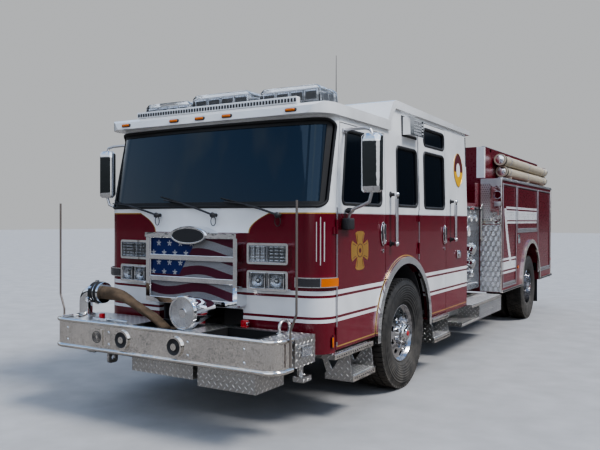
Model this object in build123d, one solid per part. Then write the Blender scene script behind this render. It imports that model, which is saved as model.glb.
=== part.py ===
"""Fire engine (pumper) with a four door cab, a front deck and a rear body.

Millimetres. X runs across, +X to the driver's side. Y runs rearward from the
front axle while the pieces are drawn, and Z is up from the ground. On writing,
the whole vehicle moves along Y so that its box is centred on the origin.
"""
from build123d import *
import os
from math import cos, radians, sin, sqrt, tan

# Overall places along the vehicle, from the front axle
BUMPER_FRONT_Y = -2340
DECK_REAR_Y = -1785
CAB_FRONT_Y = -1765
CAB_REAR_Y = 2090
PUMP_FRONT_Y = 2170
BODY_FRONT_Y = 3660
WHEELBASE = 5670
BODY_REAR_Y = 7460
TAIL_STEP = 100

# Cab
CAB_HALF = 1220
CAB_BOTTOM = 610
CAB_WALL = 60
BELT_Z = 1806
EAVE_Z = 2560
RAISED_Z = 2800
RAISED_FRONT_Y = -440
RAISED_SLOPE = 190
LEAN_PER_MM = 0.0305
SCREEN_SETBACK = 125
NOSE_SAG = 65
NOSE_CORNER_R = 200
ROOF_LIP = 28
TUNNEL_HALF = 470
TUNNEL_TOP = 1330
TUNNEL_SKIN = 20
TUNNEL_STEP_Y = 560
TUNNEL_FOOT = 640
NOSE_NOTCH_Z = 940
FLOOR_Z = 700
FLOOR_SKIN = 40
HOUSING_TOP = 1400
BROW_REACH = 60
BROW_Z = 2655

# Windscreen
SCREEN_HALF = CAB_HALF - 30
SCREEN_TOP = 2525
SCREEN_REBATE = 30
SCREEN_LIP = 110
SCREEN_POST = 22
GLASS = 12
GLASS_SET = 14
SEAT_GAP = 0.3

# Doors: front seam, rear seam, top, lean of the front edge above the belt, heights of the hinges,
# middle of the handle in Y and Z
DOOR_GAP = 8
DOOR_BOTTOM = 628
FRONT_DOOR = dict(front=-1508, rear=-488, top=2515, lean=105, hinges=(760, 1640), handle=(-562, 1570))
REAR_DOOR = dict(front=363, rear=1274, top=2755, lean=0, hinges=(1400, 1740), handle=(1200, 1530))
HANDLE = dict(half=60, high=120, proud=6, pull_half=24, pull=(-95, 85), pull_proud=26)
HINGE_OUT = 10
HINGE_R = 9
HINGE_PIN_R = 5
HINGE_HIGH = 60
HINGE_LEAF = 45

# Windows: front edge at the sill, front edge at the top, rear, sill, top
FRONT_WINDOW = dict(front=-1396, front_top=-1290, rear=-590, sill=1832, top=2458)
FIXED_WINDOW = dict(front=-215, front_top=-200, rear=335, sill=1838, top=2425)
REAR_WINDOW = dict(front=545, front_top=555, rear=1205, sill=1828, top=2433)
UPPER_WINDOW = dict(front=568, front_top=568, rear=1225, sill=2510, top=2693)
WINDOW_R = 60

# Front wheel arch and its trim
ARCH_R = 650
ARCH_Z = 610
TRIM_W = 70
TRIM_PROUD = 28

# Grab rails on the cab: place, foot and head
GRAB_RAILS = (
    dict(y=-372, low=1449, high=1962),
    dict(y=1434, low=1448, high=1938),
)
GRAB_RAIL_R = 16
GRAB_RAIL_OUT = 62
GRAB_RAIL_POST_R = 12

# Louvred light box high on the cab's side
SCENE_LIGHT = dict(y=(-40, 340), z=(2555, 2735), proud=90, rim=12, case=100, deep=60, fins=4, fin=12)

# Seats, dashboard and steering wheel, inside the doors by a clear space
INSIDE_SPACE = 80
INSIDE_HALF = CAB_HALF - CAB_WALL - INSIDE_SPACE
SEAT_WIDE = 520
FRONT_SEAT = dict(x=(INSIDE_HALF - SEAT_WIDE, INSIDE_HALF), y=(-1230, -730), z=(1060, 1180), base=60, back=100,
                  rake=110, top=1900)
BENCH = dict(half=INSIDE_HALF, y=1560, z=(1120, 1240), back=110, top=1900, base_y=1620, leg_wide=540, leg_in=20,
             leg_end=1980)
BENCH_BASE_HALF = 400
DASH = dict(half=INSIDE_HALF, front=-1690, rear=-1380, nose=(-1300, 1480), brow=(-1340, 1700), top=1760)
STEERING = dict(x=INSIDE_HALF - SEAT_WIDE / 2 - 20, y=-1130, z=1660, r=225, rim=15, tilt=-55, hub=60, column=24, reach=300)

# Wheels and axles
FRONT_TYRE_R = 555
FRONT_TYRE_W = 400
FRONT_TYRE_OUT = 1235
REAR_TYRE_R = 545
REAR_TYRE_W = 285
REAR_TYRE_OUT = 1235
DUAL_SPACING = 330
BEAD_R = 292
RIM_GAUGE = 14
HUB_BORE_R = 50.3
SPINDLE_R = 50
HUB_CAP_R = 92
HAND_HOLES = 10
NUTS = 10
NUT_R = 20
NUT_LONG = 46
NUT_RING_R = 142.5
KINGPIN_X = 880
KINGPIN_R = 18
EYE_R = 42
EYE_LOW = 490
EYE_HIGH = 620
EAR = 32
RUN_GAP = 0.3
DRUM_R = 200
DRUM_W = 150
BEAM_LOW = 430
BEAM_DEEP = 100
BEAM_WIDE = 90
STEER_ARM = 180
STEER_ARM_X = KINGPIN_X
STEER_ARM_Z = 462
TIE_ROD_R = 16
TIE_PIN_R = 12

# Frame
FRAME_HALF = 430
FRAME_FLANGE = 90
FRAME_WEB = 12
FRAME_LOW = 720
FRAME_HIGH = 980
FRAME_FRONT_Y = -1640
FRAME_REAR_Y = 7380
CROSSMEMBERS = (-1250, 1500, 3000, 4500, 6900)
TOW_EYE_R = 30
TOW_EYE_PLATE = 30
TOW_EYE_Y = BODY_REAR_Y + 45
TOW_EYE_Z = 825

# Engine, pump and shafts: half width, length and height of each block
ENGINE_BLOCK = dict(half=410, y=(-1100, 420), top=1290)
SUMP = dict(half=300, y=(-1000, 420), low=640)
GEARBOX = dict(half=250, z=(700, 960))
GEARBOX_END_Y = 1150
PUMP_Y = (2600, 3100)
PUMP_BLOCK = dict(half=300, low=620)
SHAFT_R = 45
SHAFT_Z = 760
AXLE_NOSE = 330
TUNNEL_REAR_TOP = FRAME_HIGH + SEAT_GAP + TUNNEL_SKIN

# Springs
SPRING_X = 385
LEAF = 14
LEAF_WIDE = 76
FRONT_SPRING_HALF = 700
REAR_SPRING_HALF = 620

# Bumper and front deck
BUMPER_HALF = 1187
BUMPER_LOW = 584
BUMPER_HIGH = 809
BUMPER_R = 120
BUMPER_SKIN = 10
BUMPER_SIDE_END_Y = -2130
BUMPER_RAIL_R = 18
DECK_PLATE = 12
DECK_DROP = 8
WELL_SKIN = 8
WELLS = (
    dict(x=(-330, 330), mouth=(-322, 120), y=(-2235, -1835), low=425),
    dict(x=(410, 960), mouth=(418, 952), y=(-2275, -1885), low=395),
)
SIDE_BOX_WIDE = 90
SIDE_LAMP = dict(y=(-2030, -1870), z=(650, 740), proud=14)
HORNS = (-343, 230)
HORN = dict(z=694, r=83, ring=66, boss=28, proud=18)
SPEAKER = dict(x=(-700, -566), z=(628, 760), proud=8)
TOW_PLATE = dict(x=(-557, -533), y=(-2300, -2200), low=470, hole=22, hole_z=515)
GROUND_LIGHT = dict(x=(1090, 1185), y=(-1960, -1840), z=(450, 492), stem=20)
DECK_HANDLE = dict(x=975, y=(-1975, -1825), rise=105, r=13)
GUIDE_ROD_R = 9
GUIDE_ROD_TOP = 1840
GUIDE_ROD_OUT = 1266
GUIDE_ROD_Y = -2200

# Siren, inlet elbow and hose
SIREN = dict(x=265, y=-2285, z=956, r=135, long=330)
ELBOW = dict(x=-1030, y=-2110, rise=1040, r=58, bend=95)
COUPLING_R = 92
HOSE_R = 58
HOSE_ROUTE = (
    (-790, -2110, 1040), (-640, -2110, 1040), (-505, -2092, 994), (-370, -2060, 905), (-245, -2030, 838),
    (-150, -2012, 755),
)

# Grille and lamps
GRILLE_HALF = 505
GRILLE_LOW = 965
GRILLE_HIGH = 1582
GRILLE_FRONT_Y = -1889
GRILLE_FRAME = 42
GRILLE_BARS = (1175, 1365)
GRILLE_BAR = 34
GRILLE_POCKET = 40
GRILLE_PROUD = 16
GRILLE_ARCH = dict(half=215, rise=58)
OVAL = dict(half=190, high=74, z=1558, proud=30, rim=12, sunk=4)
LAMPS = (
    dict(name="warning", x=735, z=1418, wide=380, high=176),
    dict(name="head", x=735, z=1198, wide=380, high=164),
)
LAMP_DEEP = 70
LAMP_YAW = 6
LAMP_R = 22
LAMP_RIM = 20
LAMP_POCKET = 20
TURN_Z = (1150, 1232)
TURN_X = 965
TURN_PROUD = 26

# Tail lamps: heights of the three lenses, and the warning lamp above them
TAIL_LAMP = dict(x=(985, 1175), lenses=(1020, 1160, 1300), half=62, rim=14, proud=16, lens=10)
TAIL_WARNING = dict(x=(1000, 1200), z=(2120, 2260), proud=20, rim=15, lens=10)

# Pump house and its side panels
PUMP_HALF = 930
PUMP_TOP = 2250
PUMP_SKIN = 30
PUMP_CEILING = 1900
LAY = dict(front=120, long=440, low=1950)
PANEL = 14
PANEL_Z = (700, 1900)
INTAKE = dict(y=2640, z=1180, neck=84, reach=110, cap=104, cap_deep=40)
OUTLETS = (
    dict(y=2420, z=1000),
    dict(y=2420, z=1330),
    dict(y=2900, z=960),
    dict(y=2900, z=1330),
)
OUTLET = dict(neck=40, reach=90, cap=52, cap_deep=28)
GAUGES = dict(y=2420, step=240, count=5, z=1720, r=46, proud=18)
MASTER_GAUGES = dict(y=2780, step=240, count=2, z=1540, r=75, proud=18)
LEVERS = dict(y=2360, step=200, count=6, z=1860, r=9, reach=85, grip=13, grip_half=45)
WALL_RAIL = dict(x=985, z=(1400, 1930), out=75, r=16)

# Deck gun on the pump house
GUN_Y = 2860
GUN_Z = 2620
GUN_FOOT_R = 110
GUN_FOOT = 40
GUN_RISER_R = 55
GUN_EAR = (62, 84)
GUN_PIN_R = 12
GUN_BARREL_R = 45
GUN_MUZZLE_R = 58
GUN_MUZZLE = 140
GUN_REACH = 560

# Body
BODY_HALF = 1260
BODY_LOW = 627
BODY_TOP = 2325
BODY_DEPTH = 600
BODY_BACK = 40
SHUTTER = 18
SHUTTER_SET = 7
SLAT = 46
SLAT_GROOVE = 9
SLAT_DEEP = 5
SLAT_FOOT = 52
REAR_SHUTTER = dict(half=540, z=(950, 1730))
REAR_RAIL = dict(x=860, z=(950, 2000), out=75, r=16)
COMPARTMENTS = (
    dict(y=(3760, 4560), z=(712, 2230)),
    dict(y=(4680, 6150), z=(1520, 2230)),
    dict(y=(6270, 7340), z=(790, 2230)),
)
REAR_ARCH_R = 665
REAR_ARCH_Z = 640
BED_HALF = 1000
BED_WALL = 40
BED_FLOOR = 1840
BED_TOP = 2800
BED_DECK = 20
TANK_HALF = 560
TANK_ENDS = (80, 490)

# Cab steps: treads, and the running board under the pump
STEP_X = (940, 1250)
STEP_OUT = 20
STEP_IN = 60
STEP_TREAD = 44
STEP_LOW_TREAD = 54
STEP_BRACKET = 12
STEP_TOP = CAB_BOTTOM - 4
STEPS = (
    dict(y=(-1573, -835), low=380, lower_y=(-1281, -835), hangers=(-1400, -1050)),
    dict(y=(735, 1263), low=395, lower_y=(735, 1275), hangers=(800, 1150)),
)
HANGER = dict(x=(980, 1020), long=50)
BOARD = dict(out=1275, y=(2130, BODY_FRONT_Y - 60), z=(575, 612))
BOARD_LOCKER = dict(x=930, y=2480, low=385)
BOARD_STEP = dict(x=1000, y=1720, z=(385, 428), side=(960, 980), end=20)
BOARD_HANGER = dict(y=(2400, 3300), low=600, wide=30)

# Roof lights: low corner and high corner of each pod in X and Z
PODS = (
    dict(x=(-930, -345), z=2822),
    dict(x=(-345, 345), z=2857),
    dict(x=(420, 1060), z=2841),
)
POD_Y = (-1470, -1130)
BAR_Y = (-1600, -1540)
BAR_HALF = 900
BAR_Z = (2655, 2725)
ANTENNA = dict(x=900, y=-900, top=3210, r=5)

# Suction tubes on the body
TUBES = (
    dict(x=1096, z=2470, y=(4340, 7440)),
    dict(x=1110, z=2640, y=(4180, 7400)),
)
TUBE_R = 78

SHIFT_Y = -(BUMPER_FRONT_Y - BUMPER_RAIL_R + BODY_REAR_Y + TAIL_STEP) / 2


def block(x, y, z):
    """Box between low and high values along each axis."""
    size = Box(x[1] - x[0], y[1] - y[0], z[1] - z[0])
    return Pos((x[0] + x[1]) / 2, (y[0] + y[1]) / 2, (z[0] + z[1]) / 2) * size


def prism_x(points, x0, x1, radius=0):
    """Outline in Y and Z pushed from x0 to x1, its corners rounded."""
    face = Polygon(*points, align=None)
    if radius:
        face = fillet(face.vertices(), radius)
    return extrude(Plane.YZ.offset(x0) * face, amount=x1 - x0, dir=(1, 0, 0))


def prism_y(points, y0, y1, radius=0):
    """Outline in X and Z pushed from y0 to y1, its corners rounded."""
    face = Polygon(*points, align=None)
    if radius:
        face = fillet(face.vertices(), radius)
    return extrude(Plane.XZ.offset(-y0) * face, amount=y1 - y0, dir=(0, 1, 0))


def rod_x(r, x0, x1, y, z):
    """Round bar along X."""
    return Pos((x0 + x1) / 2, y, z) * Rot(0, 90, 0) * Cylinder(r, x1 - x0)


def rod_y(r, y0, y1, x, z):
    """Round bar along Y."""
    return Pos(x, (y0 + y1) / 2, z) * Rot(90, 0, 0) * Cylinder(r, y1 - y0)


def rod_z(r, z0, z1, x, y):
    """Upright round bar."""
    return Pos(x, y, (z0 + z1) / 2) * Cylinder(r, z1 - z0)


def swept_rod(r, points, bends):
    """Round bar along straight runs joined by arcs."""
    path = FilletPolyline(*points, radius=bends)
    start = path @ 0
    along = path % 0
    return sweep(Plane(origin=start, z_dir=along) * Circle(r), path=path)


def other_side(shape):
    """The same piece on the officer's side."""
    return mirror(shape, about=Plane.YZ)


def both_sides(shape):
    """A piece and its mirror image."""
    return shape + other_side(shape)


def half_at(z):
    """Half width of the cab's outside at a height: upright to the belt, then leaning in."""
    return CAB_HALF - max(0, z - BELT_Z) * LEAN_PER_MM


def cab_plan(inset, setback, half):
    """Plan of the cab: a bowed nose, round corners and straight sides."""
    reach = half - NOSE_CORNER_R
    turn_y = CAB_FRONT_Y + setback + NOSE_SAG + NOSE_CORNER_R
    r = NOSE_CORNER_R - inset
    side = reach + r
    mid = r * cos(radians(45))
    front = Polyline((-side, turn_y), (-side, CAB_REAR_Y - inset), (side, CAB_REAR_Y - inset), (side, turn_y))
    right = ThreePointArc((side, turn_y), (reach + mid, turn_y - mid), (reach, turn_y - r))
    nose = ThreePointArc(
        (reach, turn_y - r), (0, CAB_FRONT_Y + setback + inset), (-reach, turn_y - r))
    left = ThreePointArc((-reach, turn_y - r), (-reach - mid, turn_y - mid), (-side, turn_y))
    return make_face(front.edges() + right.edges() + nose.edges() + left.edges())


def cab_solid(inset):
    """The cab's outer form up to the eave, drawn in by an inset."""
    lower = extrude(Pos(0, 0, CAB_BOTTOM) * cab_plan(inset, 0, CAB_HALF), amount=BELT_Z - CAB_BOTTOM)
    base = Pos(0, 0, BELT_Z) * cab_plan(inset, 0, CAB_HALF)
    top = Pos(0, 0, EAVE_Z) * cab_plan(inset, SCREEN_SETBACK, half_at(EAVE_Z))
    upper = loft(Sketch() + [base.face(), top.face()], ruled=True)
    return lower + upper


def leaning_slab(inset_out, inset_in, y0, y1, z0, z1):
    """A side panel between two insets, upright below the belt and leaning above it."""
    levels = [z0] + ([BELT_Z] if z0 < BELT_Z < z1 else []) + [z1]
    outside = [(half_at(z) - inset_out, z) for z in levels]
    inside = [(half_at(z) - inset_in, z) for z in reversed(levels)]
    return prism_y(outside + inside, y0, y1)


def window_outline(win, grow):
    """Corner points of a window in Y and Z, grown outward."""
    return (
        (win["front"] - grow, win["sill"] - grow), (win["rear"] + grow, win["sill"] - grow),
        (win["rear"] + grow, win["top"] + grow), (win["front_top"] - grow, win["top"] + grow))


def window_prism(win, grow=0):
    """The window's opening, through the driver's side."""
    return prism_x(window_outline(win, grow), CAB_HALF - 300, CAB_HALF + 100, WINDOW_R + grow)


def window_pane(win):
    """The glass of a side window, set into its panel."""
    slab = leaning_slab(GLASS_SET, GLASS_SET + GLASS, win["front"] - 50, win["rear"] + 50,
                        win["sill"] - 50, win["top"] + 50)
    return slab & window_prism(win, -SEAT_GAP)


def arch_cut(radius, centre_z, y, x0, x1):
    """The space of a wheel arch: a half round over straight sides."""
    top = rod_x(radius, x0, x1, y, centre_z)
    legs = block((x0, x1), (y - radius, y + radius), (-100, centre_z))
    return top + legs


def door_outline(door, gap):
    """A door's edge in Y and Z. Above the belt its front edge leans back with the screen."""
    front = door["front"] + gap
    lean = door["lean"]
    return (
        (front, DOOR_BOTTOM - 8 + gap), (door["rear"] - gap, DOOR_BOTTOM - 8 + gap),
        (door["rear"] - gap, door["top"] - gap), (front + lean, door["top"] - gap), (front, BELT_Z))


def door_panel(door, windows):
    """One door: a slab of the cab's side with its window cut, the wheel arch cleared and its handle."""
    slab = leaning_slab(0, CAB_WALL, door["front"], door["rear"], DOOR_BOTTOM - 20, door["top"])
    panel = slab & prism_x(door_outline(door, DOOR_GAP), CAB_HALF - 200, CAB_HALF + 50)
    panel -= arch_cut(ARCH_R + TRIM_W + DOOR_GAP, ARCH_Z, 0, CAB_HALF - 300, CAB_HALF + 100)
    for win in windows:
        panel -= window_prism(win)
    return panel + hinge_pins(door) + door_handle(door)


def door_handle(door):
    """Oval plate with an upright pull, standing a little off the door."""
    y, z = door["handle"]
    plate = Plane.YZ.offset(CAB_HALF - 1) * (Pos(y, z) * Ellipse(HANDLE["half"], HANDLE["high"]))
    plate = extrude(plate, amount=HANDLE["proud"] + 1, dir=(1, 0, 0))
    pull_y = (y - HANDLE["pull_half"], y + HANDLE["pull_half"])
    pull_z = (z + HANDLE["pull"][0], z + HANDLE["pull"][1])
    return plate + block((CAB_HALF, CAB_HALF + HANDLE["pull_proud"]), pull_y, pull_z)


def hinge_sockets(door):
    """The cab's half of a door's hinges: leaves ahead of the seam with bored barrels."""
    x = CAB_HALF + HINGE_OUT
    y = door["front"] + DOOR_GAP / 2
    halves = []
    for z in door["hinges"]:
        leaf = block((CAB_HALF - 20, CAB_HALF + 6), (y - HINGE_LEAF, y - 4), (z - HINGE_HIGH, z))
        bore = rod_z(HINGE_PIN_R + RUN_GAP, z - HINGE_HIGH + 10, z + 1, x, y)
        halves.append(leaf + (rod_z(HINGE_R, z - HINGE_HIGH, z, x, y) - bore))
    return halves[0] + halves[1]


def hinge_pins(door):
    """The door's half of its hinges: leaves behind the seam with barrels and pins."""
    x = CAB_HALF + HINGE_OUT
    y = door["front"] + DOOR_GAP / 2
    halves = []
    for z in door["hinges"]:
        leaf = block((CAB_HALF - 20, CAB_HALF + 6), (y + 4, y + HINGE_LEAF), (z + RUN_GAP, z + HINGE_HIGH))
        barrel = rod_z(HINGE_R, z + RUN_GAP, z + HINGE_HIGH, x, y)
        halves.append(leaf + barrel + rod_z(HINGE_PIN_R, z - HINGE_HIGH + 15, z + 1, x, y))
    return halves[0] + halves[1]


def cab_front():
    """Nose, screen frame and corner posts, ahead of the front door seam."""
    shell = cab_solid(0) - cab_solid(CAB_WALL)
    nose = shell & ahead_of_seam(0)
    nose -= block((-TUNNEL_HALF, TUNNEL_HALF), (CAB_FRONT_Y - 100, 0), (CAB_BOTTOM - 1, NOSE_NOTCH_Z))
    rebate = screen_prism(0) - cab_solid(SCREEN_REBATE)
    through = prism_y(
        ((-SCREEN_HALF + SCREEN_LIP, BELT_Z + 40), (SCREEN_HALF - SCREEN_LIP, BELT_Z + 40),
         (SCREEN_HALF - SCREEN_LIP, SCREEN_TOP - 30), (-SCREEN_HALF + SCREEN_LIP, SCREEN_TOP - 30)),
        CAB_FRONT_Y - 200, FRONT_DOOR["front"] - 30, WINDOW_R)
    return nose - rebate - through + both_sides(hinge_sockets(FRONT_DOOR))


def ahead_of_seam(back_off):
    """All that lies in front of the front door's leaning seam, less a margin."""
    seam = FRONT_DOOR["front"] - back_off
    lean = FRONT_DOOR["lean"] * (EAVE_Z - BELT_Z) / (FRONT_DOOR["top"] - BELT_Z)
    return prism_x(
        ((CAB_FRONT_Y - 200, CAB_BOTTOM), (seam, CAB_BOTTOM), (seam, BELT_Z), (seam + lean, EAVE_Z),
         (CAB_FRONT_Y - 200, EAVE_Z)), -CAB_HALF - 50, CAB_HALF + 50)


def screen_prism(shrink):
    """The screen's outline seen from the front, ending short of the door."""
    half = SCREEN_HALF - shrink
    return ahead_of_seam(SCREEN_POST + shrink) & prism_y(
        ((-half, BELT_Z + shrink), (half, BELT_Z + shrink), (half, SCREEN_TOP - shrink),
         (-half, SCREEN_TOP - shrink)), CAB_FRONT_Y - 200, -1400, WINDOW_R)


def cab_glass():
    """The wrap round screen and the fixed side windows."""
    ring = cab_solid(SCREEN_REBATE - GLASS - SEAT_GAP) - cab_solid(SCREEN_REBATE - SEAT_GAP)
    screen = ring & screen_prism(SEAT_GAP)
    return [screen] + both(window_pane(FIXED_WINDOW))


def both(shape):
    """A list of a piece and its mirror image."""
    return [shape, other_side(shape)]


def cab_side_blank():
    """The side behind the front door before its openings are cut."""
    front = FRONT_DOOR["rear"]
    wall = leaning_slab(0, CAB_WALL, front, CAB_REAR_Y, CAB_BOTTOM, RAISED_Z - 10)
    slope_end = RAISED_FRONT_Y + RAISED_SLOPE
    outline = prism_x(
        ((front, CAB_BOTTOM), (CAB_REAR_Y, CAB_BOTTOM), (CAB_REAR_Y, RAISED_Z - 10), (slope_end, RAISED_Z - 10),
         (RAISED_FRONT_Y, EAVE_Z), (front, EAVE_Z)), CAB_HALF - 200, CAB_HALF + 50)
    header_front = FRONT_DOOR["front"] + FRONT_DOOR["lean"] + DOOR_GAP
    header = leaning_slab(0, CAB_WALL, header_front, front, FRONT_DOOR["top"], EAVE_Z)
    return (wall & outline) + header


def cab_side():
    """The side behind the front door, with the rear door's opening, window and arch."""
    wall = cab_side_blank()
    wall -= prism_x(door_outline(REAR_DOOR, 0), CAB_HALF - 300, CAB_HALF + 100)
    wall -= arch_cut(ARCH_R, ARCH_Z, 0, CAB_HALF - 300, CAB_HALF + 100)
    wall -= window_prism(FIXED_WINDOW)
    header = leaning_slab(0, CAB_WALL, REAR_DOOR["front"], REAR_DOOR["rear"], REAR_DOOR["top"], RAISED_Z - 10)
    return wall + header + hinge_sockets(REAR_DOOR)


def cab_rear():
    """The cab's back wall between its sides."""
    inner = half_at(RAISED_Z) - CAB_WALL
    low = CAB_HALF - CAB_WALL
    wall = prism_y(
        ((-low, CAB_BOTTOM), (low, CAB_BOTTOM), (low, BELT_Z), (inner, RAISED_Z - 10), (-inner, RAISED_Z - 10),
         (-low, BELT_Z)), CAB_REAR_Y - CAB_WALL, CAB_REAR_Y)
    passage = (CAB_BOTTOM - 1, TUNNEL_REAR_TOP - TUNNEL_SKIN)
    return wall - block((-TUNNEL_HALF, TUNNEL_HALF), (0, CAB_REAR_Y + 1), passage)


def cab_roof():
    """The low front roof with its brow, and the raised roof behind its sloping face."""
    half = half_at(EAVE_Z) + ROOF_LIP
    nose = CAB_FRONT_Y + SCREEN_SETBACK - BROW_REACH
    low_roof = prism_x(
        ((nose, EAVE_Z), (nose + 18, BROW_Z - 30), (nose + 70, BROW_Z), (RAISED_FRONT_Y + 60, BROW_Z),
         (RAISED_FRONT_Y + 60, EAVE_Z)), -half, half)
    corner = fillet(Rectangle(2 * half, 2400).vertices(), NOSE_CORNER_R)
    low_roof &= extrude(Pos(0, nose + 1200, EAVE_Z) * corner, amount=400)
    slope_end = RAISED_FRONT_Y + RAISED_SLOPE
    back = CAB_REAR_Y + 110
    raised_half = half_at(RAISED_Z) + ROOF_LIP
    top = RAISED_Z + 70
    raised = prism_x(
        ((RAISED_FRONT_Y, EAVE_Z), (RAISED_FRONT_Y, BROW_Z), (slope_end - 60, top - 20), (slope_end, top),
         (back, top - 25), (back, RAISED_Z - 10), (slope_end, RAISED_Z - 10)), -raised_half, raised_half)
    headroom = prism_x(
        ((RAISED_FRONT_Y + 60, EAVE_Z - 1), (slope_end + 20, RAISED_Z - 10), (slope_end + 20, EAVE_Z - 1)),
        -raised_half, raised_half)
    raised -= headroom
    raised = raised + low_roof
    raised -= both_sides(cab_side_blank())
    return raised


def cab_floor():
    """The engine tunnel over the frame, the side floors and the wheel housings, as separate pressings."""
    half = CAB_HALF - CAB_WALL - DOOR_GAP
    skin = TUNNEL_SKIN
    inner = TUNNEL_HALF - skin
    back = CAB_REAR_Y - CAB_WALL - SEAT_GAP
    front = CAB_FRONT_Y
    low = TUNNEL_FOOT
    tunnel = block((-TUNNEL_HALF, TUNNEL_HALF), (front, TUNNEL_STEP_Y), (low, TUNNEL_TOP))
    tunnel += block((-TUNNEL_HALF, TUNNEL_HALF), (front, back), (low, TUNNEL_REAR_TOP))
    tunnel -= block((-inner, inner), (front - 1, TUNNEL_STEP_Y - skin), (low - 1, TUNNEL_TOP - skin))
    tunnel -= block((-inner, inner), (front - 1, back + 1), (low - 1, TUNNEL_REAR_TOP - skin))
    pieces = [tunnel]
    x = (TUNNEL_HALF + SEAT_GAP, half)
    reach = ARCH_R + skin
    for y in ((front, -reach - SEAT_GAP), (reach + SEAT_GAP, back)):
        pieces += both(block(x, y, (FLOOR_Z - FLOOR_SKIN, FLOOR_Z)))
    housing = arch_cut(reach, ARCH_Z + skin, 0, *x) & block(x, (-reach, reach), (low, HOUSING_TOP))
    housing -= arch_cut(ARCH_R, ARCH_Z + skin, 0, TUNNEL_HALF + skin, half + 1)
    pieces += both(housing)
    return [piece & cab_solid(CAB_WALL + SEAT_GAP) for piece in pieces]


def front_seat(x):
    """One front seat between two places across: base, cushion and raked back."""
    y, z, inset, rake = FRONT_SEAT["y"], FRONT_SEAT["z"], FRONT_SEAT["base"], FRONT_SEAT["rake"]
    base = block((x[0] + inset, x[1] - inset), (y[0] + 80, y[1] - 30), (FLOOR_Z + SEAT_GAP, z[0]))
    cushion = block(x, y, (z[0] + SEAT_GAP, z[1]))
    foot = y[1] - FRONT_SEAT["back"]
    back = prism_x(
        ((foot, z[1] + SEAT_GAP), (y[1], z[1] + SEAT_GAP), (y[1] + rake, FRONT_SEAT["top"]),
         (foot + rake + 20, FRONT_SEAT["top"])), x[0], x[1], 30)
    return [base, cushion + back]


def cab_seats():
    """Front seats and the rear bench, on plain bases."""
    left, right = FRONT_SEAT["x"]
    pieces = front_seat((-right, -left)) + front_seat((left, right))
    end = CAB_REAR_Y - CAB_WALL - SEAT_GAP
    half, z = BENCH["half"], BENCH["z"]
    cushion = block((-half, half), (BENCH["y"], end), (z[0] + SEAT_GAP, z[1]))
    back = block((-half, half), (end - BENCH["back"], end), (z[1], BENCH["top"]))
    middle = block((-BENCH_BASE_HALF, BENCH_BASE_HALF), (BENCH["base_y"], end),
                   (TUNNEL_REAR_TOP + SEAT_GAP, z[0]))
    leg_out = half - BENCH["leg_in"]
    leg = block((leg_out - BENCH["leg_wide"], leg_out), (BENCH["base_y"], BENCH["leg_end"]), (FLOOR_Z + SEAT_GAP, z[0]))
    return pieces + [middle, cushion + back] + both(leg)


def dashboard():
    """Dashboard across the cab, with the steering wheel on its column."""
    foot = TUNNEL_TOP + SEAT_GAP
    dash = prism_x(
        ((DASH["front"], foot), (DASH["rear"], foot), DASH["nose"], DASH["brow"], (DASH["front"], DASH["top"])),
        -DASH["half"], DASH["half"], 25)
    dash &= cab_solid(CAB_WALL + SEAT_GAP)
    place = Pos(STEERING["x"], STEERING["y"], STEERING["z"]) * Rot(STEERING["tilt"], 0, 0)
    wheel = Torus(STEERING["r"], STEERING["rim"]) + Cylinder(STEERING["hub"], 2 * STEERING["rim"])
    wheel += Box(2 * STEERING["r"] - 20, 2 * STEERING["rim"], 14)
    down = Pos(0, 0, -STEERING["reach"] / 2)
    return [dash + place * down * Cylinder(STEERING["column"], STEERING["reach"]) + place * wheel]


def frame_rails():
    """Two channel rails, crossmembers, front extensions and tow eyes."""
    web_in = FRAME_HALF - FRAME_FLANGE
    rail = block((web_in, FRAME_HALF), (FRAME_FRONT_Y, FRAME_REAR_Y), (FRAME_LOW, FRAME_HIGH))
    rail -= block((web_in - 1, FRAME_HALF - FRAME_WEB), (FRAME_FRONT_Y - 1, FRAME_REAR_Y + 1),
                  (FRAME_LOW + FRAME_WEB, FRAME_HIGH - FRAME_WEB))
    extension = block((web_in, web_in + 60), (BUMPER_FRONT_Y + BUMPER_SKIN + SEAT_GAP, FRAME_FRONT_Y + 400),
                      (BUMPER_LOW + 30, BUMPER_HIGH - DECK_DROP - DECK_PLATE - SEAT_GAP))
    eye = prism_x(
        ((FRAME_REAR_Y - 60, TOW_EYE_Z - 65), (TOW_EYE_Y + 55, TOW_EYE_Z - 65),
         (TOW_EYE_Y + 55, TOW_EYE_Z + 65), (FRAME_REAR_Y - 60, TOW_EYE_Z + 65)),
        FRAME_HALF, FRAME_HALF + TOW_EYE_PLATE, 30)
    eye -= rod_x(TOW_EYE_R, FRAME_HALF - 1, FRAME_HALF + TOW_EYE_PLATE + 1, TOW_EYE_Y, TOW_EYE_Z)
    frame = both_sides(rail + extension + eye)
    for y in CROSSMEMBERS:
        reach = FRAME_HALF - FRAME_WEB
        frame += block((-reach, reach), (y - 40, y + 40), (FRAME_HIGH - 130, FRAME_HIGH - 40))
    return [frame]


def leaf_spring(y, half, seat_z, rise, count):
    """A stack of bowed leaves, each shorter than the one above it."""
    stack = None
    for n in range(count):
        reach = half * (1 - 0.16 * n)
        low = seat_z + (count - 1 - n) * LEAF
        lift = rise * (reach / half) ** 2
        under = ThreePointArc((y - reach, low + lift), (y, low), (y + reach, low + lift))
        over = ThreePointArc((y - reach, low + lift + LEAF), (y, low + LEAF), (y + reach, low + lift + LEAF))
        ends = Line((y - reach, low + lift), (y - reach, low + lift + LEAF)), \
            Line((y + reach, low + lift), (y + reach, low + lift + LEAF))
        face = make_face(under.edges() + over.edges() + ends[0].edges() + ends[1].edges())
        leaf = extrude(Plane.YZ.offset(SPRING_X - LEAF_WIDE / 2) * face, amount=LEAF_WIDE, dir=(1, 0, 0))
        stack = leaf if stack is None else stack + leaf
    return stack


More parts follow.
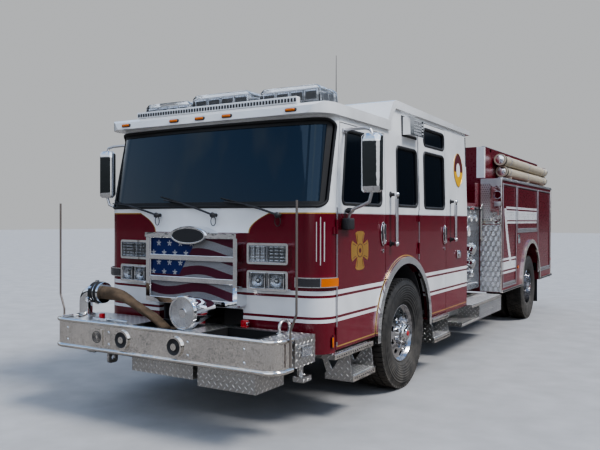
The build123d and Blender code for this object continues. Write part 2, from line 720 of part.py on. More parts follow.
def front_axle():
    """Dropped beam with an eye at each end, leaf springs and their hangers."""
    top = BEAM_LOW + BEAM_DEEP
    beam = prism_y(
        ((0, BEAM_LOW), (KINGPIN_X - 200, BEAM_LOW), (KINGPIN_X - 30, EYE_LOW + 15), (KINGPIN_X, EYE_LOW + 15),
         (KINGPIN_X, EYE_HIGH - 15), (KINGPIN_X - 60, EYE_HIGH - 15), (KINGPIN_X - 240, top), (0, top)),
        -BEAM_WIDE / 2, BEAM_WIDE / 2)
    beam += rod_z(EYE_R, EYE_LOW, EYE_HIGH, KINGPIN_X, 0)
    beam -= rod_z(KINGPIN_R + RUN_GAP, EYE_LOW - 1, EYE_HIGH + 1, KINGPIN_X, 0)
    spring = leaf_spring(0, FRONT_SPRING_HALF, top, 50, 4)
    for y in (-FRONT_SPRING_HALF, FRONT_SPRING_HALF):
        spring += block((SPRING_X - 20, SPRING_X + 20), (y - 30, y + 30), (top + 60, FRAME_LOW - SEAT_GAP))
    return [both_sides(beam), both_sides(spring)]


def rear_axle():
    """Axle tube with its bowl, spindles and leaf springs."""
    z = REAR_TYRE_R
    end = REAR_TYRE_OUT - REAR_TYRE_W - 20
    tube = rod_x(75, 0, end - 200, WHEELBASE, z)
    tube += rod_x(SPINDLE_R, end - 200, end + 120, WHEELBASE, z)
    bowl = Pos(0, WHEELBASE, z) * Sphere(200)
    nose = rod_y(90, WHEELBASE - AXLE_NOSE, WHEELBASE, 0, z)
    spring = leaf_spring(WHEELBASE, REAR_SPRING_HALF, z + 75, 26, 3)
    for y in (WHEELBASE - REAR_SPRING_HALF, WHEELBASE + REAR_SPRING_HALF):
        spring += block((SPRING_X - 20, SPRING_X + 20), (y - 30, y + 30), (z + 100, FRAME_LOW - SEAT_GAP))
    return [both_sides(tube) + bowl + nose, spring, other_side(spring)]


def engine():
    """Plain blocks at the places of the engine with its gearbox, and of the pump."""
    base = FRAME_HIGH + SEAT_GAP
    under = FRAME_HIGH - 130 - SEAT_GAP
    top = block((-ENGINE_BLOCK["half"], ENGINE_BLOCK["half"]), ENGINE_BLOCK["y"], (base, ENGINE_BLOCK["top"]))
    sump = block((-SUMP["half"], SUMP["half"]), SUMP["y"], (SUMP["low"], base))
    gearbox = block((-GEARBOX["half"], GEARBOX["half"]), (SUMP["y"][1], GEARBOX_END_Y), GEARBOX["z"])
    pump = block((-PUMP_BLOCK["half"], PUMP_BLOCK["half"]), PUMP_Y, (PUMP_BLOCK["low"], under))
    return [top + sump + gearbox, pump]


def drive_shaft():
    """Shafts from the gearbox to the pump and on to the rear axle."""
    z = SHAFT_Z
    front = PUMP_Y[1]
    rear = WHEELBASE - AXLE_NOSE
    front_part = rod_y(SHAFT_R, GEARBOX_END_Y + SEAT_GAP, PUMP_Y[0] - SEAT_GAP, 0, z)
    drop = z - REAR_TYRE_R
    run = rear - front
    tilt = tan_deg(drop / run)
    length = sqrt(run ** 2 + drop ** 2) - 2 * (SHAFT_R * sin(radians(tilt)) + SEAT_GAP)
    shaft = Pos(0, (front + rear) / 2, (z + REAR_TYRE_R) / 2) * Rot(90 - tilt, 0, 0) * Cylinder(SHAFT_R, length)
    return [front_part, shaft]


def tan_deg(ratio):
    """Angle in degrees whose tangent is the ratio."""
    return Vector(1, ratio, 0).get_angle(Vector(1, 0, 0))


def tyre(radius, width, outer_x, z):
    """A tyre: bead, bulged wall, shoulder and flat tread, spun about its axle."""
    half = width / 2
    tread = half * 0.80
    wall = half * 0.74
    mid_r = (BEAD_R + radius) / 2
    right = ThreePointArc((wall, BEAD_R), (half, mid_r), (tread, radius - 18))
    left = ThreePointArc((-tread, radius - 18), (-half, mid_r), (-wall, BEAD_R))
    edges = right.edges() + left.edges() + Polyline(
        (tread, radius - 18), (tread - 22, radius), (-tread + 22, radius), (-tread, radius - 18)).edges()
    edges += Line((-wall, BEAD_R), (wall, BEAD_R)).edges()
    ring = revolve(make_face(edges), axis=Axis.X, revolution_arc=360)
    return Pos(outer_x - half, 0, z) * ring


def rim_profile(width, disc_x, hub_x0, hub_x1):
    """Barrel, disc and hub of a wheel in X and radius, from its middle plane."""
    half = width / 2 * 0.74 + 6
    r = BEAD_R - SEAT_GAP
    lip = r + 14
    barrel = Polygon(
        (-half, r - RIM_GAUGE), (-half + 1, lip - 20), (-half + 12, r), (half - 12, r), (half - 1, lip - 20),
        (half, r - RIM_GAUGE), align=None)
    disc = Polygon(
        (disc_x - 14, HUB_BORE_R + 60), (disc_x, HUB_BORE_R + 60), (disc_x + 18, 165), (disc_x - 14, r - 6),
        (disc_x - 32, r - 6), (disc_x, 165), align=None)
    hub = Polygon((hub_x0, HUB_BORE_R), (hub_x1, HUB_BORE_R), (hub_x1, 105), (disc_x + 2, 120),
                  (disc_x - 20, 135), (hub_x0, 120), align=None)
    return barrel + disc + hub


def nut_ring(face_x):
    """Ring of wheel nuts standing on a wheel's disc at a place along the axle."""
    nut = extrude(RegularPolygon(NUT_R, 6), amount=NUT_LONG)
    ring = Rot(0, 0, 0) * Pos(face_x, 0, NUT_RING_R) * Rot(0, 90, 0) * nut
    for n in range(1, NUTS):
        ring += Rot(n * 360 / NUTS, 0, 0) * Pos(face_x, 0, NUT_RING_R) * Rot(0, 90, 0) * nut
    return ring


def front_rim():
    """Polished disc wheel with its hub, cap and brake drum."""
    middle = FRONT_TYRE_OUT - FRONT_TYRE_W / 2
    disc_x = 130
    hub = (KINGPIN_X + 75 - middle, 165)
    wheel = revolve(rim_profile(FRONT_TYRE_W, disc_x, *hub), axis=Axis.X, revolution_arc=360)
    cap = Pos(hub[1], 0, 0) * Rot(0, 90, 0) * Cylinder(HUB_CAP_R, 24)
    drum_x0 = KINGPIN_X + 75 - middle
    drum = Rot(0, 90, 0) * Cylinder(DRUM_R, DRUM_W) - Rot(0, 90, 0) * Cylinder(100, DRUM_W + 2)
    wheel += cap + nut_ring(disc_x)
    wheel += Pos(drum_x0 + DRUM_W / 2, 0, 0) * drum
    for n in range(HAND_HOLES):
        hole = Rot(n * 360 / HAND_HOLES, 0, 0) * Pos(disc_x, 0, 205) * Rot(0, 90, 0) * Cylinder(27, 90)
        wheel -= hole
    return Pos(middle, 0, FRONT_TYRE_R) * wheel


def rear_rim():
    """Two dished wheels back to back on one hub, with the brake drum."""
    outer = REAR_TYRE_OUT - REAR_TYRE_W / 2
    inner = outer - DUAL_SPACING
    middle = (outer + inner) / 2
    half = REAR_TYRE_W / 2 * 0.74 + 6
    r = BEAD_R - SEAT_GAP
    parts = None
    for centre, sign in ((outer - middle, 1), (inner - middle, -1)):
        barrel = Polygon(
            (centre - half, r - RIM_GAUGE), (centre - half + 12, r), (centre + half - 12, r),
            (centre + half, r - RIM_GAUGE), align=None)
        disc = Polygon(
            (0, 110), (sign * 14, 110), (sign * 14, 175), (sign * (DUAL_SPACING / 2 - half + 40), r - 6),
            (sign * (DUAL_SPACING / 2 - half + 18), r - 6), (0, 185), align=None)
        parts = barrel + disc if parts is None else parts + barrel + disc
    hub = Polygon((-110, HUB_BORE_R), (150, HUB_BORE_R), (150, 100), (14, 118), (-110, 118), align=None)
    wheel = revolve(parts + hub, axis=Axis.X, revolution_arc=360)
    wheel += Pos(150, 0, 0) * Rot(0, 90, 0) * Cylinder(HUB_CAP_R, 30)
    wheel += nut_ring(10)
    drum = Rot(0, 90, 0) * Cylinder(DRUM_R, DRUM_W) - Rot(0, 90, 0) * Cylinder(100, DRUM_W + 2)
    wheel += Pos(-14 - DRUM_W / 2, 0, 0) * drum
    for n in range(HAND_HOLES):
        hole = Rot(n * 360 / HAND_HOLES, 0, 0) * Pos(0, 0, 228) * Rot(0, 90, 0) * Cylinder(24, 160)
        wheel -= hole
    return Pos(middle, WHEELBASE, REAR_TYRE_R) * wheel


def knuckle():
    """Steering knuckle: ears and pin round the axle's eye, spindle and steering arm."""
    x = KINGPIN_X
    top = EYE_HIGH + RUN_GAP
    low = EYE_LOW - RUN_GAP
    piece = rod_z(EYE_R, top, top + EAR, x, 0) + rod_z(EYE_R, low - EAR, low, x, 0)
    piece += rod_z(KINGPIN_R, low - 1, top + 1, x, 0)
    piece += block((x, x + 70), (-40, 40), (top, top + EAR)) + block((x, x + 70), (-40, 40), (low - EAR, low))
    piece += block((x + EYE_R + 6, x + 70), (-55, 55), (low - EAR, top + EAR))
    piece += rod_x(SPINDLE_R, x + 60, FRONT_TYRE_OUT - FRONT_TYRE_W / 2 + 140, 0, FRONT_TYRE_R)
    arm_z = STEER_ARM_Z
    arm = block((STEER_ARM_X - 24, STEER_ARM_X + 24), (20, STEER_ARM), (arm_z - 15, arm_z + 15))
    arm += rod_z(28, arm_z - 15, arm_z + 15, STEER_ARM_X, STEER_ARM)
    arm += rod_z(TIE_PIN_R, arm_z - 60, arm_z, STEER_ARM_X, STEER_ARM)
    return piece + arm


def tie_rod():
    """Rod between the two steering arms, an eye round each arm's pin."""
    z = STEER_ARM_Z - 15 - RUN_GAP - 17
    rod = rod_x(TIE_ROD_R, -STEER_ARM_X, STEER_ARM_X, STEER_ARM, z)
    eyes = rod_z(27, z - 17, z + 17, STEER_ARM_X, STEER_ARM)
    rod += both_sides(eyes)
    return [rod - both_sides(rod_z(TIE_PIN_R + RUN_GAP, z - 60, z + 40, STEER_ARM_X, STEER_ARM))]


def bumper_path():
    """Open U of the bumper's face as a path in X and Y."""
    half = BUMPER_HALF
    return FilletPolyline(
        (-half, BUMPER_SIDE_END_Y, 0), (-half, BUMPER_FRONT_Y, 0), (half, BUMPER_FRONT_Y, 0),
        (half, BUMPER_SIDE_END_Y, 0), radius=BUMPER_R)


def bumper():
    """Bright face wrapped round the deck's front, a rolled rail at each edge, dished horns and a speaker."""
    deep = 1200
    front = BUMPER_FRONT_Y
    outer = fillet((Pos(0, front + deep / 2, 0) * Rectangle(2 * BUMPER_HALF, deep)).vertices(), BUMPER_R)
    inside = Rectangle(2 * BUMPER_HALF - 2 * BUMPER_SKIN, deep)
    inner = fillet((Pos(0, front + BUMPER_SKIN + deep / 2, 0) * inside).vertices(), BUMPER_R - BUMPER_SKIN)
    ring = extrude(Pos(0, 0, BUMPER_LOW) * (outer - inner), amount=BUMPER_HIGH - BUMPER_LOW)
    face = ring & block((-BUMPER_HALF, BUMPER_HALF), (front - 5, BUMPER_SIDE_END_Y), (BUMPER_LOW, BUMPER_HIGH))
    for z in (BUMPER_LOW, BUMPER_HIGH):
        path = Pos(0, 0, z) * bumper_path()
        face += sweep(Plane(origin=path @ 0, z_dir=path % 0) * Circle(BUMPER_RAIL_R), path=path)
    for x in HORNS:
        horn = rod_y(HORN["r"], front - HORN["proud"] + 2, front + 1, x, HORN["z"])
        horn -= rod_y(HORN["ring"], front - HORN["proud"], front - HORN["proud"] / 3, x, HORN["z"])
        face += horn + rod_y(HORN["boss"], front - HORN["proud"], front + 1, x, HORN["z"])
    return face + block(SPEAKER["x"], (front - SPEAKER["proud"], front + 1), SPEAKER["z"])


def hose_well(deck, well, top):
    """Adds one open well to the deck and hollows it."""
    x, y, low = well["x"], well["y"], well["low"]
    inside_x = (x[0] + WELL_SKIN, x[1] - WELL_SKIN)
    inside_y = (y[0] + WELL_SKIN, y[1] - WELL_SKIN)
    deck += block(x, y, (low, top))
    deck -= block(inside_x, inside_y, (low + WELL_SKIN, top - DECK_PLATE))
    return deck - block(well["mouth"], inside_y, (low + WELL_SKIN, top + 1))


def bumper_deck():
    """Tread plate deck with two open hose wells, side boxes, a handle, a tow plate and ground lights."""
    top = BUMPER_HIGH - DECK_DROP
    half = BUMPER_HALF - BUMPER_SKIN - BUMPER_RAIL_R
    front = BUMPER_FRONT_Y + BUMPER_SKIN + BUMPER_RAIL_R
    deck = block((-half, half), (front, DECK_REAR_Y), (top - DECK_PLATE, top))
    deck -= both_sides(block((half - 130, half + 1), (front - 1, front + 60), (top - 60, top + 10)))
    for well in WELLS:
        deck = hose_well(deck, well, top)
    box = block((half - SIDE_BOX_WIDE, BUMPER_HALF), (BUMPER_SIDE_END_Y + 40, DECK_REAR_Y), (BUMPER_LOW, top))
    hollow = block((half - SIDE_BOX_WIDE - 1, BUMPER_HALF - 12), (BUMPER_SIDE_END_Y + 52, DECK_REAR_Y - 12),
                   (BUMPER_LOW - 1, top - DECK_PLATE))
    lamp = block((BUMPER_HALF, BUMPER_HALF + SIDE_LAMP["proud"]), SIDE_LAMP["y"], SIDE_LAMP["z"])
    light = GROUND_LIGHT
    stem_x = light["x"][0] + 20
    stem = block((stem_x, stem_x + light["stem"]), (light["y"][0] + 30, light["y"][1] - 30),
                 (light["z"][0] + 10, top - 1))
    deck += both_sides(box - hollow + lamp + stem + block(light["x"], light["y"], light["z"]))
    plate = TOW_PLATE
    low, y = plate["low"], plate["y"]
    tow = prism_x(((y[0], low), (y[1], low), (y[1], top - 1), (y[0], top - 1)), *plate["x"], 25)
    tow += block(plate["x"], y, (top - 60, top - 1))
    tow -= rod_x(plate["hole"], plate["x"][0] - 1, plate["x"][1] + 1, (y[0] + y[1]) / 2, plate["hole_z"])
    grip = DECK_HANDLE
    run = ((grip["x"], grip["y"][0], top - 1), (grip["x"], grip["y"][0], top + grip["rise"]),
           (grip["x"], grip["y"][1], top + grip["rise"]), (grip["x"], grip["y"][1], top - 1))
    return deck + tow + swept_rod(grip["r"], run, 60)


def guide_rods():
    """Thin upright rods at the bumper's corners, cranked out above the deck."""
    foot = BUMPER_HALF + BUMPER_RAIL_R + GUIDE_ROD_R + SEAT_GAP
    points = (
        (foot, GUIDE_ROD_Y, BUMPER_LOW + 30), (foot, GUIDE_ROD_Y, 880),
        (GUIDE_ROD_OUT, GUIDE_ROD_Y, 1010), (GUIDE_ROD_OUT, GUIDE_ROD_Y, GUIDE_ROD_TOP))
    return both(swept_rod(GUIDE_ROD_R, points, 30))


def siren():
    """Round siren: dished face ring, bell and tapered motor case on a short foot."""
    r, long = SIREN["r"], SIREN["long"]
    profile = Polygon(
        (0, 0), (r * 0.25, 0), (r * 0.25, 10), (r - 20, 10), (r - 12, 0), (r, 14), (r, 60), (r - 22, 90),
        (r - 30, 180), (r - 62, long), (0, long), align=None)
    body = revolve(profile, axis=Axis.Y, revolution_arc=360)
    body = Pos(SIREN["x"], SIREN["y"], SIREN["z"]) * body
    deck_top = BUMPER_HIGH - DECK_DROP
    foot = block((SIREN["x"] - 45, SIREN["x"] + 45), (SIREN["y"] + 70, SIREN["y"] + 230),
                 (deck_top + SEAT_GAP, SIREN["z"] - 60))
    return body + foot


def inlet_elbow():
    """Swivel elbow standing on the deck, its coupling turned inboard."""
    x, y, z = ELBOW["x"], ELBOW["y"], ELBOW["rise"]
    deck_top = BUMPER_HIGH - DECK_DROP
    path = ((x, y, deck_top + 30), (x, y, z), (x + 130, y, z))
    pipe = swept_rod(ELBOW["r"], path, ELBOW["bend"])
    pipe += rod_z(ELBOW["r"] + 26, deck_top + SEAT_GAP, deck_top + 36, x, y)
    pipe += rod_x(COUPLING_R, x + 120, x + 165, y, z) + rod_x(COUPLING_R - 12, x + 160, x + 182, y, z)
    pipe += rod_x(COUPLING_R, x + 180, HOSE_ROUTE[0][0], y, z)
    return pipe


def hose_radii(points):
    """Corner radii of the hose's route, from the runs beside each corner."""
    radii = []
    for a, b, c in zip(points, points[1:], points[2:]):
        first = Vector(*b) - Vector(*a)
        second = Vector(*c) - Vector(*b)
        turn = first.get_angle(second)
        radii.append(0.45 * min(first.length, second.length) / tan(radians(turn / 2)))
    return radii


def deck_hose():
    """The hose from the elbow's coupling into the hose stacked in the well."""
    radii = hose_radii(HOSE_ROUTE)
    path = FilletPolyline(*HOSE_ROUTE, radius=radii)
    tube = sweep(Plane(origin=path @ 0, z_dir=path % 0) * Circle(HOSE_R), path=path)
    print("hose radii", [round(r) for r in radii], "length", round(path.length), "volume ratio",
          round(tube.volume / (3.14159265 * HOSE_R ** 2 * path.length), 4))
    return tube


def hose_load():
    """Flat hose folded to and fro in the well."""
    well = WELLS[0]
    x = (well["x"][0] + WELL_SKIN + 20, well["x"][1] - WELL_SKIN - 20)
    y = (well["y"][0] + WELL_SKIN + 20, well["y"][1] - WELL_SKIN - 20)
    low = well["low"] + WELL_SKIN + SEAT_GAP
    return block(x, y, (low, BUMPER_HIGH - 40))


def grille():
    """Radiator grille: three mesh pockets between bright bars, an arched cap and a bare oval plate."""
    half, low, high, front = GRILLE_HALF, GRILLE_LOW, GRILLE_HIGH, GRILLE_FRONT_Y
    back = CAB_FRONT_Y + 2 * GRILLE_PROUD
    frame = prism_y(((-half, low), (half, low), (half, high), (-half, high)), front, back, 24)
    bars = [z for bar in GRILLE_BARS for z in (bar - GRILLE_BAR / 2, bar + GRILLE_BAR / 2)]
    edges = (low + GRILLE_FRAME, *bars, high - GRILLE_FRAME)
    inside = (-half + GRILLE_FRAME, half - GRILLE_FRAME)
    for z0, z1 in zip(edges[0::2], edges[1::2]):
        frame -= block(inside, (front - 1, front + GRILLE_POCKET), (z0, z1))
    arch, rise = GRILLE_ARCH["half"], GRILLE_ARCH["rise"]
    foot = high - GRILLE_FRAME
    cap = make_face(
        Polyline((arch, high), (half, high), (half, foot), (-half, foot), (-half, high), (-arch, high)).edges()
        + ThreePointArc((-arch, high), (0, high + rise), (arch, high)).edges())
    cap_front = front - GRILLE_PROUD
    frame += extrude(Plane.XZ.offset(-cap_front) * cap, amount=back - cap_front, dir=(0, 1, 0))
    plate_front = front - OVAL["proud"]
    plate = Plane.XZ.offset(-plate_front) * (Pos(0, OVAL["z"]) * Ellipse(OVAL["half"], OVAL["high"]))
    sunk = Plane.XZ.offset(-plate_front) * (
        Pos(0, OVAL["z"]) * Ellipse(OVAL["half"] - OVAL["rim"], OVAL["high"] - OVAL["rim"]))
    frame += extrude(plate, amount=OVAL["proud"], dir=(0, 1, 0))
    frame -= extrude(sunk, amount=OVAL["sunk"], dir=(0, 1, 0))
    return frame - cab_solid(-SEAT_GAP)


def lamp_place(lamp, side):
    """Where a lamp sits on the bowed nose."""
    bow = NOSE_SAG * (lamp["x"] / (CAB_HALF - NOSE_CORNER_R)) ** 2
    return Pos(side * lamp["x"], CAB_FRONT_Y + bow, lamp["z"]) * Rot(0, 0, side * LAMP_YAW)


def lamps():
    """Lamps in their bezels: warning, head and turn lamps, louvred side lights and tail lamps."""
    pieces = []
    cab = cab_solid(-SEAT_GAP)
    for lamp in LAMPS:
        shell = Box(lamp["wide"], 2 * LAMP_DEEP, lamp["high"])
        shell = fillet(shell.edges().filter_by(Axis.Y), LAMP_R)
        mouth = Box(lamp["wide"] - 2 * LAMP_RIM, 2 * LAMP_POCKET, lamp["high"] - 2 * LAMP_RIM)
        pieces += both(lamp_place(lamp, 1) * (shell - Pos(0, -LAMP_DEEP, 0) * mouth) - cab)
    corner = block((TURN_X, CAB_HALF + 40), (CAB_FRONT_Y - 60, FRONT_DOOR["front"] - 12), TURN_Z)
    pieces += both((cab_solid(-TURN_PROUD) & corner) - cab)
    return pieces + both(side_scene_light()) + both(tail_lamp()) + both(tail_warning())


def side_scene_light():
    """Louvred light box that leans with the cab's side."""
    light = SCENE_LIGHT
    y, z, rim = light["y"], light["z"], light["rim"]
    box = leaning_slab(-light["proud"], -SEAT_GAP, *y, *z)
    mouth_y, mouth_z = (y[0] + light["case"], y[1] - rim), (z[0] + rim, z[1] - rim)
    box -= leaning_slab(-light["proud"] - 1, -light["proud"] + light["deep"], *mouth_y, *mouth_z)
    pitch = (mouth_z[1] - mouth_z[0]) / (light["fins"] + 1)
    for n in range(1, light["fins"] + 1):
        foot = mouth_z[0] + n * pitch - light["fin"] / 2
        box += leaning_slab(-light["proud"] + 8, -20, *mouth_y, foot, foot + light["fin"])
    return box


def tail_lamp():
    """Upright plate of three lenses on the body's rear face."""
    lamp = TAIL_LAMP
    low, high = lamp["lenses"][0] - lamp["half"], lamp["lenses"][-1] + lamp["half"]
    face = BODY_REAR_Y + lamp["proud"]
    plate = block(lamp["x"], (BODY_REAR_Y + SEAT_GAP, face), (low, high))
    x = (lamp["x"][0] + lamp["rim"], lamp["x"][1] - lamp["rim"])
    for z in lamp["lenses"]:
        reach = lamp["half"] - lamp["rim"]
        plate += block(x, (face - 1, face + lamp["lens"]), (z - reach, z + reach))
    return plate


def tail_warning():
    """Warning lamp high on the body's rear face."""
    lamp = TAIL_WARNING
    rim, x, z = lamp["rim"], lamp["x"], lamp["z"]
    face = BODY_REAR_Y + lamp["proud"]
    plate = block(x, (BODY_REAR_Y + SEAT_GAP, face), z)
    return plate + block((x[0] + rim, x[1] - rim), (face - 1, face + lamp["lens"]), (z[0] + rim, z[1] - rim))


def roof_lights():
    """Long light bar on the brow, three beacons and a whip aerial."""
    bar = block((-BAR_HALF, BAR_HALF), BAR_Y, (BROW_Z + SEAT_GAP, BAR_Z[1]))
    pieces = [bar]
    for pod in PODS:
        x = pod["x"]
        body = prism_y(((x[0], BROW_Z + SEAT_GAP), (x[1], BROW_Z + SEAT_GAP), (x[1] - 40, pod["z"]),
                        (x[0] + 40, pod["z"])), POD_Y[0], POD_Y[1], 20)
        pieces.append(body)
    pieces[2] = pieces[2] - block((-1e3, PODS[0]["x"][1] + SEAT_GAP), (-2000, 0), (2000, 3000))
    aerial = rod_z(ANTENNA["r"], BROW_Z + SEAT_GAP, ANTENNA["top"], ANTENNA["x"], ANTENNA["y"])
    aerial += rod_z(22, BROW_Z + SEAT_GAP, BROW_Z + 30, ANTENNA["x"], ANTENNA["y"])
    return pieces + [aerial]


def door_mirror():
    """Tall mirror head, its edges rolled, on an upper and a lower arm from the door."""
    head = prism_y(((1410, 1915), (1590, 1915), (1600, 2400), (1400, 2400)), -1447, -1383, 30)
    ends = head.faces().sort_by(Axis.Y)
    head = fillet(ends[0].edges() + ends[-1].edges(), 22)
    high_run = ((half_at(2440) + 6, -1330, 2445), (1330, -1370, 2450), (1500, -1415, 2430), (1500, -1415, 2390))
    low_run = ((CAB_HALF + 20, -1330, 1700), (1300, -1360, 1760), (1500, -1415, 1830), (1500, -1415, 1925))
    arms = swept_rod(13, high_run, 18) + swept_rod(13, low_run, 30)
    base = block((CAB_HALF + SEAT_GAP, CAB_HALF + 60), (-1400, -1270), (1615, 1715))
    pad = block((half_at(2425) + SEAT_GAP, half_at(2425) + 18), (-1360, -1300), (2425, 2465))
    return head + arms + base + pad


def cab_trim():
    """Bright arch trims and upright grab rails."""
    outer = arch_cut(ARCH_R + TRIM_W, ARCH_Z, 0, CAB_HALF + SEAT_GAP, CAB_HALF + TRIM_PROUD)
    inner = arch_cut(ARCH_R, ARCH_Z, 0, CAB_HALF - 50, CAB_HALF + 100)
    pieces = both((outer - inner) & block((CAB_HALF - 50, CAB_HALF + 100), (-900, 900), (560, 1400)))
    out = CAB_HALF + GRAB_RAIL_OUT
    for rail in GRAB_RAILS:
        y, low, high = rail["y"], rail["low"], rail["high"]
        bar = rod_z(GRAB_RAIL_R, low, high, out, y)
        for z in (low + 20, high - 20):
            bar += rod_x(GRAB_RAIL_POST_R, half_at(z - GRAB_RAIL_POST_R) + SEAT_GAP, out, y, z)
        pieces += both(bar)
    return pieces


def step_unit(step):
    """Two treads on pierced side brackets, hung from the cab's floor."""
    x_in, x_out = STEP_X
    top, low, lower_y = STEP_TOP, step["low"], step["lower_y"]
    unit = block(STEP_X, step["y"], (top - STEP_TREAD, top))
    unit += block((x_in + STEP_IN, x_out + STEP_OUT), lower_y, (low - STEP_LOW_TREAD, low))
    outline = ((x_in, top - 20), (x_out - 20, top - 20), (x_out + 10, low - 30), (x_in + 90, low - 30))
    pierced = ((x_in + 60, top - 60), (x_out - 90, top - 60), (x_in + 130, low + 30))
    for y in (lower_y[0], lower_y[1] - STEP_BRACKET):
        bracket = prism_y(outline, y, y + STEP_BRACKET)
        unit += bracket - prism_y(pierced, y - 1, y + STEP_BRACKET + 1)
    for y in step["hangers"]:
        unit += block(HANGER["x"], (y, y + HANGER["long"]), (top - 10, FLOOR_Z - FLOOR_SKIN - SEAT_GAP))
    return unit


def running_board():
    """Board under the pump with a locker in its front half and a low step ahead of it."""
    out, y, z = BOARD["out"], BOARD["y"], BOARD["z"]
    rail = FRAME_HALF + SEAT_GAP
    board = block((rail, out), y, z)
    board += block((BOARD_LOCKER["x"], out), (BOARD_LOCKER["y"], y[1]), (BOARD_LOCKER["low"], z[0] + 1))
    low = BOARD_STEP
    run = (low["y"], BOARD_LOCKER["y"] + 10)
    board += block((low["x"], out), run, low["z"]) + block(low["side"], run, (low["z"][0], z[0] + 15))
    board += block((low["side"][0], out), (low["y"], low["y"] + low["end"]), (low["z"][0], low["z"][1] + 12))
    hanger = (rail, rail + BOARD_HANGER["wide"])
    return board + block(hanger, BOARD_HANGER["y"], (BOARD_HANGER["low"], FRAME_LOW + 200))


def steps():
    """Cab entry steps and the running boards under the pump."""
    pieces = []
    for unit in (step_unit(STEPS[0]), step_unit(STEPS[1]), running_board()):
        pieces += both(unit)
    return pieces


def pump_house():
    """Pump enclosure between cab and body, with the hose lays across its top."""
    y = (PUMP_FRONT_Y, BODY_FRONT_Y - SEAT_GAP)
    inner = PUMP_HALF - PUMP_SKIN
    shell = block((-PUMP_HALF, PUMP_HALF), y, (FRAME_HIGH + SEAT_GAP, PUMP_TOP))
    shell -= block((-inner, inner), (y[0] + PUMP_SKIN, y[1] - PUMP_SKIN), (FRAME_HIGH - 10, PUMP_CEILING))
    for front in (y[0] + LAY["front"], GUN_Y + LAY["front"] + 10):
        across = (-PUMP_HALF - 1, PUMP_HALF + 1)
        shell -= block(across, (front, front + LAY["long"]), (LAY["low"], PUMP_TOP + 1))
    return shell


def capped_pipe(face, y, z, pipe):
    """A connection standing out of the panel with a cap on its end."""
    end = face + pipe["reach"]
    return rod_x(pipe["neck"], face - 1, end, y, z) + rod_x(pipe["cap"], end, end + pipe["cap_deep"], y, z)


def pump_panels():
    """Side panels with intake, outlets, gauges and pull levers, on the pump house."""
    x = PUMP_HALF + SEAT_GAP
    face = x + PANEL
    panel = block((x, face), (PUMP_FRONT_Y + 20, BODY_FRONT_Y - 40), PANEL_Z)
    panel += capped_pipe(face, INTAKE["y"], INTAKE["z"], INTAKE)
    for outlet in OUTLETS:
        panel += capped_pipe(face, outlet["y"], outlet["z"], OUTLET)
    for gauge in (GAUGES, MASTER_GAUGES):
        for n in range(gauge["count"]):
            y = gauge["y"] + n * gauge["step"]
            panel += rod_x(gauge["r"], face - 1, face + gauge["proud"], y, gauge["z"])
    for n in range(LEVERS["count"]):
        y, z, grip = LEVERS["y"] + n * LEVERS["step"], LEVERS["z"], LEVERS["grip_half"]
        panel += rod_x(LEVERS["r"], face - 1, face + LEVERS["reach"], y, z)
        panel += rod_y(LEVERS["grip"], y - grip, y + grip, face + LEVERS["reach"], z)
    return both(panel)


def body_side():
    """One side of the body: a framed case with three lockers and the wheel arch."""
    inside = BODY_HALF - BODY_DEPTH
    case = block((inside, BODY_HALF), (BODY_FRONT_Y, BODY_REAR_Y), (BODY_LOW, BODY_TOP))
    for comp in COMPARTMENTS:
        case -= block((inside + BODY_BACK, BODY_HALF + 1), comp["y"], comp["z"])
    case -= arch_cut(REAR_ARCH_R, REAR_ARCH_Z, WHEELBASE, inside - 1, BODY_HALF + 1)
    return case


def slat_line(face, z0, z1):
    """Front line of a slatted curtain from its foot up, as (depth, height) pairs with grooves between slats."""
    points = [(face, z0)]
    z = z0 + SLAT_FOOT
    while z < z1 - SLAT_GROOVE:
        low, high = z - SLAT_GROOVE / 2, z + SLAT_GROOVE / 2
        points += [(face, low), (face - SLAT_DEEP, low), (face - SLAT_DEEP, high), (face, high)]
        z += SLAT
    return points + [(face, z1)]


def shutters():
    """Roll up shutters: one in each locker's mouth, and one on the rear wall."""
    pieces = []
    face = BODY_HALF - SHUTTER_SET
    for comp in COMPARTMENTS:
        y = (comp["y"][0] + SEAT_GAP, comp["y"][1] - SEAT_GAP)
        z = (comp["z"][0] + SEAT_GAP, comp["z"][1] - SEAT_GAP)
        back = face - SHUTTER
        pieces += both(prism_y([(back, z[0]), *slat_line(face, *z), (back, z[1])], *y))
    low, high = REAR_SHUTTER["z"]
    seat = BODY_REAR_Y + SEAT_GAP
    rear = [(seat, low), *slat_line(seat + SHUTTER, low, high), (seat, high)]
    return pieces + [prism_x(rear, -REAR_SHUTTER["half"], REAR_SHUTTER["half"])]


def upright_rail(rail, foot_y, out_y):
    """Grab rail with both ends turned in to the wall that it stands on."""
    x, (low, high) = rail["x"], rail["z"]
    return swept_rod(rail["r"], ((x, foot_y, low), (x, out_y, low), (x, out_y, high), (x, foot_y, high)), 30)


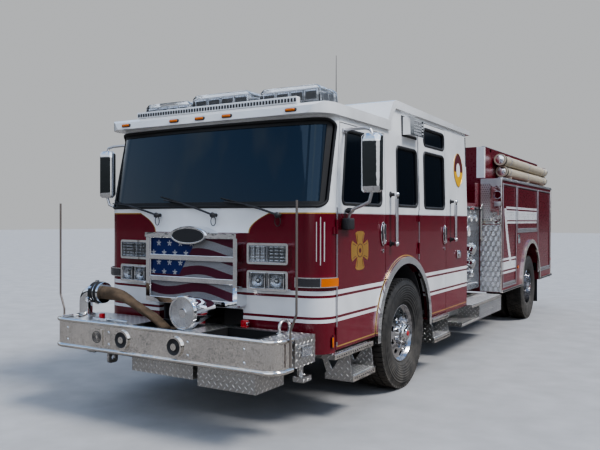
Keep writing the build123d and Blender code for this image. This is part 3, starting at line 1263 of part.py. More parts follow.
def body_trim():
    """Rear arch trims, rub rails and the grab rails at the body's ends."""
    outer = arch_cut(REAR_ARCH_R + TRIM_W, REAR_ARCH_Z, WHEELBASE, BODY_HALF + SEAT_GAP, BODY_HALF + 26)
    inner = arch_cut(REAR_ARCH_R, REAR_ARCH_Z, WHEELBASE, BODY_HALF - 50, BODY_HALF + 100)
    pieces = both((outer - inner) & block((BODY_HALF, BODY_HALF + 60), (0, 9000), (BODY_LOW, 1500)))
    reach = REAR_ARCH_R + TRIM_W + 5
    for y in ((BODY_FRONT_Y, WHEELBASE - reach), (WHEELBASE + reach, BODY_REAR_Y)):
        pieces += both(block((BODY_HALF + SEAT_GAP, BODY_HALF + 26), y, (BODY_LOW, BODY_LOW + 40)))
    front, rear = BODY_FRONT_Y - SEAT_GAP, BODY_REAR_Y + SEAT_GAP
    pieces += both(upright_rail(WALL_RAIL, front, front - WALL_RAIL["out"]))
    return pieces + both(upright_rail(REAR_RAIL, rear, rear + REAR_RAIL["out"]))


def hose_bed():
    """Open hose bed between the lockers: floor, side walls and front wall."""
    inside = BODY_HALF - BODY_DEPTH - SEAT_GAP
    y = (BODY_FRONT_Y, BODY_REAR_Y)
    low, top = BED_FLOOR - 40, BODY_TOP + SEAT_GAP
    bed = block((-inside, inside), y, (low, BED_FLOOR))
    bed += both_sides(block((BED_HALF - BED_WALL, BED_HALF), y, (top, BED_TOP)))
    bed += both_sides(block((inside - BED_DECK, BED_HALF), y, (top, top + BED_DECK)))
    bed += both_sides(block((inside - BED_DECK, inside), y, (low, top + BED_DECK)))
    front = (BODY_FRONT_Y, BODY_FRONT_Y + BED_WALL)
    bed += block((-BED_HALF, BED_HALF), front, (top, BED_TOP))
    return bed + block((-inside, inside), front, (low, BED_TOP))


def water_tank():
    """Plain block at the tank's place under the hose bed."""
    return block((-TANK_HALF, TANK_HALF), (BODY_FRONT_Y + TANK_ENDS[0], BODY_REAR_Y - TANK_ENDS[1]),
                 (FRAME_HIGH + SEAT_GAP, BED_FLOOR - 40 - SEAT_GAP))


def tail():
    """Rear wall between the lockers, tail step and lamp plates."""
    inside = BODY_HALF - BODY_DEPTH - SEAT_GAP
    wall = block((-inside, inside), (BODY_REAR_Y - 40, BODY_REAR_Y), (BODY_LOW, BED_FLOOR - 40 - SEAT_GAP))
    notch = block((FRAME_HALF - 120, FRAME_HALF + 60), (BODY_REAR_Y - 50, BODY_REAR_Y + 10),
                  (BODY_LOW - 1, FRAME_LOW + 200))
    wall -= both_sides(notch)
    step = block((-BODY_HALF + 20, BODY_HALF - 20), (BODY_REAR_Y + SEAT_GAP, BODY_REAR_Y + TAIL_STEP),
                 (BODY_LOW - 30, BODY_LOW + 10))
    return [wall, step]


def suction_tubes():
    """Hard suction tubes on the lockers, with round ends."""
    pieces = []
    for tube in TUBES:
        body = rod_y(TUBE_R, tube["y"][0], tube["y"][1], tube["x"], tube["z"])
        for y in (tube["y"][0] - 40, tube["y"][1]):
            body += rod_y(TUBE_R + 12, y, y + 40, tube["x"], tube["z"])
        pieces += both(body)
    for y in (4600, 5900, 7200):
        cradle = block((BED_HALF + SEAT_GAP, 1180), (y - 15, y + 15), (BODY_TOP + SEAT_GAP, 2392))
        pieces += both(cradle)
    return pieces


def deck_gun_base():
    """Turntable, riser and yoke of the deck gun on the pump house."""
    foot, y = PUMP_TOP + RUN_GAP, (GUN_Y - 50, GUN_Y + 50)
    inner, outer = GUN_EAR
    base = rod_z(GUN_FOOT_R, foot, PUMP_TOP + GUN_FOOT, 0, GUN_Y)
    base += rod_z(GUN_RISER_R, foot, GUN_Z - 110, 0, GUN_Y)
    base += both_sides(block(GUN_EAR, y, (GUN_Z - 90, GUN_Z + inner)))
    base += block((-outer, outer), y, (GUN_Z - 120, GUN_Z - 88))
    return base + rod_x(GUN_PIN_R, -outer, outer, GUN_Y, GUN_Z)


def deck_gun_barrel():
    """Barrel and nozzle of the deck gun, on its pin."""
    step_y = GUN_Y - GUN_REACH + GUN_MUZZLE
    boss = GUN_EAR[0] - 1
    barrel = rod_y(GUN_BARREL_R, step_y, GUN_Y + 70, 0, GUN_Z)
    barrel += rod_y(GUN_MUZZLE_R, GUN_Y - GUN_REACH, step_y, 0, GUN_Z)
    barrel += rod_x(30, -boss, boss, GUN_Y, GUN_Z)
    return barrel - rod_x(GUN_PIN_R + RUN_GAP, -100, 100, GUN_Y, GUN_Z)


def nodes():
    """Every node's name and its solids, at the vehicle's own places."""
    front_wheel = tyre(FRONT_TYRE_R, FRONT_TYRE_W, FRONT_TYRE_OUT, FRONT_TYRE_R)
    dual = tyre(REAR_TYRE_R, REAR_TYRE_W, REAR_TYRE_OUT, REAR_TYRE_R)
    duals = [Pos(0, WHEELBASE, 0) * dual, Pos(-DUAL_SPACING, WHEELBASE, 0) * dual]
    table = {
        "frame_rails": frame_rails(),
        "front_axle": front_axle(),
        "rear_axle": rear_axle(),
        "engine": engine(),
        "drive_shaft": drive_shaft(),
        "tie_rod": tie_rod(),
        "bumper": [bumper()],
        "bumper_deck": [bumper_deck()],
        "siren": [siren()],
        "inlet_elbow": [inlet_elbow()],
        "deck_hose": [deck_hose()],
        "hose_load": [hose_load()],
        "guide_rods": guide_rods(),
        "grille": [grille()],
        "lamps": lamps(),
        "cab_front": [cab_front()],
        "cab_walls": both(cab_side()) + [cab_rear()],
        "cab_roof": [cab_roof()],
        "cab_floor": cab_floor(),
        "cab_glass": cab_glass(),
        "cab_interior": cab_seats() + dashboard(),
        "cab_trim": cab_trim(),
        "steps": steps(),
        "roof_lights": roof_lights(),
        "pump_house": [pump_house()],
        "pump_panels": pump_panels(),
        "body_lockers": both(body_side()),
        "hose_bed": [hose_bed()],
        "water_tank": [water_tank()],
        "tail": tail(),
        "shutters": shutters(),
        "body_trim": body_trim(),
        "suction_tubes": suction_tubes(),
        "deck_gun_base": [deck_gun_base()],
        "deck_gun_barrel": [deck_gun_barrel()],
    }
    sided = {
        "front_tyre": [front_wheel],
        "front_rim": [front_rim()],
        "rear_tyres": duals,
        "rear_rims": [rear_rim()],
        "knuckle": [knuckle()],
        "door_front": [door_panel(FRONT_DOOR, [FRONT_WINDOW])],
        "door_rear": [door_panel(REAR_DOOR, [REAR_WINDOW, UPPER_WINDOW])],
        "glass_front": [window_pane(FRONT_WINDOW)],
        "glass_rear": [window_pane(REAR_WINDOW), window_pane(UPPER_WINDOW)],
        "mirror": [door_mirror()],
    }
    for name, pieces in sided.items():
        table[name + "_left"] = pieces
        table[name + "_right"] = [other_side(piece) for piece in pieces]
    return table


def write_parts():
    """Write one STEP file for each node, the vehicle's box centred on the origin."""
    os.makedirs("parts", exist_ok=True)
    for name, pieces in nodes().items():
        solids = [solid for piece in pieces for solid in piece.solids()]
        moved = [Pos(0, SHIFT_Y, 0) * solid for solid in solids]
        shape = moved[0] if len(moved) == 1 else Compound(children=moved)
        export_step(shape, f"parts/{name}.step")


write_parts()
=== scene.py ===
"""The look of a custom cab fire engine, laid over its CAD frame.

Metres. A fitting is placed by its distance across (x), behind the front axle (y) and
above the ground (z), and `at` turns that into the frame's own coordinates.
"""
from __future__ import annotations

import functools
import logging
import math
from dataclasses import dataclass
from enum import Enum
from typing import Callable, Iterable, Sequence

import bmesh
import bpy
from mathutils import Matrix, Vector


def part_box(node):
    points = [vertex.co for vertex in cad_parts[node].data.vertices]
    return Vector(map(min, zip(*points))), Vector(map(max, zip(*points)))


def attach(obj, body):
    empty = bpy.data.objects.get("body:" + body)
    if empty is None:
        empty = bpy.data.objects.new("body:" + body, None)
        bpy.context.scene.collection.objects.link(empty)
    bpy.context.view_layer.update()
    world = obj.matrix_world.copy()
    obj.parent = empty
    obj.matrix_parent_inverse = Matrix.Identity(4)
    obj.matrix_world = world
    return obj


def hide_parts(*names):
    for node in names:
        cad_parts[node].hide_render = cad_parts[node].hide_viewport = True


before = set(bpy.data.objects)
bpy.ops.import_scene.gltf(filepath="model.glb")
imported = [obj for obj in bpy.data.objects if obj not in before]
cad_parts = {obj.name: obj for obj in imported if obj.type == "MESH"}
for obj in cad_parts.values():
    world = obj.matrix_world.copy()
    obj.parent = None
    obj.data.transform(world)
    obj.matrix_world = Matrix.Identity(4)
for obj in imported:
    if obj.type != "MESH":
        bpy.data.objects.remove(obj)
log = logging.getLogger("fire_engine")

Colour = tuple[float, float, float]
Point = Sequence[float]
SIDES = (("left", 1), ("right", -1))
ACROSS, BACK, FORWARD, UP = (1, 0, 0), (0, 1, 0), (0, -1, 0), (0, 0, 1)
ROOT = "chassis"


def middle(node: str) -> Vector:
    """The middle of a CAD node's box."""
    low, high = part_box(node)
    return (Vector(low) + Vector(high)) / 2


AXLE_Y = middle("front_tyre_left").y
REAR_AXLE = middle("rear_tyres_left").y - AXLE_Y
FRONT_AXLE_Z = middle("front_tyre_left").z
REAR_AXLE_Z = middle("rear_tyres_left").z
FLOOR_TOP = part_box("cab_interior")[0][2]


def at(x: float, y: float, z: float) -> Vector:
    """A point across, behind the front axle and above the ground, in the frame's coordinates."""
    return Vector((x, y + AXLE_Y, z))


def lerp(a: float, b: float, share: float) -> float:
    """The value a share of the way from a to b."""
    return a + (b - a) * share


def turns(count: int) -> list[float]:
    """Angles spread evenly round a circle."""
    return [2 * math.pi * step / count for step in range(count)]


def band(length: float, inner: float, outer: float) -> tuple[tuple[float, float], ...]:
    """The lathe profile of a plain hollow band."""
    return (0.0, inner), (0.0, outer), (length, outer), (length, inner)


def placed(name: str, data: bpy.types.ID) -> bpy.types.Object:
    """A new object in the scene that shows the data."""
    made = bpy.data.objects.new(name, data)
    bpy.context.scene.collection.objects.link(made)
    return made


def evaluated_mesh(holder: bpy.types.Object) -> bpy.types.Mesh:
    """What an object's curve or modifiers come to, as a plain mesh."""
    return bpy.data.meshes.new_from_object(holder.evaluated_get(bpy.context.evaluated_depsgraph_get()))


# Skin of the cab

@dataclass(frozen=True)
class CabSkin:
    """The outside of the cab, so that fittings sit on its bowed nose, round corners and leaning sides."""

    half: float = 1.22
    nose: float = -1.765
    belt: float = 1.806
    eave: float = 2.56
    setback: float = 0.125
    sag: float = 0.065
    corner: float = 0.2
    lean: float = 0.0305

    def half_at(self, z: float) -> float:
        """Half width of the cab at a height."""
        return self.half - max(0.0, z - self.belt) * self.lean

    def front(self, x: float, z: float, out: float = 0.0) -> Vector:
        """A point on the nose.

        Args:
            x: Place across.
            z: Height.
            out: How far the point stands off the skin.

        Returns:
            The point in frame coordinates.
        """
        reach = self.half_at(z) - self.corner
        back = self.setback * min(1.0, max(0.0, (z - self.belt) / (self.eave - self.belt)))
        base = self.nose + back
        if abs(x) <= reach:
            radius = (reach ** 2 + self.sag ** 2) / (2 * self.sag)
            drop = math.sqrt(radius ** 2 - x ** 2)
            return at(x + x / radius * out, base + radius - drop - drop / radius * out, z)
        over = min(abs(x) - reach, self.corner)
        drop = math.sqrt(self.corner ** 2 - over ** 2)
        side = math.copysign(1.0, x)
        across = side * (reach + over + over / self.corner * out)
        return at(across, base + self.sag + self.corner - drop - drop / self.corner * out, z)

    def side(self, y: float, z: float, side: int, out: float = 0.0) -> Vector:
        """A point on a side of the cab, stood off by `out`."""
        return at(side * (self.half_at(z) + out), y, z)


SKIN = CabSkin()


# Shader nodes

def _operator(operation: str, turned: bool = False) -> Callable[[Value, object], Value]:
    """A method that places one Math node on a value and another one."""
    def place(self: Value, other: object) -> Value:
        return self.graph.math(operation, *((other, self) if turned else (self, other)))
    return place


class Value:
    """A socket that takes part in plain arithmetic, each step of which places a Math node."""

    def __init__(self, graph: Graph, socket: bpy.types.NodeSocket) -> None:
        """Wraps a socket of the graph."""
        self.graph = graph
        self.socket = socket

    __add__, __radd__ = _operator("ADD"), _operator("ADD", True)
    __sub__, __rsub__ = _operator("SUBTRACT"), _operator("SUBTRACT", True)
    __mul__, __rmul__ = _operator("MULTIPLY"), _operator("MULTIPLY", True)
    __truediv__, __mod__, __pow__ = _operator("DIVIDE"), _operator("MODULO"), _operator("POWER")
    __gt__, __lt__ = _operator("GREATER_THAN"), _operator("LESS_THAN")

    def __abs__(self) -> Value:
        """Its size without a sign."""
        return self.do("ABSOLUTE")

    def do(self, operation: str, *others: object) -> Value:
        """The result of any other Math node on it."""
        return self.graph.math(operation, self, *others)


class Graph:
    """Short hand for placing and joining nodes in one tree."""

    def __init__(self, tree: bpy.types.NodeTree) -> None:
        """Works in the given tree."""
        self.tree = tree

    def node(self, kind: str, feeds: dict | None = None, **settings: object) -> bpy.types.Node:
        """A new node with its settings, and with the inputs that are named or numbered in `feeds` fed."""
        made = self.tree.nodes.new(kind)
        for name, value in settings.items():
            setattr(made, name, value)
        for key, value in (feeds or {}).items():
            self.feed(made.inputs[key], value)
        return made

    def feed(self, socket: bpy.types.NodeSocket, value: object) -> None:
        """Links a socket to another, or gives it a plain value."""
        if isinstance(value, Value):
            value = value.socket
        if isinstance(value, bpy.types.NodeSocket):
            self.tree.links.new(value, socket)
        else:
            socket.default_value = value

    def math(self, operation: str, *values: object) -> Value:
        """The result of a Math node."""
        return Value(self, self.node("ShaderNodeMath", dict(enumerate(values)), operation=operation).outputs[0])

    def vector(self, operation: str, *values: object) -> Value:
        """The result of a Vector Math node."""
        made = self.node("ShaderNodeVectorMath", dict(enumerate(values)), operation=operation)
        return Value(self, made.outputs["Value" if operation == "LENGTH" else "Vector"])

    def split(self, vector: object) -> list[Value]:
        """The three parts of a vector."""
        return [Value(self, part) for part in self.node("ShaderNodeSeparateXYZ", {0: vector}).outputs]

    def join(self, *parts: object) -> Value:
        """A vector from its three parts."""
        return Value(self, self.node("ShaderNodeCombineXYZ", dict(enumerate(parts))).outputs[0])

    def mix(self, mask: object, under: object, over: object) -> Value:
        """Colour `over` laid on `under` where the mask is one."""
        made = self.node("ShaderNodeMix", {0: mask, 6: under, 7: over}, data_type="RGBA")
        return Value(self, made.outputs[2])

    def layers(self, colour: object, *coats: tuple[object, object]) -> object:
        """A colour with others laid on it in turn, each given by its mask and itself."""
        for mask, over in coats:
            colour = self.mix(mask, colour, over)
        return colour

    def noise(self, place: object, scale: float, detail: float = 3.0) -> Value:
        """Soft noise from zero to one."""
        made = self.node("ShaderNodeTexNoise", {"Vector": place, "Scale": scale, "Detail": detail})
        return Value(self, made.outputs[0])

    def remap(self, value: object, low: float, high: float, to_low: float, to_high: float) -> Value:
        """A value carried from one range to another, held inside it."""
        feeds = dict(enumerate((value, low, high, to_low, to_high)))
        return Value(self, self.node("ShaderNodeMapRange", feeds).outputs[0])

    def between(self, value: Value, low: float, high: float) -> Value:
        """One where the value lies between two limits."""
        return (value > low) * (value < high)

    def all_of(self, *masks: Value) -> Value:
        """One where every mask is one."""
        return functools.reduce(lambda one, two: one.do("MULTIPLY", two), masks)

    def any_of(self, *masks: Value) -> Value:
        """One where any mask is one."""
        return functools.reduce(lambda one, two: one.do("MAXIMUM", two), masks)

    def cells(self, u: Value, v: Value, wide: object, tall: object) -> tuple[Value, Value]:
        """Place from -0.5 to 0.5, across and up, in cells whose rows are staggered by half a cell."""
        row = v / tall
        column = u / wide + row.do("FLOOR") % 2.0 * 0.5
        return column.do("FRACT") - 0.5, row.do("FRACT") - 0.5

    def group(self, tree: bpy.types.NodeTree, **inputs: object) -> dict[str, Value]:
        """The results of a node group, by their names."""
        made = self.node("ShaderNodeGroup", node_tree=tree)
        for name, value in inputs.items():
            self.feed(made.inputs[name], value)
        return {socket.name: Value(self, socket) for socket in made.outputs}

    def read(self, kind: str, output: str) -> Value:
        """An output of a node that takes nothing in."""
        return Value(self, self.node(kind).outputs[output])


class MaterialGraph(Graph):
    """The graph of one material, with its shader and the place that its patterns are laid by."""

    def __init__(self, material: bpy.types.Material) -> None:
        """Works in the material's tree. Its place is in Object coordinates, which are the frame's own."""
        super().__init__(material.node_tree)
        self.shader = self.tree.nodes["Principled BSDF"]
        self.place = self.read("ShaderNodeTexCoord", "Object")

    def give(self, **values: object) -> None:
        """Feeds inputs of the shader, spaces in their names written as underscores."""
        for name, value in values.items():
            self.feed(self.shader.inputs[name.replace("_", " ")], value)

    def bump(self, height: object, depth: float) -> None:
        """A Bump node feeding the shader's normal."""
        made = self.node("ShaderNodeBump", {"Distance": depth, "Strength": 1.0, "Height": height})
        self.give(Normal=made.outputs["Normal"])


def effect(inputs: dict[str, float | None], *outputs: str) -> Callable[[Callable], Callable]:
    """Turns a method that works out an effect into one that builds its node group once.

    Args:
        inputs: Default by input name: a number, or None for a vector.
        outputs: Names of the results, in the order that the method returns them in.

    Returns:
        The decorator.
    """
    def wrap(fill: Callable) -> Callable:
        @functools.wraps(fill)
        def build(self: Effects) -> bpy.types.NodeTree:
            name = fill.__name__
            if name in self.built:
                return self.built[name]
            tree = self.built[name] = bpy.data.node_groups.new(name, "ShaderNodeTree")
            for label, default in inputs.items():
                kind = "NodeSocketVector" if default is None else "NodeSocketFloat"
                socket = tree.interface.new_socket(name=label, in_out="INPUT", socket_type=kind)
                if default is not None:
                    socket.default_value = default
            for label in outputs:
                kind = "NodeSocketVector" if label == "Vector" else "NodeSocketFloat"
                tree.interface.new_socket(name=label, in_out="OUTPUT", socket_type=kind)
            graph = Graph(tree)
            given = graph.node("NodeGroupInput").outputs
            results = fill(self, graph, *[Value(graph, given[label]) for label in inputs])
            graph.node("NodeGroupOutput", dict(zip(outputs, results)))
            return tree
        return build
    return wrap


class Effects:
    """Shared effects as shader node groups, each built once."""

    def __init__(self) -> None:
        """Starts with no group built."""
        self.built: dict[str, bpy.types.NodeTree] = {}

    @effect({"Place": None, "Amount": 0.3, "Height": 0.9}, "Mask")
    def road_dust(self, g: Graph, place: Value, amount: Value, height: Value) -> tuple[Value, ...]:
        """Dust that thickens towards the ground."""
        low = (1.0 - g.split(place)[2] / height).do("MAXIMUM", 0.0)
        return (g.all_of(low, g.remap(g.noise(place, 9.0, 5.0), 0.35, 0.7, 0.3, 1.0), amount),)

    @effect({"Place": None, "Scale": 30.0, "Strength": 0.1}, "Value")
    def fine_wear(self, g: Graph, place: Value, scale: Value, strength: Value) -> tuple[Value, ...]:
        """Small uneven gloss from handling and washing, a signed value to add to roughness."""
        scaled = g.vector("SCALE", place)
        g.feed(scaled.socket.node.inputs["Scale"], scale)
        return ((g.noise(scaled, 1.0, 4.0) - 0.5) * strength,)

    @effect({"Place": None}, "Vector")
    def flat_place(self, g: Graph, place: Value) -> tuple[Value, ...]:
        """Two coordinates in the plane that a face lies nearest to, as a vector with no third part."""
        x, y, z = g.split(place)
        nx, ny, nz = (abs(part) for part in g.split(g.read("ShaderNodeNewGeometry", "True Normal")))
        facing_x = (nx > ny) * (nx > nz)
        facing_z = (nz > ny) * (nz > nx)
        u = facing_x * y + (1.0 - facing_x) * x
        v = facing_z * y + (1.0 - facing_z) * z
        return (g.join(u, v, 0.0),)

    def flat(self, g: Graph, place: Value) -> list[Value]:
        """The two coordinates of `flat_place`."""
        return g.split(g.group(self.flat_place(), Place=place)["Vector"])[:2]

    @effect({"Place": None, "Pitch": 0.03}, "Height")
    def tread_lozenges(self, g: Graph, place: Value, pitch: Value) -> tuple[Value, ...]:
        """Raised lozenges of tread plate, turned in alternate cells."""
        half_long, half_wide = 0.46, 0.15
        u, v = self.flat(g, place)
        a, b = (u + v) / pitch, (u - v) / pitch
        turned = abs((a.do("FLOOR") + b.do("FLOOR")) % 2.0)
        along, across = a.do("FRACT") - 0.5, b.do("FRACT") - 0.5
        stay = 1.0 - turned
        p = along * stay + across * turned
        q = across * stay + along * turned
        return (g.remap((abs(p) / half_long) ** 2.0 + (abs(q) / half_wide) ** 2.0, 0.3, 1.0, 1.0, 0.0),)

    @effect({"Place": None, "Pitch": 0.06}, "Height", "Swirl Highlight")
    def turned_rings(self, g: Graph, place: Value, pitch: Value) -> tuple[Value, ...]:
        """Overlapping swirls of machine turned steel, as a height and a painted highlight, lighter across two
        opposite quarters of each swirl.
        """
        du, dv = g.cells(*self.flat(g, place), pitch, pitch)
        far = (abs(du) ** 2.0 + abs(dv) ** 2.0).do("SQRT")
        # Painted highlight: brightness that turns with the angle round each swirl, as light catches turned
        # steel.
        swirl_highlight = (du.do("ARCTAN2", dv) * 2.0).do("SINE")
        return (far * 70.0).do("SINE"), g.remap(swirl_highlight, -1.0, 1.0, 0.0, 1.0)

    @effect({"Place": None, "Threads": 60.0}, "Height", "Mask")
    def woven_jacket(self, g: Graph, place: Value, threads: Value) -> tuple[Value, ...]:
        """Plain weave on a piece's own UV map, as a height and a thread mask."""
        warp, weft = ((part * threads * math.pi).do("SINE") for part in g.split(place)[:2])
        cross = warp * weft
        return abs(cross), cross > 0.0

    @effect({"Place": None, "Pitch": 0.02, "Open": 0.3}, "Mask")
    def punched_dots(self, g: Graph, place: Value, pitch: Value, hole: Value) -> tuple[Value, ...]:
        """Staggered round holes of perforated sheet, one inside a hole."""
        du, dv = g.cells(*self.flat(g, place), pitch, pitch)
        return ((du * du + dv * dv).do("SQRT") < hole,)


EFFECTS = Effects()


# Finishes

MAROON = (0.128, 0.0016, 0.0125, 1.0)
MAROON_TAPE = (0.158, 0.005, 0.019, 1.0)
WHITE = (0.8, 0.81, 0.82, 1.0)
TAPE_WHITE = (0.74, 0.75, 0.77, 1.0)
GOLD = (0.72, 0.44, 0.13, 1.0)
SILVER = (0.52, 0.52, 0.54, 1.0)
ROAD_DUST = (0.3, 0.27, 0.23, 1.0)


class Livery(Enum):
    """Which paint scheme a painted piece wears."""

    CAB = "cab"
    BODY = "body"
    WHITE = "white"


@dataclass(frozen=True)
class Finish:
    """A finish with a name, a base colour, a roughness and a metallic value."""

    name: str
    colour: Colour
    rough: float = 0.4
    metal: float = 0.0
    wear: float = 0.1
    dust: float = 0.0
    coat: float = 0.0

    def material(self) -> bpy.types.Material:
        """The Blender material, built once and kept apart from the record's own of that name."""
        own_name = f"{self.name}_finish"
        found = bpy.data.materials.get(own_name)
        if found is not None:
            return found
        made = bpy.data.materials.new(own_name)
        made.use_nodes = True
        g = MaterialGraph(made)
        g.give(Metallic=self.metal, Coat_Weight=self.coat, Coat_Roughness=0.04)
        self.dress(g)
        return made

    def shade(self, share: float = 1.0) -> tuple[float, ...]:
        """Its colour, or a share of it."""
        return (*[part * share for part in self.colour], 1.0)

    def dress(self, g: MaterialGraph) -> None:
        """Feeds the shader. A finish of its own kind adds its pattern here."""
        self.base(g, self.shade())

    def base(self, g: MaterialGraph, colour: object) -> None:
        """A colour with dust over it, and roughness with small wear."""
        worn = g.group(EFFECTS.fine_wear(), Place=g.place, Scale=35.0, Strength=self.wear)["Value"]
        mask = g.group(EFFECTS.road_dust(), Place=g.place, Amount=self.dust, Height=1.1)["Mask"]
        soft = g.remap(g.noise(g.place, 3.0), 0.3, 0.7, 0.92, 1.08)
        tint = g.node("ShaderNodeHueSaturation", {"Color": colour, "Value": soft})
        rough = (self.rough + worn + mask * 0.4).do("MAXIMUM", 0.02)
        g.give(Base_Color=g.mix(mask, tint.outputs["Color"], ROAD_DUST), Roughness=rough)


@dataclass(frozen=True)
class Paint(Finish):
    """Gloss paint in one of the liveries, with its stripes and pinstripes."""

    livery: Livery = Livery.CAB

    def dress(self, g: MaterialGraph) -> None:
        """Lays the livery on and keeps gold leaf a little metallic."""
        if self.livery is Livery.CAB:
            colour, leaf = self.cab_scheme(g)
            g.give(Metallic=leaf)
        elif self.livery is Livery.BODY:
            colour = self.body_scheme(g)
        else:
            colour = self.shade()
        self.base(g, colour)

    def stripes(self, g: Graph, z: Value, *bands: tuple[float, float]) -> Value:
        """A mask of level bands, each given by its lower and upper height."""
        return g.any_of(*[g.between(z, low, high) for low, high in bands])

    def cab_scheme(self, g: MaterialGraph) -> tuple[object, Value]:
        """White over maroon, a white nose panel, level bands and gold lines.

        Args:
            g: The material's graph.

        Returns:
            The colour, and how metallic it is.
        """
        belt, foot, corner = 1.753, 1.585, -1.505
        x, y, z = g.split(g.place)
        wide, back = abs(x), y - AXLE_Y
        nose, behind = back < corner, back > corner
        flank = wide > 1.212
        height = g.between(z, foot, belt)
        edge = 0.525 + ((z - foot) / (belt - foot)).do("MAXIMUM", 0.0) ** 2.0 * 0.2
        in_panel = edge - wide
        white = g.any_of(z > belt, g.all_of(nose, in_panel > 0.0, height))
        bands = self.stripes(g, z, (1.085, 1.12), (0.912, 1.063), (0.861, 0.89))
        fine = g.any_of(*[self.stripes(g, wide, (across - 0.003, across + 0.003)) * g.between(z, low, high)
                          for across, low, high in ((1.13, 1.36, 1.68), (1.156, 1.33, 1.72),
                                                    (1.1785, 1.36, 1.68))])
        arch = g.vector("LENGTH", g.join(back, z - 0.61, 0.0))
        leaf = g.any_of(
            g.all_of(g.between(arch, 0.727, 0.737), z > 0.65, flank),
            g.all_of(g.between(z, 0.65, 0.661), flank, back > -1.48),
            g.all_of(g.between(z, belt - 0.007, belt + 0.004), nose, wide - edge > -0.01),
            g.all_of(g.between(in_panel, -0.004, 0.007), nose, height))
        seam = g.between(z, belt - 0.004, belt + 0.004) * (1.0 - nose)
        reflective = g.all_of(g.between(z, 0.661, 0.861), flank, behind)
        return g.layers(MAROON, (white, WHITE), (reflective, MAROON_TAPE), (bands, TAPE_WHITE),
                        (fine * nose, SILVER), (seam, SILVER), (leaf, GOLD)), leaf * 0.6

    def body_scheme(self, g: MaterialGraph) -> object:
        """Maroon with bands on the front lockers, a slanting band between them and a white bed corner."""
        x, y, z = g.split(g.place)
        wide, back = abs(x), y - AXLE_Y
        flank, ahead = wide > 1.2, back < 4.6
        upper = self.stripes(g, z, (1.875, 1.91), (1.702, 1.852), (1.65, 1.682)) * g.between(back, 3.98, 6.15)
        lower = self.stripes(g, z, (1.095, 1.127), (0.949, 1.071), (0.893, 0.925)) * ahead
        centre = 3.93 + ((1.88 - z) / 0.93).do("MAXIMUM", 0.0) ** 1.5 * 0.4
        slant = (abs(back - centre) < 0.065) * g.between(z, 0.949, 1.88)
        white = g.any_of(upper, lower, slant) * flank
        corner = g.all_of(g.between(wide, 0.885, 1.02), back < 3.72, z > 2.335)
        tape = g.all_of(g.between(z, 0.79, 0.865), flank, ahead)
        return g.layers(MAROON, (tape, MAROON_TAPE), (white, TAPE_WHITE), (corner, WHITE))


@dataclass(frozen=True)
class TreadPlate(Finish):
    """Bright aluminium tread plate."""

    pitch: float = 0.058

    def dress(self, g: MaterialGraph) -> None:
        """Raised lozenges, with painted shade: the grooves are darker than the tops."""
        height = g.group(EFFECTS.tread_lozenges(), Place=g.place, Pitch=self.pitch)["Height"]
        # Painted shade: a darker copy of the plate's colour lies in the grooves.
        self.base(g, g.mix(height, self.shade(0.6), self.shade()))
        g.bump(height, 0.004)


@dataclass(frozen=True)
class SwirlSteel(Finish):
    """Stainless sheet with machine turned swirls."""

    def dress(self, g: MaterialGraph) -> None:
        """A painted highlight in the colour, with a darker copy of the steel mixed in round each swirl, and
        fine rings in the bump.
        """
        rings = g.group(EFFECTS.turned_rings(), Place=g.place, Pitch=0.075)
        # Painted highlight: the swirl mixes a lighter and a darker copy of the steel's colour.
        self.base(g, g.mix(rings["Swirl Highlight"], self.shade(0.78), self.shade()))
        g.bump(rings["Height"], 0.0006)


@dataclass(frozen=True)
class Punched(Finish):
    """Perforated sheet: dark holes in a bright plate, or in a picture of a waving flag."""

    pitch: float = 0.02
    flag: bool = False

    def dress(self, g: MaterialGraph) -> None:
        """Holes sunk and darkened over the sheet's colour."""
        holes = g.group(EFFECTS.punched_dots(), Place=g.place, Pitch=self.pitch, Open=0.28)["Mask"]
        sheet = self.waving_flag(g) if self.flag else self.shade()
        self.base(g, g.mix(holes * 0.75, sheet, (0.01, 0.01, 0.012, 1.0)))
        g.bump(1.0 - holes, 0.002)

    def waving_flag(self, g: MaterialGraph) -> Value:
        """The colour of wavy stripes with a canton of five pointed stars."""
        stripe_pair, star_wide, star_tall = 0.15, 0.125, 0.085
        red, silver = (0.11, 0.01, 0.035, 1.0), (0.34, 0.34, 0.36, 1.0)
        blue, star_white = (0.012, 0.026, 0.16, 1.0), (0.55, 0.56, 0.58, 1.0)
        x, _, z = g.split(g.place)
        wave = ((x + 0.1) * 7.5).do("SINE") * 0.03
        level = z - wave + x * 0.04
        stripe = (level / stripe_pair).do("FRACT") > 0.5
        canton = (x + z * -0.62 < -0.89) * (z > 1.215)
        du, dv = g.cells(x, z, star_wide, star_tall)
        du, dv = du * star_wide, dv * star_tall
        far = g.vector("LENGTH", g.join(du, dv, 0.0))
        reach = 0.019 + (du.do("ARCTAN2", dv) * 5.0).do("COSINE") * 0.009
        return g.layers(red, (stripe, silver), (canton, blue), ((far < reach) * canton, star_white))


@dataclass(frozen=True)
class HoseCloth(Finish):
    """Woven hose jacket on the piece's own UV map."""

    def dress(self, g: MaterialGraph) -> None:
        """Weave, soft stains and a rough surface."""
        weave = g.group(EFFECTS.woven_jacket(), Place=g.read("ShaderNodeTexCoord", "UV"), Threads=110.0)
        stain = g.remap(g.noise(g.place, 14.0, 5.0), 0.35, 0.65, 0.0, 1.0)
        dark = self.shade(0.5)
        self.base(g, g.layers(self.shade(), (stain, dark), (weave["Mask"] * 0.25, dark)))
        g.bump(weave["Height"], 0.0015)


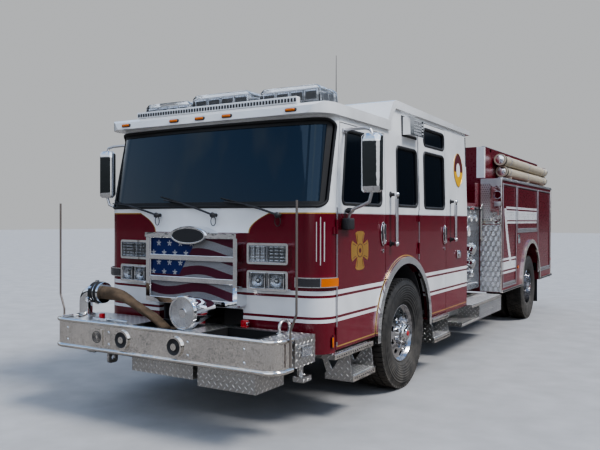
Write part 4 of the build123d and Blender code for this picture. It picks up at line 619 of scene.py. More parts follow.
@dataclass(frozen=True)
class Glass(Finish):
    """Tinted or clear glass."""

    clear: float = 0.9
    # A colour laid on the reflections; the blue of the tinted glass is a painted reflection of sky.
    sky_reflection_tint: Colour = (1.0, 1.0, 1.0)

    def dress(self, g: MaterialGraph) -> None:
        """A tint and a plain transmission, with a tint on the reflections; a blue one paints in a sky
        reflection.
        """
        g.give(Transmission_Weight=self.clear, IOR=1.5, Specular_Tint=(*self.sky_reflection_tint, 1.0))
        self.base(g, self.shade())


@dataclass(frozen=True)
class Glow(Finish):
    """Coloured lens with moulded ribs."""

    ribs: float = 90.0

    def dress(self, g: MaterialGraph) -> None:
        """Moulded ribs across the lens."""
        x, y, _ = g.split(g.place)
        self.base(g, self.shade())
        g.bump(((x + y) * (self.ribs * 2 * math.pi)).do("SINE"), 0.0015)


@dataclass(frozen=True)
class TyreRubber(Finish):
    """Tyre rubber: darker tread, rings and fine ribs on the side walls."""

    axle_y: float = AXLE_Y
    axle_z: float = FRONT_AXLE_Z

    def dress(self, g: MaterialGraph) -> None:
        """Rings by distance from the axle, with scuffs."""
        wall, ring_pitch, scuffed = 0.5, 260.0, (0.075, 0.072, 0.068, 1.0)
        _, y, z = g.split(g.place)
        far = g.vector("LENGTH", g.join(y - self.axle_y, z - self.axle_z, 0.0))
        scuff = g.remap(g.noise(g.place, 22.0, 6.0), 0.45, 0.75, 0.0, 0.5)
        self.base(g, g.mix(scuff, self.shade(), scuffed))
        g.bump((far * ring_pitch).do("SINE") * (far < wall), 0.0018)


@dataclass(frozen=True)
class FloorCoat(Finish):
    """A studio floor: pale to the camera; to all other rays a darker colour mottled like asphalt, a painted
    reflection that also darkens the bounce light as painted shade.
    """

    patch: Colour = (0.055, 0.052, 0.05)
    ground: Colour = (0.27, 0.248, 0.225)

    def dress(self, g: MaterialGraph) -> None:
        """The pale colour on camera rays only; the darker mottled colour on all other rays is painted
        reflection and painted shade.
        """
        # Painted reflection and painted shade: rays other than the camera's see dark mottled ground, so chrome
        # reflects it dark and undersides get less bounce light.
        spots = g.remap(g.noise(g.place, 3.2, 7.0), 0.44, 0.6, 0.0, 1.0)
        below = g.mix(spots, (*self.ground, 1.0), (*self.patch, 1.0))
        self.base(g, g.mix(g.read("ShaderNodeLightPath", "Is Camera Ray"), below, self.shade()))


@dataclass(frozen=True)
class Grained(Finish):
    """Moulded, cast or painted surface with a grain."""

    grain: float = 400.0
    depth: float = 0.0006

    def dress(self, g: MaterialGraph) -> None:
        """A grain in the bump."""
        self.base(g, self.shade())
        g.bump(g.noise(g.place, self.grain, 4.0), self.depth)


CAB_PAINT = Paint("cab_paint", MAROON[:3], 0.24, coat=0.35, wear=0.05, dust=0.1, livery=Livery.CAB)
BODY_PAINT = Paint("body_paint", MAROON[:3], 0.28, coat=0.25, wear=0.08, dust=0.14, livery=Livery.BODY)
WHITE_PAINT = Paint("white_paint", WHITE[:3], 0.22, coat=1.0, wear=0.05, livery=Livery.WHITE)
CHROME = Grained("chrome", (0.8, 0.81, 0.83), 0.05, 1.0, wear=0.05, grain=9.0, depth=0.0014)
POLISHED = Grained("polished_steel", (0.84, 0.81, 0.77), 0.07, 1.0, wear=0.1, dust=0.1, grain=4.0, depth=0.014)
ALLOY = Finish("polished_alloy", (0.7, 0.7, 0.72), 0.13, 1.0, wear=0.18, dust=0.22)
ROD = Grained("dark_rod", (0.24, 0.21, 0.19), 0.34, 0.6, wear=0.1)
SATIN = Grained("satin_aluminium", (0.58, 0.58, 0.6), 0.38, 1.0, wear=0.12, dust=0.2)
TREAD = TreadPlate("tread_plate", (0.92, 0.91, 0.9), 0.3, 1.0, wear=0.14, dust=0.1)
SWIRL = SwirlSteel("swirled_steel", (0.6, 0.6, 0.61), 0.24, 1.0, wear=0.12)
MESH_PLATE = Punched("punched_steel", (0.62, 0.62, 0.64), 0.3, 1.0, pitch=0.032)
FLAG_MESH = Punched("flag_mesh", (0.4, 0.4, 0.4), 0.42, 0.25, pitch=0.01, flag=True)
BLACK = Grained("black_paint", (0.014, 0.014, 0.016), 0.45, wear=0.12, dust=0.22)
RUBBER = Grained("black_rubber", (0.016, 0.016, 0.017), 0.62, wear=0.12)
DARK = Grained("dark_moulding", (0.03, 0.03, 0.033), 0.5, wear=0.1)
LINING = Grained("cab_lining", (0.085, 0.085, 0.092), 0.7, wear=0.1)
VINYL = Grained("seat_vinyl", (0.04, 0.04, 0.044), 0.48, wear=0.12, grain=900.0)
TANK = Grained("tank_plastic", (0.09, 0.09, 0.1), 0.55)
CAST = Grained("cast_block", (0.1, 0.1, 0.11), 0.6, 0.4, dust=0.3, grain=90.0, depth=0.002)
# The tinted glass's blue reflection tint is a painted reflection of sky.
TINTED = Glass("tinted_glass", (0.002, 0.006, 0.014), 0.02, wear=0.0, coat=0.3, clear=0.34,
               sky_reflection_tint=(0.5, 0.74, 1.0))
CLEAR = Glass("clear_lens", (0.92, 0.94, 0.96), 0.03, wear=0.0, clear=0.96)
AMBER = Glow("amber_lens", (0.8, 0.2, 0.015), 0.18, wear=0.03)
RED_LENS = Glow("red_lens", (0.45, 0.01, 0.012), 0.18, wear=0.03)
SMOKED = Glow("smoked_lens", (0.045, 0.045, 0.05), 0.14, wear=0.03, coat=0.6)
REFLECTOR = Glow("silver_reflector", (0.7, 0.71, 0.74), 0.14, 0.9, wear=0.05, ribs=60.0)
RED_PAINT = Finish("red_paint", (0.42, 0.012, 0.018), 0.3, coat=0.5)
GOLD_LEAF = Grained("gold_leaf", (0.66, 0.4, 0.12), 0.34, 0.75, grain=260.0, depth=0.0008)
YELLOW = Finish("yellow_enamel", (0.75, 0.42, 0.02), 0.35)
PATCH = Finish("maroon_enamel", (0.1, 0.008, 0.018), 0.35)
GAUGE_WHITE = Finish("gauge_white", (0.78, 0.78, 0.76), 0.4)
MAROON_LINE = Finish("maroon_line", (0.1, 0.006, 0.016), 0.35)
JACKET = HoseCloth("hose_jacket", (0.16, 0.112, 0.072), 0.85, wear=0.1)
TUBE_TAN = Grained("suction_tube", (0.5, 0.44, 0.34), 0.48, wear=0.12, grain=35.0, depth=0.003)
FRONT_RUBBER = TyreRubber("front_tyre_rubber", (0.018, 0.018, 0.019), 0.72, dust=0.35)
REAR_RUBBER = TyreRubber("rear_tyre_rubber", (0.018, 0.018, 0.019), 0.72, dust=0.35, axle_y=AXLE_Y + REAR_AXLE,
                         axle_z=REAR_AXLE_Z)


# Building meshes

class Shape:
    """A mesh being built from several closed forms, each with its finish."""

    def __init__(self, name: str) -> None:
        """Starts empty."""
        self.name = name
        self.bm = bmesh.new()
        self.dressed = self.bm.faces.layers.int.new("dressed")
        self.finishes: list[Finish] = []

    def tag(self, finish: Finish) -> Shape:
        """Gives the faces that have no finish yet this one."""
        if finish not in self.finishes:
            self.finishes.append(finish)
        index = self.finishes.index(finish)
        for face in self.bm.faces:
            if not face[self.dressed]:
                face[self.dressed] = 1
                face.material_index = index
        return self

    def box(self, low: Point, high: Point, finish: Finish, bevel: float = 0.0,
            turn: Matrix | None = None) -> Shape:
        """A box between two corners in frame coordinates.

        Args:
            low: One corner.
            high: The other.
            finish: Its finish.
            bevel: Radius of its rounded edges.
            turn: A rotation about the box's middle.

        Returns:
            This shape.
        """
        low, high = Vector(low), Vector(high)
        size = [abs(b - a) for a, b in zip(low, high)]
        spin = turn.to_4x4() if turn is not None else Matrix.Identity(4)
        matrix = Matrix.Translation((low + high) / 2) @ spin @ Matrix.Diagonal((*size, 1.0))
        made = bmesh.ops.create_cube(self.bm, size=1.0, matrix=matrix)
        if bevel:
            bmesh.ops.bevel(self.bm, geom=self.edges_of(made), offset=min(bevel, min(size) * 0.45), segments=3,
                            profile=0.5, affect="EDGES")
        return self.tag(finish)

    def edges_of(self, made: dict[str, list]) -> list[bmesh.types.BMEdge]:
        """The edges of a form that was just made."""
        return list({edge for vert in made["verts"] for edge in vert.link_edges})

    def rod(self, start: Point, end: Point, radius: float, finish: Finish, sides: int = 20,
            tip: float | None = None) -> Shape:
        """A round bar, or a cone if the tip's radius differs."""
        start, end = Vector(start), Vector(end)
        along = end - start
        matrix = Matrix.Translation((start + end) / 2) @ along.to_track_quat("Z", "Y").to_matrix().to_4x4()
        bmesh.ops.create_cone(self.bm, cap_ends=True, segments=sides, radius1=radius,
                              radius2=radius if tip is None else tip, depth=along.length, matrix=matrix)
        return self.tag(finish)

    def ball(self, middle_point: Point, size: Point, finish: Finish, sides: int = 20) -> Shape:
        """An ellipsoid given by its full sizes."""
        matrix = Matrix.Translation(Vector(middle_point)) @ Matrix.Diagonal((*[s / 2 for s in size], 1.0))
        bmesh.ops.create_uvsphere(self.bm, u_segments=sides, v_segments=sides // 2, radius=1.0, matrix=matrix)
        return self.tag(finish)

    def ring(self, points: Iterable[Point]) -> list[bmesh.types.BMVert]:
        """New corners of the mesh."""
        return [self.bm.verts.new(Vector(point)) for point in points]

    def skin(self, lower: list, upper: list) -> None:
        """Faces between two rings, either of which may be a single point."""
        count = max(len(lower), len(upper))
        for step in range(count):
            after = (step + 1) % count
            corners = []
            for vert in (lower[step % len(lower)], lower[after % len(lower)], upper[after % len(upper)],
                         upper[step % len(upper)]):
                if vert not in corners:
                    corners.append(vert)
            if len(corners) > 2:
                self.bm.faces.new(corners)

    def cover(self, rings: list, finish: Finish) -> Shape:
        """Faces over a row of rings, closed at both ends."""
        for lower, upper in zip(rings, rings[1:]):
            self.skin(lower, upper)
        for ring in (rings[0], rings[-1]):
            if len(ring) > 1:
                self.bm.faces.new(ring)
        return self.tag(finish)

    def loft(self, rings: Sequence[Sequence[Point]], finish: Finish) -> Shape:
        """A skin over a row of closed outlines with as many points each, closed at both ends."""
        return self.cover([self.ring(points) for points in rings], finish)

    def lathe(self, base: Point, axis: Point, profile: Sequence[tuple[float, float]], finish: Finish,
              sides: int = 40) -> Shape:
        """A turned form from (height, radius) pairs along an axis, closed at both ends."""
        turn = Vector(axis).to_track_quat("Z", "Y")
        rings = []
        for height, radius in profile:
            angles = turns(sides) if radius > 1e-5 else [0.0]
            rings.append([Vector(base) + turn @ Vector((radius * math.cos(a), radius * math.sin(a), height))
                          for a in angles])
        return self.loft(rings, finish)

    def tube(self, points: Sequence[Point], radius: float, finish: Finish, sides: int = 12,
             closed: bool = False) -> Shape:
        """A round tube along a line of points, its ends closed unless it is a loop."""
        line = [Vector(point) for point in points]
        count = len(line)
        rings = []
        side = None
        for index, point in enumerate(line):
            before = line[index - 1] if index or closed else point
            after = line[(index + 1) % count] if index < count - 1 or closed else point
            along = (after - before).normalized()
            side = along.orthogonal() if side is None else side - along * side.dot(along)
            side.normalize()
            other = along.cross(side)
            rings.append(self.ring(point + radius * (side * math.cos(a) + other * math.sin(a))
                                   for a in turns(sides)))
        if not closed:
            return self.cover(rings, finish)
        for lower, upper in zip(rings, rings[1:]):
            self.skin(lower, upper)
        offset = min(range(sides), key=lambda step: (rings[0][step].co - rings[-1][0].co).length)
        self.skin(rings[-1], rings[0][offset:] + rings[0][:offset])
        return self.tag(finish)

    def pillow(self, low: Point, high: Point, finish: Finish, face: int = 2, channels: Sequence[float] = (),
               lean: float = 0.0) -> Shape:
        """A crowned cushion with rounded edges, sides pulled in and sewn channels.

        Args:
            low: Its box's low corner in frame coordinates.
            high: Its box's high corner.
            finish: Its cover.
            face: The axis that its crowned side faces: 2 for a seat, 1 for a back.
            channels: Places of its sewn channels across it, from -1 to 1.
            lean: How far the top of a back lies behind its foot.

        Returns:
            This shape.
        """
        power, crown, seam_deep, seam_wide, pull = 7.0, 0.16, 0.14, 0.055, 0.035
        low, high = Vector(low), Vector(high)
        centre, half = (low + high) / 2, (high - low) / 2
        made = bmesh.ops.create_cube(self.bm, size=2.0)
        bmesh.ops.subdivide_edges(self.bm, edges=self.edges_of(made), cuts=27, use_grid_fill=True)
        side = 3 - face
        front = 1.0 if face == 2 else -1.0
        for vert in {vert for one in self.bm.faces if not one[self.dressed] for vert in one.verts}:
            spot = vert.co.copy()
            size = sum(abs(part) ** power for part in spot) ** (1 / power)
            spot *= max(abs(part) for part in spot) / size
            across, along, out = spot.x, spot[side], max(0.0, spot[face] * front)
            middle_share = (1 - across ** 2) * (1 - along ** 2)
            seam = sum(math.exp(-((across - place) / seam_wide) ** 2) for place in channels)
            rise = out * (crown * middle_share - seam_deep * seam * (1 - along ** 4)) - 0.1 * out
            spot[face] += front * rise
            spot.x *= 1 - pull * (1 - along ** 2)
            spot[side] *= 1 - pull * (1 - across ** 2)
            vert.co = centre + Vector([part * reach for part, reach in zip(spot, half)])
            vert.co.y += lean * (vert.co.z - low.z) / (high.z - low.z)
        return self.tag(finish)

    def slab(self, outline: Sequence[Point], push: Point, finish: Finish) -> Shape:
        """A flat outline in frame coordinates, pushed into a slab."""
        near, far = self.ring(outline), self.ring(Vector(point) + Vector(push) for point in outline)
        self.bm.faces.new(near)
        self.bm.faces.new(far)
        self.skin(near, far)
        return self.tag(finish)

    def both(self) -> Shape:
        """Adds the mirror image on the other side."""
        made = bmesh.ops.duplicate(self.bm, geom=self.bm.verts[:] + self.bm.edges[:] + self.bm.faces[:])["geom"]
        self.flip([item for item in made if isinstance(item, bmesh.types.BMVert)],
                  [item for item in made if isinstance(item, bmesh.types.BMFace)])
        return self

    def flip(self, verts: list, faces: list) -> None:
        """Turns some of the mesh into its mirror image."""
        bmesh.ops.scale(self.bm, vec=(-1, 1, 1), verts=verts)
        bmesh.ops.reverse_faces(self.bm, faces=faces)

    def mirrored(self, name: str) -> Shape:
        """A new shape that is this one's mirror image."""
        other = Shape(name)
        other.finishes = list(self.finishes)
        other.bm = self.bm.copy()
        other.dressed = other.bm.faces.layers.int["dressed"]
        other.flip(other.bm.verts[:], other.bm.faces[:])
        return other

    def add(self, other: bpy.types.Mesh, finish: Finish) -> Shape:
        """Takes in a plain mesh, such as one that Geometry Nodes made."""
        self.bm.from_mesh(other)
        bpy.data.meshes.remove(other)
        return self.tag(finish)

    def repeat(self, layout: Layout, stamp: Stamp, size: Point, finish: Finish, **placing: object) -> Shape:
        """Adds the copies that `Repeats.make` lays out."""
        return self.add(REPEATS.make(layout, stamp, size, finish, **placing), finish)

    def mesh(self) -> bpy.types.Mesh:
        """The shape as a plain mesh with its faces outward."""
        self.bm.faces.layers.int.remove(self.dressed)
        bmesh.ops.recalc_face_normals(self.bm, faces=self.bm.faces[:])
        made = bpy.data.meshes.new(self.name)
        self.bm.to_mesh(made)
        self.bm.free()
        return made

    def done(self, body: str, slot: str, replaces: Sequence[str] = (),
             smooth: float = 35.0) -> bpy.types.Object:
        """Makes the object and hands it to the frame.

        Args:
            body: The CAD body that it rides on.
            slot: Not used.
            replaces: CAD nodes that it stands for.
            smooth: Faces that meet at less than this angle are shaded smooth.

        Returns:
            The finished object.
        """
        mesh = self.mesh()
        for finish in self.finishes:
            mesh.materials.append(finish.material())
        mesh.shade_smooth()
        mesh.set_sharp_from_angle(angle=math.radians(smooth))
        piece = placed(self.name, mesh)
        if replaces:
            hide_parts(*replaces)
        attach(piece, body)
        log.info("%s: %d faces on %s", self.name, len(mesh.polygons), body)
        return piece

    def pair(self, body: str, slot: str, replaces: Sequence[str] = ()) -> None:
        """Hands over this left hand piece and its mirror image, each on the body of its own side."""
        other = self.mirrored(self.name.replace("left", "right"))
        self.done(body, slot, replaces)
        other.done(body.replace("left", "right"), slot, [name.replace("left", "right") for name in replaces])


# Repeats by Geometry Nodes

class Layout(Enum):
    """How copies are laid out."""

    GRID = "grid"
    RING = "ring"
    RIM = "rim"
    SPOTS = "spots"


class Stamp(Enum):
    """The small form that is copied, one metre across before it is sized: its node and that node's sizes."""

    BLOCK = ("GeometryNodeMeshCube", {})
    DOME = ("GeometryNodeMeshUVSphere", {"Segments": 10, "Rings": 6, "Radius": 0.5})
    DRUM = ("GeometryNodeMeshCylinder", {"Vertices": 16, "Radius": 0.5, "Depth": 1.0})


class Repeats:
    """Geometry Nodes trees that copy a small form, each built once and then fed its sizes."""

    INPUTS = (
        ("Size", "NodeSocketVector"), ("Turn", "NodeSocketVector"), ("Start", "NodeSocketVector"),
        ("Step", "NodeSocketVector"), ("Row Step", "NodeSocketVector"), ("Count", "NodeSocketInt"),
        ("Rows", "NodeSocketInt"), ("Radius", "NodeSocketFloat"), ("Material", "NodeSocketMaterial"))

    def __init__(self) -> None:
        """Starts with no tree built."""
        self.trees: dict[tuple[Layout, Stamp], bpy.types.NodeTree] = {}

    def tree(self, layout: Layout, stamp: Stamp) -> bpy.types.NodeTree:
        """The Geometry Nodes tree for a layout and a stamp."""
        if (layout, stamp) in self.trees:
            return self.trees[layout, stamp]
        tree = bpy.data.node_groups.new(f"{layout.value}_of_{stamp.name.lower()}s", "GeometryNodeTree")
        for label, kind in (("Geometry", "NodeSocketGeometry"), *self.INPUTS):
            tree.interface.new_socket(name=label, in_out="INPUT", socket_type=kind)
        tree.interface.new_socket(name="Geometry", in_out="OUTPUT", socket_type="NodeSocketGeometry")
        g = Graph(tree)
        given = g.node("NodeGroupInput").outputs
        points, turn = self.points(g, given, layout)
        kind, sizes = stamp.value
        form = g.node("GeometryNodeTransform",
                      {"Geometry": g.node(kind, sizes).outputs["Mesh"], "Scale": given["Size"]})
        copies = self.instances(g, points, form.outputs["Geometry"], turn)
        coat = g.node("GeometryNodeSetMaterial", {"Geometry": copies, "Material": given["Material"]})
        g.node("NodeGroupOutput", {"Geometry": coat.outputs["Geometry"]})
        self.trees[layout, stamp] = tree
        return tree

    def instances(self, g: Graph, points: object, form: object, turn: object = None) -> bpy.types.NodeSocket:
        """Real copies of a form on points."""
        feeds = {"Points": points, "Instance": form} | ({} if turn is None else {"Rotation": turn})
        copies = g.node("GeometryNodeInstanceOnPoints", feeds).outputs["Instances"]
        return g.node("GeometryNodeRealizeInstances", {"Geometry": copies}).outputs["Geometry"]

    def points(self, g: Graph, given: object, layout: Layout) -> tuple:
        """The points to copy on and the turn of each copy."""
        if layout is Layout.GRID:
            row = g.node("GeometryNodeMeshLine", {"Count": given["Count"], "Offset": given["Step"]},
                         mode="OFFSET")
            rows = g.node("GeometryNodeMeshLine",
                          {"Count": given["Rows"], "Offset": given["Row Step"],
                           "Start Location": given["Start"]}, mode="OFFSET")
            return self.instances(g, rows.outputs["Mesh"], row.outputs["Mesh"]), given["Turn"]
        if layout is Layout.SPOTS:
            facing = g.node("GeometryNodeInputNamedAttribute", {"Name": "facing"}, data_type="FLOAT_VECTOR")
            align = g.node("FunctionNodeAlignRotationToVector", {"Vector": facing.outputs["Attribute"]},
                           axis="Z")
            return given["Geometry"], align.outputs["Rotation"]
        circle = g.node("GeometryNodeMeshCircle", {"Vertices": given["Count"], "Radius": given["Radius"]})
        move = g.node("GeometryNodeTransform",
                      {"Geometry": circle.outputs["Mesh"], "Translation": given["Start"],
                       "Rotation": (0.0, math.pi / 2, 0.0)})
        if layout is Layout.RING:
            return move.outputs["Geometry"], given["Turn"]
        away = g.vector("SUBTRACT", g.read("GeometryNodeInputPosition", "Position"), given["Start"])
        align = g.node("FunctionNodeAlignRotationToVector", {"Vector": away}, axis="Z", pivot_axis="X")
        return move.outputs["Geometry"], align.outputs["Rotation"]

    def make(self, layout: Layout, stamp: Stamp, size: Point, finish: Finish, *, start: Point = (0, 0, 0),
             step: Point = (0, 0, 0), count: int = 1, row_step: Point = (0, 0, 0), rows: int = 1,
             radius: float = 0.0, turn: Point = (0, 0, 0), spots: Sequence[Point] = ((0, 0, 0),),
             facing: Sequence[Point] = ()) -> bpy.types.Mesh:
        """Runs a tree and returns its copies as a plain mesh.

        Args:
            layout: How the copies are laid out.
            stamp: The form that is copied.
            size: The form's size along its own axes.
            finish: Its finish.
            start: First copy of a grid, or the middle of a ring, in frame coordinates.
            step: Offset from one copy to the next in a row.
            count: Copies in a row or round a ring.
            row_step: Offset from one row to the next.
            rows: Number of rows.
            radius: A ring's radius.
            turn: Turn of each copy about X, Y and Z, in radians.
            spots: Places of single copies, in frame coordinates.
            facing: The direction that each single copy faces.

        Returns:
            The mesh of all the copies.
        """
        mesh = bpy.data.meshes.new("spots")
        mesh.from_pydata([tuple(spot) for spot in spots], [], [])
        if facing:
            attribute = mesh.attributes.new("facing", "FLOAT_VECTOR", "POINT")
            attribute.data.foreach_set("vector", [part for direction in facing for part in direction])
        holder = placed("repeat", mesh)
        modifier = holder.modifiers.new("repeat", "NODES")
        modifier.node_group = self.tree(layout, stamp)
        values = {"Size": size, "Turn": turn, "Start": start, "Step": step, "Row Step": row_step,
                  "Count": count, "Rows": rows, "Radius": radius, "Material": finish.material()}
        for item in modifier.node_group.interface.items_tree:
            if item.in_out == "INPUT" and item.name in values:
                value = values[item.name]
                modifier[item.identifier] = tuple(value) if isinstance(value, (tuple, list, Vector)) else value
        result = evaluated_mesh(holder)
        bpy.data.objects.remove(holder)
        bpy.data.meshes.remove(mesh)
        return result


REPEATS = Repeats()


# Sub-assemblies

@dataclass
class Stage:
    """The pale floor, the soft light and the camera at the photograph's viewing angle."""

    camera_place: tuple[float, float, float] = (3.7728, -6.3557, 1.6952)
    yaw: float = 0.5379
    pitch: float = -0.0075
    roll: float = 0.0029
    lens: float = 40.19
    reach: float = 90.0

    def camera(self) -> None:
        """A camera without shift or depth of field."""
        data = bpy.data.cameras.new("camera")
        data.lens = self.lens
        data.sensor_width = 36.0
        data.clip_end = 300.0
        camera = placed("camera", data)
        turn = Matrix.Rotation(self.yaw, 4, "Z") @ Matrix.Rotation(math.pi / 2 + self.pitch, 4, "X")
        turn = turn @ Matrix.Rotation(self.roll, 4, "Z")
        camera.matrix_world = Matrix.Translation(at(*self.camera_place)) @ turn
        bpy.context.scene.camera = camera
        bpy.context.scene.view_settings.look = "AgX - Medium High Contrast"

    def floor(self) -> None:
        """A wide pale floor that isn't part of the object."""
        mesh = bpy.data.meshes.new("floor")
        corners = ((-1, -1), (1, -1), (1, 1), (-1, 1))
        mesh.from_pydata([(self.reach * x, self.reach * y, 0) for x, y in corners], [], [(0, 1, 2, 3)])
        mesh.materials.append(FloorCoat("pale_floor", (0.4, 0.4, 0.405), 0.85, wear=0.04).material())
        floor = placed("floor", mesh)

    def light(self, name: str, toward: Point, spread: float, power: float, colour: Colour) -> None:
        """One broad soft light from a direction, its spread in degrees."""
        data = bpy.data.lights.new(name, "SUN")
        data.angle = math.radians(spread)
        data.energy = power
        data.color = colour
        placed(name, data).rotation_euler = Vector(toward).to_track_quat("Z", "Y").to_euler()

    def world(self) -> None:
        """A sky with a dark skyline and soft clouds in reflections, and a plain backdrop to the camera."""
        stops = ((0.0, (0.1, 0.1, 0.105)), (0.49, (0.12, 0.12, 0.125)), (0.505, (0.03, 0.034, 0.036)),
                 (0.57, (0.045, 0.052, 0.058)), (0.6, (0.8, 0.85, 0.92)), (0.68, (0.48, 0.66, 0.94)),
                 (0.8, (0.24, 0.42, 0.76)), (1.0, (0.5, 0.6, 0.76)))
        cloud, backdrop, cloud_low = (0.95, 0.96, 0.98, 1.0), (0.5, 0.51, 0.52, 1.0), 0.18
        world = bpy.data.worlds.new("studio")
        world.use_nodes = True
        bpy.context.scene.world = world
        g = Graph(world.node_tree)
        toward = g.read("ShaderNodeTexCoord", "Generated")
        z = g.split(toward)[2]
        ramp = g.node("ShaderNodeValToRGB", {"Fac": g.remap(z, -1.0, 1.0, 0.0, 1.0)})
        elements = ramp.color_ramp.elements
        while len(elements) < len(stops):
            elements.new(0.5)
        for element, (spot, colour) in zip(elements, stops):
            element.position = spot
            element.color = (*colour, 1.0)
        haze = g.remap(g.noise(toward, 3.4, 4.0), 0.5, 0.6, 0.0, 0.9) * (z > cloud_low)
        sky = g.mix(haze, ramp.outputs["Color"], cloud)
        inputs = world.node_tree.nodes["Background"].inputs
        g.feed(inputs["Color"], g.mix(g.read("ShaderNodeLightPath", "Is Camera Ray"), sky, backdrop))
        g.feed(inputs["Strength"], 0.95)

    def build(self) -> None:
        """Camera first, then the floor and the light."""
        self.camera()
        self.floor()
        self.world()
        self.light("key", (0.75, 0.1, 0.95), 18.0, 2.7, (1.0, 0.97, 0.93))
        self.light("front_fill", (0.25, -1.0, 0.55), 60.0, 0.55, (0.95, 0.97, 1.0))


@dataclass
class FrameFinishes:
    """The finish of every CAD node that stays in view."""

    plan: tuple[tuple[Finish, tuple[str, ...]], ...] = (
        (BLACK, ("frame_rails", "front_axle", "rear_axle", "drive_shaft", "tie_rod", "knuckle_left",
                 "knuckle_right")),
        (CAST, ("engine",)),
        (ROD, ("guide_rods",)),
        (POLISHED, ("bumper", "body_trim")),
        (CHROME, ("siren", "inlet_elbow", "grille", "lamps", "deck_gun_base", "deck_gun_barrel",
                  "mirror_left", "mirror_right", "cab_trim")),
        (TREAD, ("bumper_deck", "steps", "tail")),
        (CAB_PAINT, ("cab_front", "cab_walls", "door_front_left", "door_front_right", "door_rear_left",
                     "door_rear_right")),
        (WHITE_PAINT, ("cab_roof",)),
        (TINTED, ("cab_glass", "glass_front_left", "glass_front_right", "glass_rear_left", "glass_rear_right")),
        (LINING, ("cab_floor",)),
        (VINYL, ("cab_interior",)),
        (SWIRL, ("pump_panels",)),
        (BODY_PAINT, ("pump_house", "body_lockers", "hose_bed", "shutters")),
        (TANK, ("water_tank",)),
        (TUBE_TAN, ("suction_tubes",)),
        (ALLOY, ("front_rim_left", "front_rim_right", "rear_rims_left", "rear_rims_right")),
        (FRONT_RUBBER, ("front_tyre_left", "front_tyre_right")),
        (REAR_RUBBER, ("rear_tyres_left", "rear_tyres_right")),
        (JACKET, ("hose_load",)),
    )

    def build(self) -> None:
        """Gives each node its material in all of its slots."""
        for finish, names in self.plan:
            for name in names:
                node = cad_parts[name]
                if not node.material_slots:
                    node.data.materials.append(finish.material())
                for entry in node.material_slots:
                    entry.material = finish.material()
            log.info("%s on %s", finish.name, ", ".join(names))


@dataclass
class Grille:
    """Mesh panels, bright beads and the oval's bare field on the grille."""

    half: float = 0.505
    low: float = 0.965
    high: float = 1.582
    front: float = -1.889
    border: float = 0.042
    bars: tuple[float, ...] = (1.175, 1.365)
    bar: float = 0.034
    plate: tuple[float, float, float] = (0.177, 0.061, 1.558)

    def panels(self) -> None:
        """The three perforated panels in the grille's pockets."""
        edges = [self.low + self.border]
        for z in self.bars:
            edges += [z - self.bar / 2, z + self.bar / 2]
        edges.append(self.high - self.border)
        mesh = Shape("grille_mesh")
        frames = Shape("grille_mouldings")
        reach = self.half - self.border
        for z0, z1 in zip(edges[0::2], edges[1::2]):
            mesh.box(at(-reach, self.front + 0.026, z0), at(reach, self.front + 0.038, z1), FLAG_MESH)
            for x in (-reach, reach):
                frames.rod(at(x, self.front + 0.014, z0), at(x, self.front + 0.014, z1), 0.009, CHROME, 12)
            for z in (z0, z1):
                frames.rod(at(-reach, self.front + 0.014, z), at(reach, self.front + 0.014, z), 0.009, CHROME,
                           12)
        mesh.done(ROOT, "chrome")
        frames.done(ROOT, "chrome")

    def field(self) -> None:
        """The dark bare field sunk in the oval plate."""
        wide, tall, middle_z = self.plate
        loop = [(wide * math.cos(a), tall * math.sin(a)) for a in turns(48)]
        oval = Shape("grille_oval")
        oval.slab([at(x, self.front - 0.0272, middle_z + z) for x, z in loop], (0, 0.002, 0), DARK)
        oval.tube([at(x, self.front - 0.0272, middle_z + z) for x, z in loop], 0.002, CHROME, 8, True)
        oval.done(ROOT, "chrome")

    def build(self) -> None:
        """Panels, beads and the oval's field."""
        self.panels()
        self.field()


